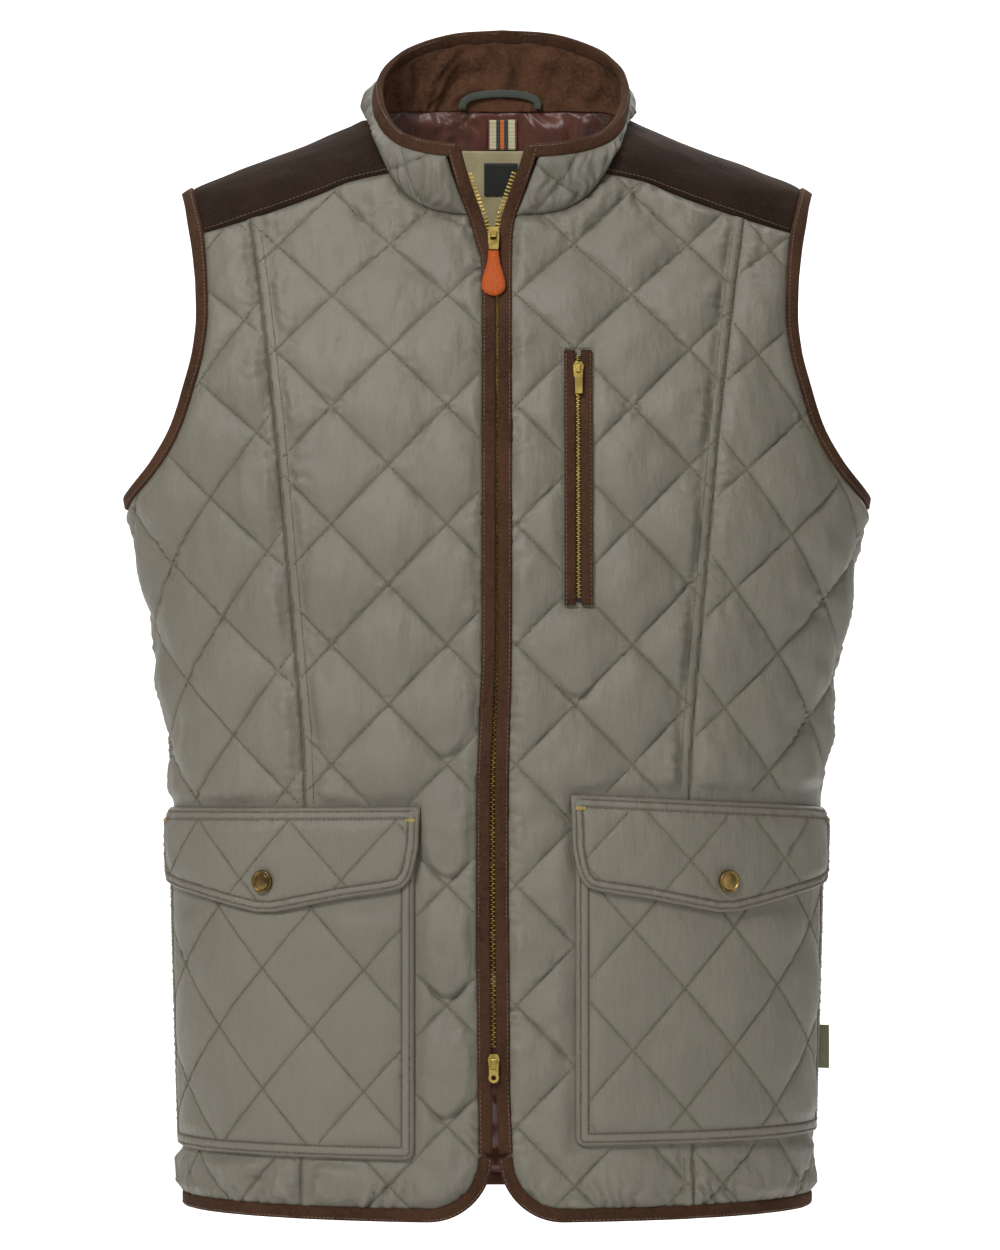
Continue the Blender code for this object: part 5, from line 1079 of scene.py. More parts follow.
def armholeLoop(hand, count):
    halves = []
    for face in ("front", "back"):
        share = (1 - np.cos(np.linspace(0, math.pi, 90))) / 2
        height = size["armholeTop"] + (size["armholeBottom"] - size["armholeTop"]) * share
        side = np.minimum(armholeAt[face](height), halfWidthAt(height))
        halves.append(onSection(face, side, height))
    ends = [np.array([[float(halfWidthAt(size[key])), float(ridgeAt(size[key])), size[key]]])
            for key in ("armholeTop", "armholeBottom")]
    loop = np.vstack([ends[0], halves[0][1:-1], ends[1], halves[1][::-1][1:-1], ends[0]])
    return mirrored(resample(loop, count + 1)[:-1], hand)


def insetLoop(loop, hand, inset):
    tangent = unit(np.roll(loop, -1, axis=0) - np.roll(loop, 1, axis=0))
    across = np.cross(tangent, surfaceNormal(loop)) * sides[hand]
    return loop + unit(across) * inset


armholeLoops = {hand: armholeLoop(hand, 150) for hand in "RL"}


def armholePanelEdge(hand, face):
    loop = insetLoop(armholeLoops[hand], hand, panelEdge)
    inFront = loop[:, 1] < ridgeAt(loop[:, 2])
    chosen = loop[(inFront == (face == "front")) & (loop[:, 2] < yokeAt[face](np.abs(loop[:, 0])) - 1.5)]
    chosen = chosen[np.abs(chosen[:, 1] - ridgeAt(chosen[:, 2])) > 1.5]
    chosen = chosen[np.argsort(-chosen[:, 2])]
    return flatOf(face, chosen).tolist()


def yokeRow(face, first, last, drop, count, hand):
    points = []
    for side in np.linspace(first, last, count):
        height = float(yokeAt[face](side)) - drop
        points.append((sides[hand] * alongOf(face, side, height), float(climbOf(face, height))))
    return points


def yokeMeets(face, inset):
    side = 195.0
    for _ in range(20):
        side = float(armholeAt[face](yokeAt[face](side))) - inset
    return side


neckStations = 20
station = neckLength / neckStations
yokeBackStation, yokeFrontStation = 5, 14


def awayFromNeck(around):
    around = np.asarray(around, float)
    tangent = neckPoint(around + 1) - neckPoint(around - 1)
    away = unit(np.cross(surfaceNormal(neckPoint(around)), tangent))
    return np.where(away[..., 2:3] > 0, -away, away)


def besideNeck(around, drop):
    return ontoSurface(neckPoint(around) + awayFromNeck(around) * drop)


def neckFlat(face, hand, start, end, drop=0.1):
    around = np.linspace(start, end, max(3, int(abs(end - start) / 3)))
    points = besideNeck(around, drop)
    flat = flatOf(face, points)
    flat[:, 0] *= sides[hand]
    return flat.tolist()


def sideSeamPoints(face, hand, low, high, count):
    heights = np.linspace(low, high, count)
    return [(sides[hand] * float(sideSeam(face, height)), float(climbOf(face, height))) for height in heights]


def onFace(face):
    return lambda along, climb, lift: lifted(face, along, climb, lift)


# Main creases in the cloth, in flat millimetres of the left hand: from, to, width, height
creaseLook = {
    "centreR": [(150, 640, 110, 690, 9, 1.4), (128, 650, 80, 700, 8, -1.2), (28, 640, 60, 672, 6, 1.2),
                (30, 615, 75, 640, 6, -1.0), (20, 560, 55, 590, 6, 0.9), (100, 318, 165, 330, 9, -1.6),
                (60, 322, 120, 345, 8, 1.3), (22, 250, 50, 262, 4, -1.3), (22, 178, 48, 190, 4, -1.4),
                (22, 96, 48, 106, 4, -1.4), (20, 330, 50, 318, 5, -1.0), (120, 470, 150, 520, 8, 1.1),
                (20, 480, 60, 500, 6, -0.9), (70, 590, 120, 560, 8, -0.9)],
    "centreL": [(148, 642, 112, 694, 9, 1.3), (126, 652, 84, 704, 8, -1.1), (30, 645, 62, 676, 6, 1.1),
                (32, 618, 78, 638, 6, -1.1), (66, 400, 110, 380, 7, -1.3), (70, 372, 120, 352, 7, 1.2),
                (100, 322, 160, 334, 9, -1.6), (22, 210, 50, 222, 4, -1.2), (22, 132, 48, 144, 4, -1.4),
                (66, 540, 100, 520, 6, 0.9), (66, 470, 105, 455, 6, -0.9), (120, 440, 150, 490, 8, 1.0),
                (22, 420, 40, 400, 4, -0.9), (150, 600, 110, 590, 7, -0.9)],
    "sideR": [(205, 520, 250, 485, 8, -1.3), (180, 470, 245, 430, 9, 1.2), (175, 400, 240, 372, 9, -1.1),
              (180, 330, 250, 322, 9, -1.6), (176, 560, 215, 530, 7, 1.0), (190, 610, 205, 560, 6, -0.9)],
    "sideL": [(205, 518, 250, 482, 8, -1.3), (180, 465, 245, 428, 9, 1.2), (175, 395, 240, 368, 9, -1.1),
              (180, 332, 250, 324, 9, -1.6), (176, 556, 215, 528, 7, 1.0), (192, 606, 206, 560, 6, -0.9)],
    "back": [(-120, 640, -60, 590, 10, -1.3), (130, 636, 66, 588, 10, -1.4), (-40, 700, 40, 690, 9, 1.2),
             (-190, 520, -110, 470, 11, 1.3), (186, 512, 108, 462, 11, 1.4), (-150, 330, -40, 350, 12, -1.5),
             (30, 342, 150, 322, 12, -1.4), (-200, 240, -120, 262, 10, 1.1), (210, 236, 122, 256, 10, 1.2),
             (-90, 150, 10, 168, 11, -1.1), (40, 160, 130, 142, 11, 1.1), (-170, 90, -80, 104, 9, 1.0)],
}


# Curved puckers over the crossings beside the placket, in flat millimetres
smileLook = {"R": (32.3, (74.6, 152.2, 229.8, 307.4)), "L": (50.2, (113.4, 191.0, 268.6, 346.2)),
             "depth": 2.0, "width": 1.7, "ridge": 1.1, "reach": 15.0, "bend": 0.055}
rippleLook = {"height": 1.7, "reach": 8.0, "wave": 10.5, "hem": 13.0, "neck": 672,
              "grid": 1.9, "clear": 3.2}


def smiles(hand, points):
    middle, climbs = smileLook[hand]
    x = np.abs(points[:, 0]) - middle
    total = np.zeros(len(points))
    window = ease((smileLook["reach"] - np.abs(x)) / 6.0)
    for number, climb in enumerate(climbs):
        shift = 3.0 * math.sin(number * 2.4 + middle)
        low = climb + 4.0 + smileLook["bend"] * (x - shift) ** 2
        side = (points[:, 1] - low) / np.hypot(1, 2 * smileLook["bend"] * x)
        total -= smileLook["depth"] * np.exp(-((side / smileLook["width"]) ** 2)) * window
        total += smileLook["ridge"] * np.exp(-(((side - 4.0) / 3.0) ** 2)) * window
    return total


def ripples(points, bottom, seed, lines):
    # short folds that run away from seams; lines give each seam's sideways place
    bend = lumpsOn(points, 40.0, seed)
    uneven = np.clip(0.7 + 0.7 * lumpsOn(points, 70.0, seed + 1.9), 0.1, 1.6)
    turn = 2 * math.pi / rippleLook["wave"]
    fromHem = np.maximum(0, points[:, 1] - bottom - 6) / rippleLook["hem"]
    total = 1.25 * np.exp(-(fromHem ** 2)) * foldWave(points[:, 0] * turn + bend * 4.5)
    fromNeck = np.maximum(0, rippleLook["neck"] - points[:, 1]) / 9.0
    total += 0.8 * np.exp(-fromNeck) * foldWave(points[:, 0] * turn + bend * 3.0)
    for line in lines:
        reach = np.exp(-np.abs(np.abs(points[:, 0]) - line) / rippleLook["reach"])
        total += reach * foldWave(points[:, 1] * turn + bend * 4.0)
    return rippleLook["height"] * total * uneven


def foldWave(phase):
    # round tops with narrow troughs between them
    return 2.0 * np.sqrt(np.sin(phase / 2) ** 2 + 0.012) - 1.3


def finerNear(points, outline, quilt, strip):
    # an even fine grid where the short folds run, apart from the crowded rows at the stitched lines
    def free(flat):
        return strip(flat) & (fromStitches(quilt, flat) > rippleLook["clear"])

    fine = kept(gridPoints(outline, rippleLook["grid"]), outline, 1.6)
    return np.vstack([points[~free(points)], fine[free(fine)]])


def foldStrips(hand, outline, band):
    # the strips beside the hem, the princess seam and the placket
    bottom = outline[:, 1].min()

    def strip(flat):
        beside = seamAlong(flat[:, 1]) - np.abs(flat[:, 0])
        near = (flat[:, 1] - bottom < 32) | (np.abs(beside) < 24)
        if band:
            near |= np.abs(flat[:, 0]) - frontEdge(hand, heightOf("front", flat[:, 1])) < 22
        return near

    return strip


def frontLift(hand, quilt, outline, crease, band, seed):
    def lift(points):
        edge = edgeDistance(outline, points)
        puff = quiltPuff(quilt, points, seed) * ease(edge / quiltLook["seamFade"])
        rise = np.zeros(len(points))
        flat = np.abs(points) * [1, 1]
        if band:
            beside = seamAlong(points[:, 1]) - np.abs(points[:, 0])
            puff *= ease((beside - 7.4) / 8.0)
            rise = 1.0 * ease(beside / 1.6) * ease((7.8 - beside) / 1.4)
        wrinkles = creases(flat, creaseLook[crease]) * ease(edge / 12)
        seams = [seamAlong(points[:, 1])]
        if band:
            wrinkles = wrinkles + smiles(hand, points)
            seams = [seams[0] - 8.5, frontEdge(hand, heightOf("front", points[:, 1])) + panelEdge]
        ripple = ripples(points, outline[:, 1].min(), seed + 3, seams) * ease(edge / 3.0)
        if band:
            ripple = ripple * ease((beside - 8.0) / 2.0)
        total = size["panelOutside"] + puff + rise + wrinkles + ripple
        off = offCovered(hand, points)
        flatBase = size["panelOutside"] - 0.2
        total = flatBase + (total - flatBase) * ease((off - 0.5) / 9)
        # the edge rolls down into the seam
        return total - 0.8 * np.exp(-((edge / 1.1) ** 2))

    return lift


def panelLining(points):
    return np.full(len(points), size["panelInside"]) + 0.5 * lumpsOn(points, 60.0, 0.4) - 0.3


def panelPaintedShade(hand, quilt, outline, points):
    # painted shade in the stitched valleys, none in the band beside the princess seam or under the pockets,
    # and a painted shade along the panel's rolled edge
    band = ease((np.abs(seamAlong(points[:, 1]) - np.abs(points[:, 0])) - 6.5) / 1.5)
    edge = 0.25 * np.exp(-edgeDistance(outline, points) / 1.5)
    return np.maximum(quiltValleyShade(quilt, points) * band * (offCovered(hand, points) > 0), edge)


def quiltedPanel(name, face, outline, outer, lift, paintedShade):
    return sheetObject(name, outline, outer, onFace(face), lift, panelLining, [shell, lining], paintedShade=paintedShade)


def frontCentre(hand):
    edge = frontOutline(hand, panelEdge)
    seamEnd = float(seamAlong(climbOf("front", size["hem"] + panelEdge)))
    edge = [point for point in edge if abs(point[0]) < seamEnd - 2]
    climbs = np.linspace(edge[-1][1], frontClimb(yokeAt["front"](162.0)) - 0.1, 220)
    seam = [(sides[hand] * (float(seamAlong(climb)) - 0.05), float(climb)) for climb in climbs]
    lastSide = abs(float(surface("front", seam[-1][0], climbs[-1])[0]))
    cornerSide = float(neckPoint(yokeFrontStation * station)[0])
    top = yokeRow("front", lastSide - 2, cornerSide + 1.5, 0.1, 32, hand)
    neck = neckFlat("front", hand, (yokeFrontStation + 0.05) * station, (neckStations - 1) * station)
    outline = closedOutline(edge + seam + top + neck)
    quilt = centreQuilting(hand)
    outer = kept(quiltGrid(quilt, sides[hand], outline, 200, quiltLook["cells"]), outline, 1.6)
    outer = finerNear(outer, outline, quilt, foldStrips(hand, outline, True))
    lift = frontLift(hand, quilt, outline, "centre" + hand, True, 1.3 if hand == "R" else 2.9)
    made = quiltedPanel("frontCentre" + hand, "front", outline, outer, lift,
                        lambda points: panelPaintedShade(hand, quilt, outline, points))

    def keep(points):
        return (offCovered(hand, points) > 0.6) & (seamAlong(points[:, 1]) - np.abs(points[:, 0]) > 0.4)

    lines = quiltLines(quilt, sides[hand], outline, 200, keep)
    thread = flatStitches("quiltThreadCentre" + hand, "front", lines, quiltStitch, quiltThread, lift)
    rows = []
    for inset in (6.9, 1.4):
        rows.append([(sides[hand] * (float(seamAlong(climb)) - inset), climb) for climb in climbs[3:-3:4]])
    rows = [part for row in map(np.array, rows) for part in unbroken(row, offCovered(hand, row) > 1.0, 3)]
    bandThread = flatStitches("bandThread" + hand, "front", rows, edgeStitch, quiltThread, lift)
    finishPiece(made, ["front_centre_" + hand], "shell", [thread, bandThread])


def finishPiece(made, nodes, slotName, threads=(), sheet=True, body=root):
    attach(made, body)
    if nodes:
        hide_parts(*nodes)
    if sheet:
        declareSheet(made)
    print(made.name, len(made.data.polygons))


def frontSide(hand):
    bottom = frontClimb(size["hem"] + panelEdge)
    climbs = np.linspace(bottom, frontClimb(yokeAt["front"](162.0)) - 0.1, 220)
    seam = [(sides[hand] * (float(seamAlong(climb)) + 0.05), float(climb)) for climb in climbs]
    startSide = abs(float(surface("front", seam[-1][0], climbs[-1])[0]))
    top = yokeRow("front", startSide + 2, yokeMeets("front", panelEdge) - 0.5, 0.1, 10, hand)
    armhole = armholePanelEdge(hand, "front")
    side = sideSeamPoints("front", hand, size["armholeBottom"] - panelEdge, size["hem"] + panelEdge, 140)
    start, end = side[-1][0], seam[0][0]
    hem = [(start + (end - start) * share, bottom) for share in np.linspace(0, 1, 40)[1:-1]]
    outline = closedOutline(seam + top + armhole + side + hem)
    quilt = sideQuilting(hand)
    outer = kept(quiltGrid(quilt, sides[hand], outline, 160, quiltLook["cells"]), outline, 1.6)
    outer = finerNear(outer, outline, quilt, foldStrips(hand, outline, False))
    lift = frontLift(hand, quilt, outline, "side" + hand, False, 4.1 if hand == "R" else 5.3)
    made = quiltedPanel("frontSide" + hand, "front", outline, outer, lift,
                        lambda points: panelPaintedShade(hand, quilt, outline, points))
    lines = quiltLines(quilt, sides[hand], outline, 300, lambda points: offCovered(hand, points) > 0.6)
    thread = flatStitches("quiltThreadSide" + hand, "front", lines, quiltStitch, quiltThread, lift)
    finishPiece(made, ["front_side_" + hand], "shell", [thread])


def backPanel():
    halves = []
    for hand in "LR":
        neck = neckFlat("back", hand, 1.5, (yokeBackStation - 0.05) * station)
        cornerSide = float(neckPoint(yokeBackStation * station)[0])
        top = yokeRow("back", cornerSide + 1.5, yokeMeets("back", panelEdge) - 0.5, 0.1, 48, hand)
        armhole = armholePanelEdge(hand, "back")
        side = sideSeamPoints("back", hand, size["armholeBottom"] - panelEdge, size["hem"] + panelEdge, 140)
        bottom = float(climbOf("back", size["hem"] + panelEdge))
        hem = [(side[-1][0] * (1 - share), bottom) for share in np.linspace(0, 1, 80)[1:-1]]
        halves.append(neck + top + armhole + side + hem)
    outline = closedOutline(halves[0] + [(0.0, bottom)] + halves[1][::-1])
    quilt = quilting(lambda climb: 0.0 * climb, 0.0, float(climbOf("back", quiltLook["row"])), 0.0,
                     quiltLook["halfWidth"], quiltLook["halfHeight"])
    grid = quiltGrid(quilt, 1, outline, 280, 15)
    grid = grid[grid[:, 0] > -0.05]
    grid = np.vstack([grid, grid[grid[:, 0] > 0.05] * [-1, 1]])
    outer = kept(grid, outline, 1.6)
    outer = finerNear(outer, outline, quilt, lambda flat: flat[:, 1] - outline[:, 1].min() < 32)

    def lift(points):
        edge = edgeDistance(outline, points)
        puff = quiltPuff(quilt, points, 6.2) * ease(edge / quiltLook["seamFade"])
        wrinkles = creases(points, creaseLook["back"]) * ease(edge / 12)
        ripple = ripples(points, outline[:, 1].min(), 2.2, []) * ease(edge / 3.0)
        return size["panelOutside"] + puff + wrinkles + ripple - 1.3 * np.exp(-((edge / 1.1) ** 2))

    made = quiltedPanel("back", "back", outline, outer, lift, lambda points: quiltValleyShade(quilt, points))
    lines = []
    for hand in (1, -1):
        lines += quiltLines(quilt, hand, outline, 300, lambda points, hand=hand: points[:, 0] * hand > 0.3)
    thread = flatStitches("quiltThreadBack", "back", lines, quiltStitch, quiltThread, lift)
    finishPiece(made, ["back"], "shell", [thread])


for each in "RL":
    frontCentre(each)
    frontSide(each)
backPanel()
print("panels made")


# Yokes: a patch blended from its four edges, laid on the shoulder
yokeLook = {"rows": 46, "columns": 46, "outside": 1.5, "inside": -1.0, "soft": 0.35}


def yokeEdges(hand):
    rows, columns = yokeLook["rows"], yokeLook["columns"]
    stations = {"front": yokeFrontStation, "back": yokeBackStation}
    ends = {face: float(neckPoint(number * station)[0]) for face, number in stations.items()}
    neck = besideNeck(np.linspace(yokeFrontStation, yokeBackStation, rows + 1) * station, 0.1)
    lower = {}
    for face in ("front", "back"):
        side = np.linspace(ends[face], yokeMeets(face, panelEdge), columns + 1)
        lower[face] = onSection(face, side, yokeAt[face](side) + 0.05)
    lower["front"][0], lower["back"][0] = neck[0], neck[-1]
    loop = mirrored(insetLoop(armholeLoops[hand], hand, panelEdge), hand)
    loop = loop[loop[:, 2] > -75]
    low, high = lower["front"][-1][1] + 1, lower["back"][-1][1] - 1
    loop = loop[(loop[:, 1] > low) & (loop[:, 1] < high)]
    loop = loop[np.argsort(loop[:, 1])]
    armhole = resample(np.vstack([lower["front"][-1], loop, lower["back"][-1]]), rows + 1)
    return lower["front"][:, :2], lower["back"][:, :2], neck[:, :2], armhole[:, :2]


def shoulderHeight(plan):
    low, high = np.full(plan.shape[:-1], -120.0), np.full(plan.shape[:-1], float(highest))
    for _ in range(40):
        height = (low + high) / 2
        within = sectionValue(np.concatenate([plan, height[..., None]], axis=-1)) < 1
        low, high = np.where(within, height, low), np.where(within, high, height)
    return (low + high) / 2


def yoke(hand):
    front, back, neck, armhole = yokeEdges(hand)
    rows, columns = yokeLook["rows"], yokeLook["columns"]
    t = np.linspace(0, 1, rows + 1)[:, None, None]
    s = np.linspace(0, 1, columns + 1)[None, :, None]
    corners = (front[0] * (1 - s) + front[-1] * s) * (1 - t) + (back[0] * (1 - s) + back[-1] * s) * t
    plan = front[None] * (1 - t) + back[None] * t + neck[:, None] * (1 - s) + armhole[:, None] * s - corners
    base = np.concatenate([plan, shoulderHeight(plan)[..., None]], axis=-1)
    normal = surfaceNormal(base)
    rim = np.minimum(np.minimum(t, 1 - t) * 95, np.minimum(s, 1 - s) * 120)[..., 0]
    uneven = yokeLook["soft"] * lumps(base[..., 0], base[..., 1] + base[..., 2], 48.0, 1.0 + sides[hand])
    outer = yokeLook["outside"] + uneven * ease(rim / 8) - 1.2 * np.exp(-((rim / 1.4) ** 2))
    points = [mirrored(base + normal * lift[..., None], hand).reshape(-1, 3)
              for lift in (outer, np.full(outer.shape, yokeLook["inside"]))]
    faces, slots = gridWall(rows, columns)
    uv = np.vstack([base[..., :2].reshape(-1, 2)] * 2)
    made = newObject("yoke" + hand, np.vstack(points), faces, [suede, lining], slots, uv)
    width = max(runLength(base[0]), runLength(base[-1])) * mm
    length = max(runLength(base[:, 0]), runLength(base[:, -1])) * mm
    made["flatSize"] = [width, length, min(gridArea(base) * mm * mm, width * length)]
    # one row of stitches beside each lower edge
    threads = []
    for first, second, name in ((0, 2, "Front"), (-1, -3, "Back")):
        line = base[first] * 0.45 + base[second] * 0.55 + normal[first] * (yokeLook["outside"] - 0.1)
        centres, ways = stitchRun(mirrored(line, hand), edgeStitch["step"])
        threads.append(stitchObject("yokeThread" + name + hand, centres, ways, surfaceNormal(centres),
                                    edgeStitch, edgeThread))
    finishPiece(made, ["yoke_" + hand], "suede", threads)


for each in "RL":
    yoke(each)
print("yokes made")


# Collar
# the shade painted over the whole outer collar is 0.26
collarLook = {"columns": 380, "rows": 40, "paintedShade": 0.26, "outside": 2.2, "inside": -1.9, "puff": 4.2,
              "diamond": 37.0, "shift": 6.0, "slant": 1.08}


def collarAround(hand, share, inset):
    return collarEdge(hand, share) - sides[hand] * inset * collarLook["slant"]


def collarLayer(name, nodes, low, high, quilted, materials, slotName):
    rows, columns = collarLook["rows"], collarLook["columns"]
    share = np.linspace(0, 1, rows + 1)[:, None]
    left = collarAround("L", share, panelEdge)
    right = collarAround("R", share, panelEdge)
    around = right + (left - right) * np.linspace(0, 1, columns + 1)[None]
    height = collarHeight(around)
    start = -0.3 / height
    part = start + (belowRim(around, panelEdge) - start) * share
    wide = collarLook["diamond"]
    flatAround, flatUp = around, part * height
    edge = np.minimum(np.minimum(flatUp + 0.3, (belowRim(around, panelEdge) - part) * height),
                      np.minimum(around - right, left - around))
    outer = np.full(around.shape, float(high))
    if quilted:
        shifted = flatAround + collarLook["shift"]
        a, b = ((shifted + flatUp) / (2 * wide) + 0.5) % 1, (shifted - flatUp) / (2 * wide) % 1
        pillow = np.clip(np.sin(math.pi * a) * np.sin(math.pi * b), 0, 1) ** 0.5
        bend = lumps(flatAround, flatUp, 40.0, 3.0)
        fan = np.exp(-flatUp / 15.0) + 0.5 * np.exp(-(edge / 8.0)) + 0.15
        folds = 1.3 * fan * np.sin(flatAround * 2 * math.pi / 9.5 + bend * 3.0) * (0.7 + 0.5 * bend)
        folds = folds + 0.8 * lumps(flatAround * 2, flatUp * 0.7, 44.0, 1.0)
        outer = outer + (collarLook["puff"] * pillow + folds) * ease(edge / 9)
        outer = outer - 1.6 * np.exp(-((edge / 1.2) ** 2))
    else:
        folds = lumps(flatAround * 1.2, flatUp * 0.6, 52.0, 4.4)
        folds = folds + 0.5 * lumps(flatAround * 2.2, flatUp, 44.0, 2.4)
        low = low - 2.4 * folds * ease(edge / 12) * ease(flatUp / 16) - 0.3
    inner = np.broadcast_to(low, around.shape)
    points = [collarLifted(around, part, lift).reshape(-1, 3) for lift in (outer, inner)]
    uv = np.vstack([np.stack([flatAround.ravel(), flatUp.ravel()], axis=1)] * 2)
    made = newObject(name, np.vstack(points), gridWall(rows, columns)[0], materials, None, uv)
    if quilted:
        # painted shade: 0.26 over all of the outer collar, and up to full in its stitched valleys
        near = np.minimum(np.minimum(a, 1 - a), np.minimum(b, 1 - b)) * 1.414 * wide
        addPaintedShade(made, np.maximum(collarLook["paintedShade"], np.exp(-((near / 1.1) ** 2))).ravel())
    base = collarBase(around, part)
    length, tall = max(runLength(base[0]), runLength(base[-1])), float((height * (part[-1] - part[0])).max())
    area = min(max(gridArea(base), 0.31 * tall * length), tall * length)
    made["flatSize"] = [tall * mm, length * mm, area * mm * mm]
    finishPiece(made, nodes, slotName, [collarStitches(high + 0.2)] if quilted else [])


def collarStitches(lift):
    # stitches along the diamonds' edges, short of the binding
    lines = []
    up = np.linspace(1.0, 60.0, 60)
    for number in range(-9, 10):
        for way in (1, -1):
            start = number - (0.5 if way == 1 else 0)
            at = start * 2 * collarLook["diamond"] - collarLook["shift"] - way * up
            height = collarHeight(at)
            share = np.clip(up / height, 0, 1)
            good = up < belowRim(at, panelEdge + 2.5) * height
            good &= at < collarAround("L", share, panelEdge + 2)
            good &= at > collarAround("R", share, panelEdge + 2)
            if good.sum() > 5:
                lines.append(np.stack([at, up], axis=1)[good])

    def put(around, up, lift):
        return collarLifted(around, up / collarHeight(around), lift)

    return flatStitches("collarThread", None, lines, quiltStitch, quiltThread,
                        lambda flat: np.full(len(flat), lift), put)


collarLayer("collarOuter", ["collar_outer"], 0.3, collarLook["outside"], True, [shell], "shell")
collarLayer("collarFacing", ["collar_facing"], collarLook["inside"] + 0.3, -0.4, False,
            [paintedLightFacingSuede], "suede")
print("collar made")


# Suede bindings
def roundProfile(width, low, high, roundness=1.7, count=16):
    points = []
    for k in range(count):
        turn = 2 * math.pi * k / count - math.pi
        x, y = math.cos(turn), math.sin(turn)
        x = math.copysign(abs(x) ** (1 / roundness / 1.5), x)
        y = math.copysign(abs(y) ** (1 / roundness), y)
        points.append((x * width / 2, (high + low) / 2 + y * (high - low) / 2))
    return points


bindingLook = {"outside": 2.6, "inside": -2.4, "wave": 0.35, "row": 2.9, "rowLift": 2.35, "rowUnder": -2.2,
               "frontLow": -655.0, "frontTop": 0.975}
bindingProfile = roundProfile(size["binding"], bindingLook["inside"], bindingLook["outside"])


def wavered(path, normals, seed):
    run = runAlong(path)
    return path + normals * (bindingLook["wave"] * lumps(run, run * 0.3, 37.0, seed))[:, None]


def bindingStitches(name, path, normals, insets):
    tangent = unit(np.gradient(path, axis=0))
    across = unit(np.cross(tangent, normals))
    rows = []
    for inset, lift in insets:
        line = path + across * inset + normals * lift
        middle, way = stitchRun(np.hstack([line, normals]), edgeStitch["step"])
        rows.append(np.hstack([middle[:, :3], way[:, :3], unit(middle[:, 3:])]))
    rows = np.vstack(rows)
    return stitchObject(name, rows[:, :3], rows[:, 3:6], rows[:, 6:], edgeStitch, edgeThread)


def upTheFront(hand, along, heights, share, inset):
    # a path and its normals up a front, then up the collar's end at this inset from its edge
    climb = climbOf("front", heights)
    around = np.array([collarEdge(hand, s) - sides[hand] * inset for s in share])
    path = np.vstack([surface("front", along, climb), collarBase(around, share)])
    normals = np.vstack([outward("front", along, climb), collarNormal(around, share)])
    return path, normals


def besideEdge(hand, heights, inset):
    return np.array([frontEdge(hand, height) + inset for height in heights]) * sides[hand]


def heightsFrom(low, step):
    # heights up a front edge, closer together near the neck
    return np.concatenate([np.arange(low, -120, step), np.arange(-120, -47, 2.5)])


def stitchRow(side, both=False):
    # sideways place and lift of a binding's row of stitches, on one face or on both
    lifts = [bindingLook["rowLift"]] + [bindingLook["rowUnder"]] * both
    return [(bindingLook["row"] * side, lift) for lift in lifts]


def frontBinding(hand):
    inset, top = size["binding"] / 2, bindingLook["frontTop"]
    heights = heightsFrom(bindingLook["frontLow"], 4.0)
    share = np.concatenate([np.linspace(0.06, top - 0.1, 14), np.linspace(top - 0.1, top, 9)[1:]])
    path, normals = upTheFront(hand, besideEdge(hand, heights, inset), heights, share, inset)
    made = sweepObject("frontBinding" + hand, wavered(path, normals, 0.7), normals, bindingProfile,
                       [bindingSuede], rounding=(0, 4.5))
    thread = bindingStitches("frontBindingThread" + hand, path, normals, stitchRow(sides[hand]))
    finishPiece(made, ["front_binding_" + hand], "suede", [thread])


def hemBinding():
    middle = size["binding"] / 2
    parts = {}
    for hand in "RL":
        outline = frontOutline(hand, middle)
        low = frontClimb(size["cornerTop"])
        flat = np.array([point for point in outline if point[1] <= low + 2.3])[:-1]
        parts[hand] = (surface("front", flat[:, 0], flat[:, 1]), outward("front", flat[:, 0], flat[:, 1]))
    climb = float(climbOf("back", size["hem"] + middle))
    end = float(sideSeam("back", size["hem"] + middle))
    along = np.linspace(-end, end, 150)
    behind = (surface("back", along, np.full(150, climb)), outward("back", along, np.full(150, climb)))
    path = np.vstack([parts["R"][0], behind[0], parts["L"][0][::-1]])
    normals = np.vstack([parts["R"][1], behind[1], parts["L"][1][::-1]])
    made = sweepObject("hemBinding", wavered(path, normals, 2.1), normals, bindingProfile, [bindingSuede])
    thread = bindingStitches("hemThread", path, normals, stitchRow(-1))
    finishPiece(made, ["hem_binding"], "suede", [thread])


def armholeBinding(hand):
    path = insetLoop(armholeLoops[hand], hand, size["binding"] / 2)
    normals = surfaceNormal(path)
    made = sweepObject("armholeBinding" + hand, path, normals, bindingProfile, [bindingSuede], closed=True)
    closedPath, closedNormals = np.vstack([path, path[:1]]), np.vstack([normals, normals[:1]])
    thread = bindingStitches("armholeThread" + hand, closedPath, closedNormals, stitchRow(sides[hand]))
    finishPiece(made, ["armhole_binding_" + hand], "suede", [thread])


def collarBinding():
    ends = [collarAround("L", 1, 1.2), collarAround("R", 1, 1.2)]
    fine = np.linspace(0, 8, 12)
    middle = np.linspace(ends[0] - 10, ends[1] + 10, 170)
    around = np.concatenate([ends[0] - fine, middle, (ends[1] + fine)[::-1]])
    share = belowRim(around, size["binding"] / 2)
    path, normals = collarBase(around, share), collarNormal(around, share)
    made = sweepObject("collarBinding", wavered(path, normals, 1.1), normals, bindingProfile, [bindingSuede],
                       rounding=(5, 5))
    thread = bindingStitches("collarBindingThread", path, normals, stitchRow(-1, True))
    finishPiece(made, ["collar_binding"], "suede", [thread])


for each in "RL":
    frontBinding(each)
    armholeBinding(each)
hemBinding()
collarBinding()
print("bindings made")


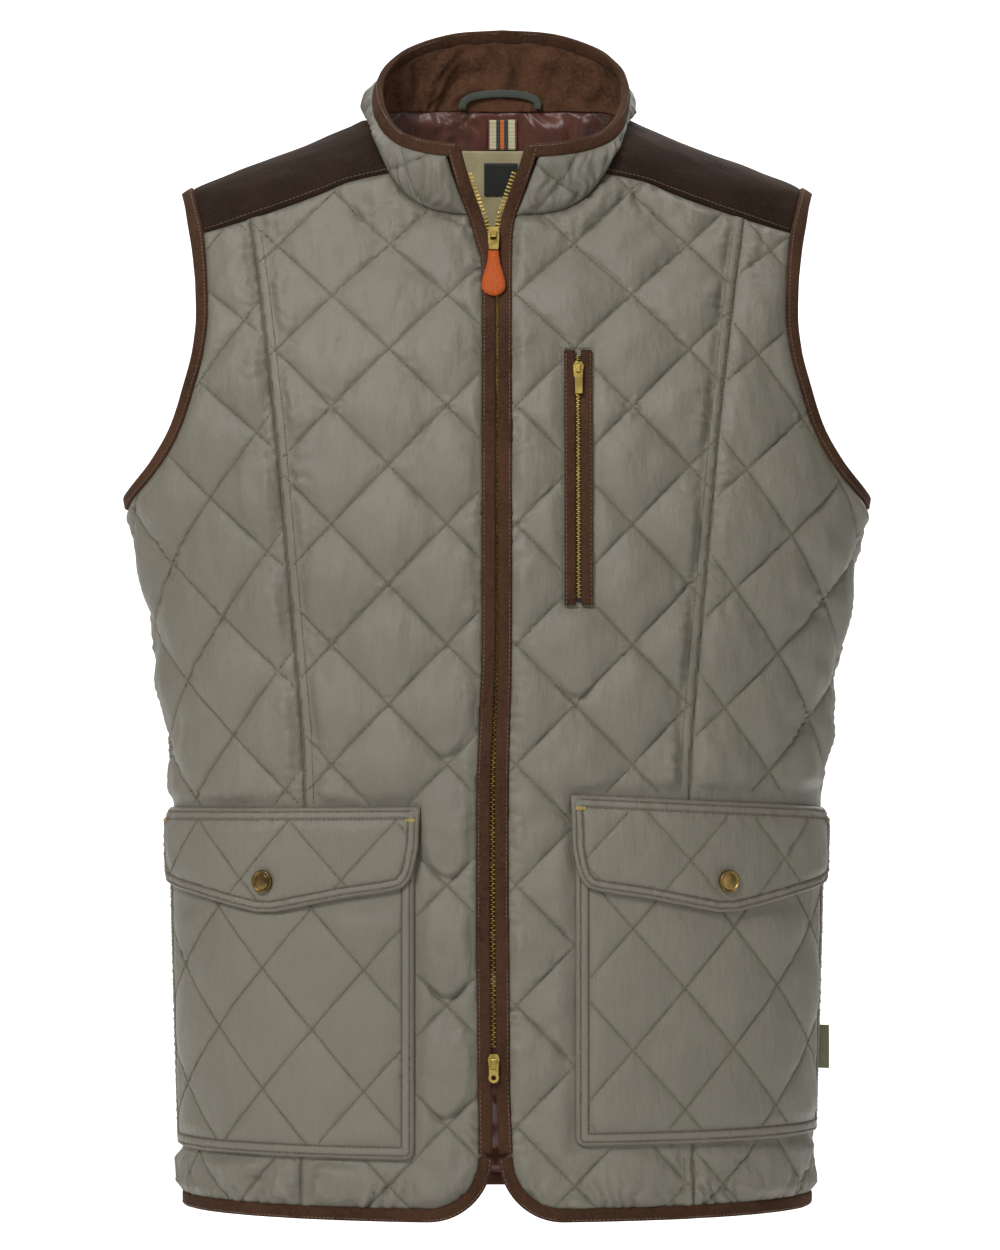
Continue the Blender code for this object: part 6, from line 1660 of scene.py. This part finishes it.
# Patch pockets
pocketLook = {"bagTop": -452.0, "corner": 6.0, "border": 9.0, "bagInside": 2.2, "bagOutside": 4.2,
              "bagPuff": 3.6, "halfWidth": 35.3, "halfHeight": 39.3, "flapHalf": 104.0, "flapSide": -482.0,
              "flapPoint": -501.0, "flapPuff": 2.6, "ramp": 13.0, "topLift": 2.1, "lift": 5.4, "facing": 0.9,
              "thickness": 2.1, "snap": -481.0, "flapBand": 7.5}
bagCreases = [(80, 238, 150, 226, 6, -1.2), (150, 100, 200, 92, 7, 1.1), (90, 70, 140, 78, 6, -1.0),
              (180, 190, 230, 160, 8, 0.9), (70, 180, 110, 150, 7, 0.8)]


def bagOutline(hand):
    pocket = pocketRows[hand]
    bottom, top = frontClimb(pocket["bottom"]), frontClimb(pocketLook["bagTop"])
    inner, outer, corner = pocket["inner"], pocket["outer"], pocketLook["corner"]
    points = [(inner, top), (inner, bottom + corner)]
    for turn in np.linspace(0, math.pi / 2, 7)[1:]:
        points.append((inner + corner * (1 - math.cos(turn)), bottom + corner * (1 - math.sin(turn))))
    for turn in np.linspace(0, math.pi / 2, 7):
        points.append((outer - corner * (1 - math.sin(turn)), bottom + corner * (1 - math.cos(turn))))
    points.append((outer, top))
    return closedOutline([(sides[hand] * a, c) for a, c in points])


def insetFlat(outline, distance, keep=None):
    # a line inside the outline at this distance from its edge
    tangent = np.roll(outline, -3, axis=0) - np.roll(outline, 3, axis=0)
    normal = unit(np.stack([-tangent[:, 1], tangent[:, 0]], axis=1))
    if shoelace(outline) < 0:
        normal = -normal
    line = outline + normal * distance
    line = line[(edgeDistance(outline, line) > distance - 0.25) & inside(outline, line)]
    return unbroken(line, keep(line) if keep else np.ones(len(line), bool), 5, 9)


# Rows of stitches round a pocket's pieces, in millimetres from the edge
borderRows = {"bag": (2.9, 8.2), "flap": (2.6, 7.0)}


def withBorderRows(points, outline, rows):
    # rows of points that follow the edge, closest together at the rows of stitches
    gaps = [row + step for row in rows for step in (-1.3, -0.8, -0.35, 0.0, 0.35, 0.8, 1.3)]
    gaps.append(sum(rows) / 2)
    lines = [part for gap in gaps for part in insetFlat(outline, gap)]
    return np.vstack([points[edgeDistance(outline, points) > max(gaps) + 0.7], *lines])


def rowGrooves(edge, rows):
    # 1 on a row of stitches and 0 away from it
    return sum(np.exp(-(((edge - row) / 0.85) ** 2)) for row in rows)


def borderFolds(points, edge, outline, reach):
    # short folds across the stitched border, at right angles to its edge
    low, high = outline.min(axis=0), outline.max(axis=0)
    sideGap = np.minimum(points[:, 0] - low[0], high[0] - points[:, 0])
    along = np.where(points[:, 1] - low[1] < sideGap, points[:, 0], points[:, 1])
    bend = lumpsOn(points, 40.0, 5.0)
    uneven = np.clip(0.6 + 0.7 * lumpsOn(points, 60.0, 2.0), 0.1, 1.3)
    folds = 0.4 * foldWave(along * 2 * math.pi / 6.5 + bend * 4) * uneven
    return folds * ease(edge / 2) * ease((reach - edge) / 6)


def pocketBag(hand):
    pocket = pocketRows[hand]
    outline = bagOutline(hand)
    quilt = quilting(lambda climb: 0.0 * climb, pocket["first"], frontClimb(pocket["row"]), 0.0,
                     pocketLook["halfWidth"], pocketLook["halfHeight"])
    outer = kept(quiltGrid(quilt, sides[hand], outline, 280, 17), outline, 1.5)
    outer = withBorderRows(outer, outline, borderRows["bag"])
    under = frontClimb(pocketLook["flapPoint"])
    shift = frontClimb(-660)

    def bagPaintedShade(points, edge):
        # painted shade in the stitched valleys inside the border and in the grooves of the border's rows
        return np.maximum(quiltValleyShade(quilt, points) * (edge > 8.0), 0.75 * rowGrooves(edge, borderRows["bag"]))

    def lift(points):
        edge = edgeDistance(outline, points)
        top = (frontClimb(pocketLook["bagTop"]) - points[:, 1]) < edge + 0.5
        edge = np.where(top, 30.0, edge)
        puff = quiltPuff(quilt, points, 7.7 + sides[hand]) * pocketLook["bagPuff"] / quiltLook["puff"]
        puff *= ease((edge - pocketLook["border"] + 0.5) / 8)
        moved = np.stack([np.abs(points[:, 0]), points[:, 1] - shift], axis=1)
        wrinkles = creases(moved, bagCreases) * ease((edge - 9) / 10)
        border = 0.8 * ease(edge / 1.5) * ease((pocketLook["border"] - 0.3 - edge) / 1.3)
        ripple = borderFolds(points, edge, outline, 14.0)
        below = ease((under + 4 - points[:, 1]) / 16)
        soft = pocketLook["bagOutside"] + (puff + wrinkles) * below + border + ripple
        soft = soft - 0.5 * rowGrooves(edge, borderRows["bag"])
        return soft - 1.7 * np.exp(-((edge / 1.2) ** 2))

    made = sheetObject("pocketBag" + hand, outline, outer, onFace("front"), lift,
                       lambda points: np.full(len(points), pocketLook["bagInside"] - 0.4), [shell], 6.0,
                       lambda points: bagPaintedShade(points, edgeDistance(outline, points)))
    below = frontClimb(pocketLook["bagTop"]) - 3
    lines = quiltLines(quilt, sides[hand], outline, 300, lambda points: (points[:, 1] < below)
                       & (edgeDistance(outline, points) > pocketLook["border"] - 0.6))
    thread = flatStitches("bagQuiltThread" + hand, "front", lines, quiltStitch, quiltThread, lift)
    rows = []
    for inset in borderRows["bag"]:
        rows += insetFlat(outline, inset, lambda line: line[:, 1] < below)
    borderThread = flatStitches("bagBorderThread" + hand, "front", rows, edgeStitch, edgeThread, lift)
    finishPiece(made, ["pocket_bag_" + hand], "shell", [thread, borderThread])


def flapOutline(hand):
    pocket = pocketRows[hand]
    inner, outer = pocket["snap"] - pocketLook["flapHalf"], pocket["snap"] + pocketLook["flapHalf"]
    side, point = frontClimb(pocketLook["flapSide"]), frontClimb(pocketLook["flapPoint"])
    low = side - 0.35 * (side - point)
    middle = pocket["snap"]
    points = [(inner, frontClimb(pocket["topInner"])), (inner + 1, side + 24), (inner + 4, side + 9),
              (inner + 8, side + 1), (inner + 16, side - 4), (inner + 50, low - 3), (middle - 12, point + 1),
              (middle, point), (middle + 12, point + 1), (outer - 50, low - 3), (outer - 16, side - 4),
              (outer - 6, side - 1), (outer - 1, side + 9), (outer, side + 24),
              (outer - 2, frontClimb(pocket["topOuter"]))]
    bottom = resample(smoothPath(points[1:-1], 160), 150).tolist()
    return closedOutline([(sides[hand] * a, c) for a, c in [points[0]] + bottom + [points[-1]]])


def flapTop(hand, along):
    pocket = pocketRows[hand]
    share = (np.abs(along) - pocket["inner"]) / (pocket["outer"] - pocket["inner"])
    return frontClimb(pocket["topInner"]) * (1 - share) + frontClimb(pocket["topOuter"]) * share


def flapBase(hand, points):
    ramp = ease((flapTop(hand, points[:, 0]) - points[:, 1]) / pocketLook["ramp"])
    return pocketLook["topLift"] + (pocketLook["lift"] - pocketLook["topLift"]) * ramp


def pocketFlap(hand):
    pocket = pocketRows[hand]
    outline = flapOutline(hand)
    quilt = quilting(lambda climb: 0.0 * climb, pocket["flapFirst"], frontClimb(pocket["flapRow"]), 0.0,
                     pocketLook["halfWidth"], quiltLook["halfHeight"])
    outer = kept(quiltGrid(quilt, sides[hand], outline, 280, 17), outline, 1.4)
    outer = withBorderRows(outer, outline, borderRows["flap"])
    snapClimb = frontClimb(pocketLook["snap"])
    middle = pocketLook["facing"] + 0.15

    def belowTop(points):
        return flapTop(hand, points[:, 0]) - points[:, 1]

    def fromSnap(points):
        return np.hypot(np.abs(points[:, 0]) - pocket["snap"], points[:, 1] - snapClimb)

    def flapPaintedShade(points, edge):
        # painted shade in the stitched valleys inside the border and in the grooves of the border's rows
        rows = 0.75 * rowGrooves(edge, borderRows["flap"])
        return np.maximum(0.8 * quiltValleyShade(quilt, points) * (edge > 6.0), rows)

    def lift(points):
        edge = edgeDistance(outline, points)
        fromTop, near = belowTop(points), fromSnap(points)
        puff = quiltPuff(quilt, points, 9.1 + sides[hand]) * pocketLook["flapPuff"] / quiltLook["puff"]
        puff *= ease((edge - 6.2) / 6) * ease((near - 7) / 9)
        puff *= ease((fromTop - pocketLook["flapBand"] - 1.5) / 6)
        rim = 0.55 * ease(edge / 1.4) * ease((6.6 - edge) / 1.2)
        band = 0.7 * ease(edge / 1.3) * ease((pocketLook["flapBand"] + 0.6 - fromTop) / 1.2)
        soft = 0.5 * lumps(points[:, 0] * 2.4, points[:, 1], 40.0, 8.0)
        ripple = soft * ease(edge / 5) * ease((near - 6) / 8) + borderFolds(points, edge, outline, 11.0)
        total = flapBase(hand, points) + middle + pocketLook["thickness"] + puff
        total = total + np.maximum(rim, band) + ripple - 0.45 * rowGrooves(edge, borderRows["flap"])
        return total - 1.5 * np.exp(-((edge / 1.0) ** 2))

    made = sheetObject("pocketFlap" + hand, outline, outer, onFace("front"), lift,
                       lambda points: flapBase(hand, points) + middle, [shell], 5.0,
                       lambda points: flapPaintedShade(points, edgeDistance(outline, points)))
    fine = kept(gridPoints(outline, 5.0), outline, 2.0)
    facing = sheetObject("flapFacing" + hand, outline, fine, onFace("front"),
                         lambda points: flapBase(hand, points) + pocketLook["facing"],
                         lambda points: flapBase(hand, points), [bindingSuede], 5.0)
    lines = quiltLines(quilt, sides[hand], outline, 300, lambda points: (fromSnap(points) > 9)
                       & (edgeDistance(outline, points) > 6.7)
                       & (belowTop(points) > pocketLook["flapBand"] + 0.4))
    thread = flatStitches("flapQuiltThread" + hand, "front", lines, quiltStitch, quiltThread, lift)
    rows = []
    for inset, gap in zip(borderRows["flap"], (0.5, pocketLook["flapBand"])):
        rows += insetFlat(outline, inset, lambda line, gap=gap: belowTop(line) > gap)
    along = np.linspace(pocket["snap"] - 101.5, pocket["snap"] + 101.0, 80) * sides[hand]
    rows.append(np.stack([along, flapTop(hand, along) - pocketLook["flapBand"] - 0.5], axis=1))
    edgeLine = flatStitches("flapEdgeThread" + hand, "front", rows, edgeStitch, edgeThread, lift)
    # bartacks at both ends of the band
    tacks = []
    for reach in (-101.0, 95.0):
        for k in range(9):
            x = (pocket["snap"] + reach + k * 0.75) * sides[hand]
            top = float(flapTop(hand, np.array([x]))[0]) - pocketLook["flapBand"] - 1.6
            tacks.append(oneStitch(np.array((x, top - 0.2)), np.array((x + 0.1, top + 2.2))))
    tack = flatStitches("bartack" + hand, "front", tacks, tackStitch, bartackThread, lift)
    finishPiece(made, ["pocket_flap_" + hand], "shell", [thread, edgeLine, tack])
    finishPiece(facing, ["flap_facing_" + hand], "suede")


def oneStitch(start, end):
    # a short line long enough for exactly one stitch
    return np.array([start - (end - start) * 0.35, start, end, end + (end - start) * 0.2])


for each in "RL":
    pocketBag(each)
    pocketFlap(each)
print("pockets made")


# Round caps and other turned pieces
def frameAt(face, along, climb, lift):
    point = lifted(face, np.array([along]), np.array([climb]), np.array([lift]))[0]
    normal = Vector(outward(face, np.array([along]), np.array([climb]))[0])
    sideways = Vector((1, 0, 0))
    sideways = (sideways - normal * sideways.dot(normal)).normalized()
    upward = normal.cross(sideways).normalized()
    matrix = Matrix((sideways, upward, normal)).transposed().to_4x4()
    matrix.translation = Vector(point)
    return matrix


def turnedObject(name, matrix, profile, material, segments=56):
    points = [matrix @ Vector((0, 0, profile[0][1]))]
    for radius, rise in profile[1:]:
        for k in range(segments):
            turn = 2 * math.pi * k / segments
            points.append(matrix @ Vector((radius * math.cos(turn), radius * math.sin(turn), rise)))
    points.append(matrix @ Vector((0, 0, profile[-1][1])))
    faces = [(0, 1 + k, 1 + (k + 1) % segments) for k in range(segments)]
    for r in range(len(profile) - 2):
        for k in range(segments):
            m = (k + 1) % segments
            a, b = 1 + r * segments, 1 + (r + 1) * segments
            faces.append((a + k, b + k, b + m, a + m))
    last = 1 + (len(profile) - 2) * segments
    faces += [(len(points) - 1, last + (k + 1) % segments, last + k) for k in range(segments)]
    return newObject(name, points, faces, [material])


# Radius and height of the cap from its middle outwards
snapProfile = [(0, 2.75), (1.6, 2.72), (3.4, 2.55), (4.9, 2.2), (5.5, 1.9), (5.75, 2.15), (6.2, 2.75),
               (6.75, 2.95), (7.2, 2.7), (7.4, 2.0), (7.35, 0.9), (6.9, 0.1), (6.4, 0.0)]


def pocketSnap(hand):
    pocket = pocketRows[hand]
    lift = pocketLook["lift"] + pocketLook["facing"] + 0.3 + pocketLook["thickness"] + 0.1
    matrix = frameAt("front", sides[hand] * pocket["snap"], frontClimb(pocketLook["snap"]), lift)
    made = turnedObject("pocketSnap" + hand, matrix, snapProfile, darkBrass)
    finishPiece(made, ["pocket_snap_" + hand], "dark_brass", sheet=False)


for each in "RL":
    pocketSnap(each)


# Chest pocket
def surfacePath(sideAt, heights):
    along = np.array([alongOf("front", sideAt(height), height) for height in heights])
    climb = climbOf("front", heights)
    return surface("front", along, climb), outward("front", along, climb)


def toothStrip(name, path, normals, look, material, slotName, nodes, body=root):
    # rows of small metal teeth along a path; alternate teeth lean to either side
    run = runAlong(path)
    at = np.arange(look["pitch"], run[-1] - look["pitch"] / 2, look["pitch"])
    centre = readAt(at, run, path)
    tangent = unit(readAt(at + 0.5, run, path) - centre)
    normal = unit(readAt(at, run, normals))
    across = unit(np.cross(tangent, normal))
    lean = np.where(np.arange(len(at)) % 2 == 0, 1.0, -1.0) * look["lean"]
    middle = centre + across * lean[:, None] + normal * look["lift"]
    w, t, h = look["width"] / 2, look["thick"] / 2, look["height"] / 2
    rings = ((1, 1, -h), (0.9, 0.8, h * 0.7), (0.55, 0.3, h))
    shape = [(w * wide * x, t * thick * y, z) for wide, thick, z in rings
             for x, y in ((-1, -1), (1, -1), (1, 1), (-1, 1))]
    points = np.stack([middle + across * x + tangent * y + normal * z for x, y, z in shape], axis=1)
    made = newObject(name, points.reshape(-1, 3), barFaces(3, len(at)), [material])
    for polygon in made.data.polygons:
        polygon.use_smooth = False
    finishPiece(made, nodes, slotName, sheet=False, body=body)
    return made


def doubled(made):
    # a narrow strip is cut twice as wide as it shows and folded along its middle
    width, length, area = made["flatSize"]
    made["flatSize"] = [width * 2, length, area]


chestTeethLook = {"pitch": 1.25, "lean": 0.35, "lift": 2.5, "width": 2.0, "thick": 0.8, "height": 1.2}


def chestPocket():
    width = (welt["outer"] - welt["inner"] - welt["gap"]) / 2
    middle = (welt["outer"] + welt["inner"]) / 2
    heights = np.arange(welt["bottom"], welt["top"] + 0.1, 3.0)
    for name, side, node in (("chestWeltInner", welt["inner"] + width / 2, "chest_welt_inner"),
                             ("chestWeltOuter", welt["outer"] - width / 2, "chest_welt_outer")):
        path, normals = surfacePath(lambda height, side=side: side, heights)
        path = wavered(path, normals * 0.5, side)
        made = sweepObject(name, path, normals, roundProfile(width, 1.2, 3.9, 1.5), [bindingSuede])
        doubled(made)
        insets = [(-width / 2 + 1.2, 3.6)] if "Inner" in name else [(width / 2 - 1.2, 3.6)]
        thread = bindingStitches(name + "Thread", path, normals, insets)
        finishPiece(made, [node], "suede", [thread])
    # frame of stitches on the shell round the welts
    beside = 1.6
    inner, outer = welt["inner"] - beside, welt["outer"] + beside
    bottom, top = welt["bottom"] - beside, welt["top"] + beside
    corners = [(alongOf("front", side, height), frontClimb(height))
               for side, height in ((inner, bottom), (outer, bottom), (outer, top), (inner, top))]
    thread = flatStitches("chestFrameThread", "front", [closedOutline(corners, 3.0)], edgeStitch, quiltThread,
                          lambda flat: np.full(len(flat), size["panelOutside"]))
    tape = surfacePath(lambda height: middle, np.arange(welt["bottom"] + 2, welt["top"] - 1, 4.0))
    made = sweepObject("chestTape", *tape, roundProfile(welt["gap"] + 2.2, 1.3, 1.9, 1.2, 8), [zipTape])
    doubled(made)
    finishPiece(made, [], "zip_tape")
    path, normals = surfacePath(lambda height: middle, np.arange(welt["bottom"] + 4, welt["top"] - 3, 2.0))
    toothStrip("chestTeeth", path, normals, chestTeethLook, teethBrass, "brass", ["chest_zip_chain"])


chestPocket()
print("chest pocket made")


# Centre zip
zipLook = {"pitch": 1.5, "lean": 0.6, "lift": -1.9, "width": 2.6, "thick": 0.95, "height": 1.9}
openLook = dict(zipLook, pitch=2.5, lean=0.0, lift=-1.6, width=3.6, thick=1.25)
zipPlace = {"chainTop": -68.0, "chainBottom": -588.0, "tapeBottom": -622.0, "tapeLift": -3.8,
            "tapeWidth": 12.0, "tapeHalf": 0.5, "tapeInset": 6.7, "tapeBeside": 7.8, "parting": -74,
            "openFrom": -66, "openInset": -1.8}


def centreSide(height):
    return float(edgeAt["R"](height) + edgeAt["L"](height)) / 2


def zipPieces():
    heights = np.arange(zipPlace["chainBottom"], zipPlace["chainTop"], 3.0)
    path, normals = surfacePath(centreSide, heights)
    toothStrip("zipChain", path, normals, zipLook, teethBrass, "brass", ["zip_chain"])
    for hand in "RL":
        # the tape leaves the chain and follows the binding above the slider
        inset = zipPlace["tapeInset"]
        heights = heightsFrom(zipPlace["tapeBottom"], 5.0)
        blend = ease((heights - zipPlace["parting"]) / 10)
        centre = np.array([centreSide(height) for height in heights]) + sides[hand] * zipPlace["tapeBeside"]
        along = centre * (1 - blend) + besideEdge(hand, heights, inset) * blend
        path, normals = upTheFront(hand, along, heights, np.linspace(0.06, 0.9, 14), inset)
        low, high = [zipPlace["tapeLift"] + way * zipPlace["tapeHalf"] for way in (-1, 1)]
        profile = roundProfile(zipPlace["tapeWidth"], low, high, 1.3, 12)
        made = sweepObject("zipTape" + hand, path, normals, profile, [zipTape])
        finishPiece(made, ["zip_tape_" + hand], "zip_tape")
        heights, inset = np.arange(zipPlace["openFrom"], -47, 2.0), zipPlace["openInset"]
        along = besideEdge(hand, heights, inset)
        path, normals = upTheFront(hand, along, heights, np.linspace(0.06, 0.62, 12), inset)
        toothStrip("zipTeeth" + hand, path, normals, openLook, teethBrass, "brass", ["zip_teeth_" + hand])


zipPieces()

def softEdges(node, material, width, segments, angle=30):
    # a solid of the frame that stays gets its finish and rounded edges
    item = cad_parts[node]
    item.data.materials.clear()
    item.data.materials.append(material)
    bevel = item.modifiers.new("softEdges", "BEVEL")
    bevel.width = width * mm
    bevel.segments = segments
    bevel.limit_method = "ANGLE"
    bevel.angle_limit = math.radians(angle)


for each in ("zip", "chest_zip", "zip_lower"):
    for part in ("slider", "pull"):
        softEdges(each + "_" + part, brass, 0.22, 2, 35)


# Leather tab on the top pull
tabLook = {"length": 34.0, "start": 12.3, "slider": -60.5, "hinge": 3.1 + 1.4 + 1.6, "low": -2.2, "high": 0.7,
           "shape": [(0.0, 3.4), (0.25, 4.2), (0.5, 6.2), (0.68, 7.6), (0.8, 7.8), (0.9, 6.6), (0.97, 4.0),
                     (1.0, 1.2)]}


def pullTab():
    side = centreSide(tabLook["slider"])
    along = alongOf("front", side, tabLook["slider"])
    matrix = frameAt("front", along, frontClimb(tabLook["slider"]), tabLook["hinge"])
    normal = matrix.col[2].to_3d()
    sideways = Vector((1, 0, 0))
    normal = (normal - sideways * normal.x).normalized()
    turned = Matrix((sideways, normal.cross(sideways), normal)).transposed().to_4x4()
    turned.translation = matrix.translation
    share = np.concatenate([np.linspace(0, 0.9, 30), np.linspace(0.9, 1.0, 12)[1:]])
    width = curveThrough(tabLook["shape"])(share)
    right = np.stack([width, -tabLook["start"] - share * tabLook["length"]], axis=1)
    outline = closedOutline(np.vstack([right, right[::-1] * [-1, 1]]).tolist(), 1.0)
    middle = (tabLook["low"] + tabLook["high"]) / 2
    half = (tabLook["high"] - tabLook["low"]) / 2
    grid = kept(gridPoints(outline, 0.9), outline, 0.5)

    def put(x, y, lift):
        return np.array([turned @ Vector((float(a), float(b), float(c))) for a, b, c in zip(x, y, lift)])

    def dome(points):
        edge = edgeDistance(outline, points)
        groove = 0.28 * np.exp(-(((edge - 1.5) / 0.35) ** 2))
        return middle + half * (1 - np.exp(-edge / 0.45) * 0.75) + 0.35 * ease(edge / 6) - groove

    made = sheetObject("pullTab", outline, grid, put, dome, lambda points: 2 * middle - dome(points),
                       [tabLeather], 1.2)
    finishPiece(made, ["zip_pull_tab"], "leather", sheet=False, body="top_pull")
    centres, ways = zip(*[stitchRun(part, 1.9) for part in insetFlat(outline, 1.5)])
    flat, way = np.vstack(centres), unit(np.vstack(ways))
    lift = dome(flat) + 0.1
    middlePoints = put(flat[:, 0], flat[:, 1], lift)
    ahead = put(flat[:, 0] + way[:, 0] * 0.3, flat[:, 1] + way[:, 1] * 0.3, lift)
    above = np.tile(np.array(normal), (len(flat), 1))
    thread = stitchObject("tabThread", middlePoints, ahead - middlePoints, above,
                          {"length": 1.3, "radius": 0.2}, tabLeather, "top_pull")


pullTab()
print("zip made")


# Inside the neck
def neckPieces():
    turn = np.linspace(0, math.pi, 40)
    around = 27 * np.cos(turn) + 2
    share = 0.03 + 0.2 * np.sin(turn) ** 0.6
    path, normals = collarBase(around, share), collarNormal(around, share)
    profile = roundProfile(5.0, -5.2, -4.1, 1.3, 12)
    made = sweepObject("hangerLoop", path, normals, profile, [greenTape])
    doubled(made)
    finishPiece(made, ["hanger_loop"], "green_tape")
    for name, node, x0, x1, low, high, lift, material, slotName in (
            ("neckTape", "neck_tape", -6, 14, 14.0, 34.0, -2.3, stripes, "stripe"),
            ("neckLabel", "neck_label", -27, 31, -38.0, 13.0, -2.3, cream, "cream"),
            ("neckLabelPatch", "neck_label_patch", -9, 14, -16.0, 5.0, -3.6, patchCloth, "dark_patch")):
        corners = [(x0, low), (x1, low), (x1, high), (x0, high)]
        outline = closedOutline([(x, float(climbOf("back", z))) for x, z in corners], 2.0)
        fine = kept(gridPoints(outline, 2.0), outline, 0.9)

        def lifts(points, lift=lift):
            return lift - 0.35 * lumpsOn(points, 30.0, 1.5)

        made = sheetObject(name, outline, fine, onFace("back"), lifts,
                           lambda points, lift=lift: lifts(points, lift) - 0.6, [material], 2.5)
        finishPiece(made, [node], slotName)


neckPieces()


softEdges("side_label", labelCloth, 0.4, 3)
print("labels made")


# Camera, light and floor
view = {"distance": 3.1, "height": -0.36, "lens": 133.2, "shiftX": 0.0024, "shiftY": 0.0561}
camera = bpy.data.objects.new("camera", bpy.data.cameras.new("camera"))
bpy.context.scene.collection.objects.link(camera)
camera.data.lens = view["lens"]
camera.data.sensor_width = 36.0
camera.data.shift_x = view["shiftX"]
camera.data.shift_y = view["shiftY"]
camera.location = (0, -view["distance"], view["height"])
camera.rotation_euler = (math.radians(90), 0, 0)
bpy.context.scene.camera = camera

lightLook = {
    "key": {"place": (-1.2, -2.15, 1.45), "aim": (0, 0, -0.35), "size": 0.7, "power": 80},
    "fill": {"place": (1.9, -2.2, 0.0), "aim": (0, 0, -0.4), "size": 1.8, "power": 12},
    "top": {"place": (0.0, -0.2, 1.9), "aim": (0, 0, 0), "size": 1.4, "power": 16},
    "rear": {"place": (0.7, 1.5, 0.9), "aim": (0, 0, -0.2), "size": 1.4, "power": 16},
    "backdrop": {"place": (0.0, 2.2, 3.2), "aim": (0, 4.5, -0.2), "size": 3.0, "power": 190},
    "world": 0.3,
}


def addLight(name, look):
    light = bpy.data.lights.new(name, "AREA")
    light.size = look["size"]
    light.energy = look["power"]
    made = bpy.data.objects.new(name, light)
    made.location = look["place"]
    way = Vector(look["aim"]) - Vector(look["place"])
    made.rotation_euler = way.to_track_quat("-Z", "Y").to_euler()
    bpy.context.scene.collection.objects.link(made)


for each in ("key", "fill", "top", "rear", "backdrop"):
    addLight(each, lightLook[each])
world = bpy.data.worlds.new("studio")
bpy.context.scene.world = world
world.use_nodes = True
world.node_tree.nodes["Background"].inputs["Color"].default_value = (1, 1, 1, 1)
world.node_tree.nodes["Background"].inputs["Strength"].default_value = lightLook["world"]
bpy.context.scene.view_settings.view_transform = "Standard"

floorLook = {"height": -0.95, "front": -5.0, "back": 3.8, "bend": 1.0, "wall": 3.6, "width": 6.0,
             "color": (0.93, 0.93, 0.92)}


def floorRows():
    # the floor runs back and turns up into the wall in one curve
    rows = [(floorLook["front"], floorLook["height"])]
    for turn in np.linspace(0, math.pi / 2, 17):
        rows.append((floorLook["back"] + floorLook["bend"] * math.sin(turn),
                     floorLook["height"] + floorLook["bend"] * (1 - math.cos(turn))))
    return rows + [(floorLook["back"] + floorLook["bend"], floorLook["wall"])]


floorMesh = bpy.data.meshes.new("floor")
floorPoints = [(side * floorLook["width"], y, z) for y, z in floorRows() for side in (-1, 1)]
floorFaces = [(2 * i, 2 * i + 1, 2 * i + 3, 2 * i + 2) for i in range(len(floorPoints) // 2 - 1)]
floorMesh.from_pydata(floorPoints, [], floorFaces)
floorMesh.shade_smooth()
floorMaterial = bpy.data.materials.new("floor")
floorMaterial.use_nodes = True
floorMaterial.node_tree.nodes["Principled BSDF"].inputs["Base Color"].default_value = (*floorLook["color"], 1)
floorMaterial.node_tree.nodes["Principled BSDF"].inputs["Roughness"].default_value = 0.9
floorMesh.materials.append(floorMaterial)
floor = bpy.data.objects.new("floor", floorMesh)
bpy.context.scene.collection.objects.link(floor)

print("done")
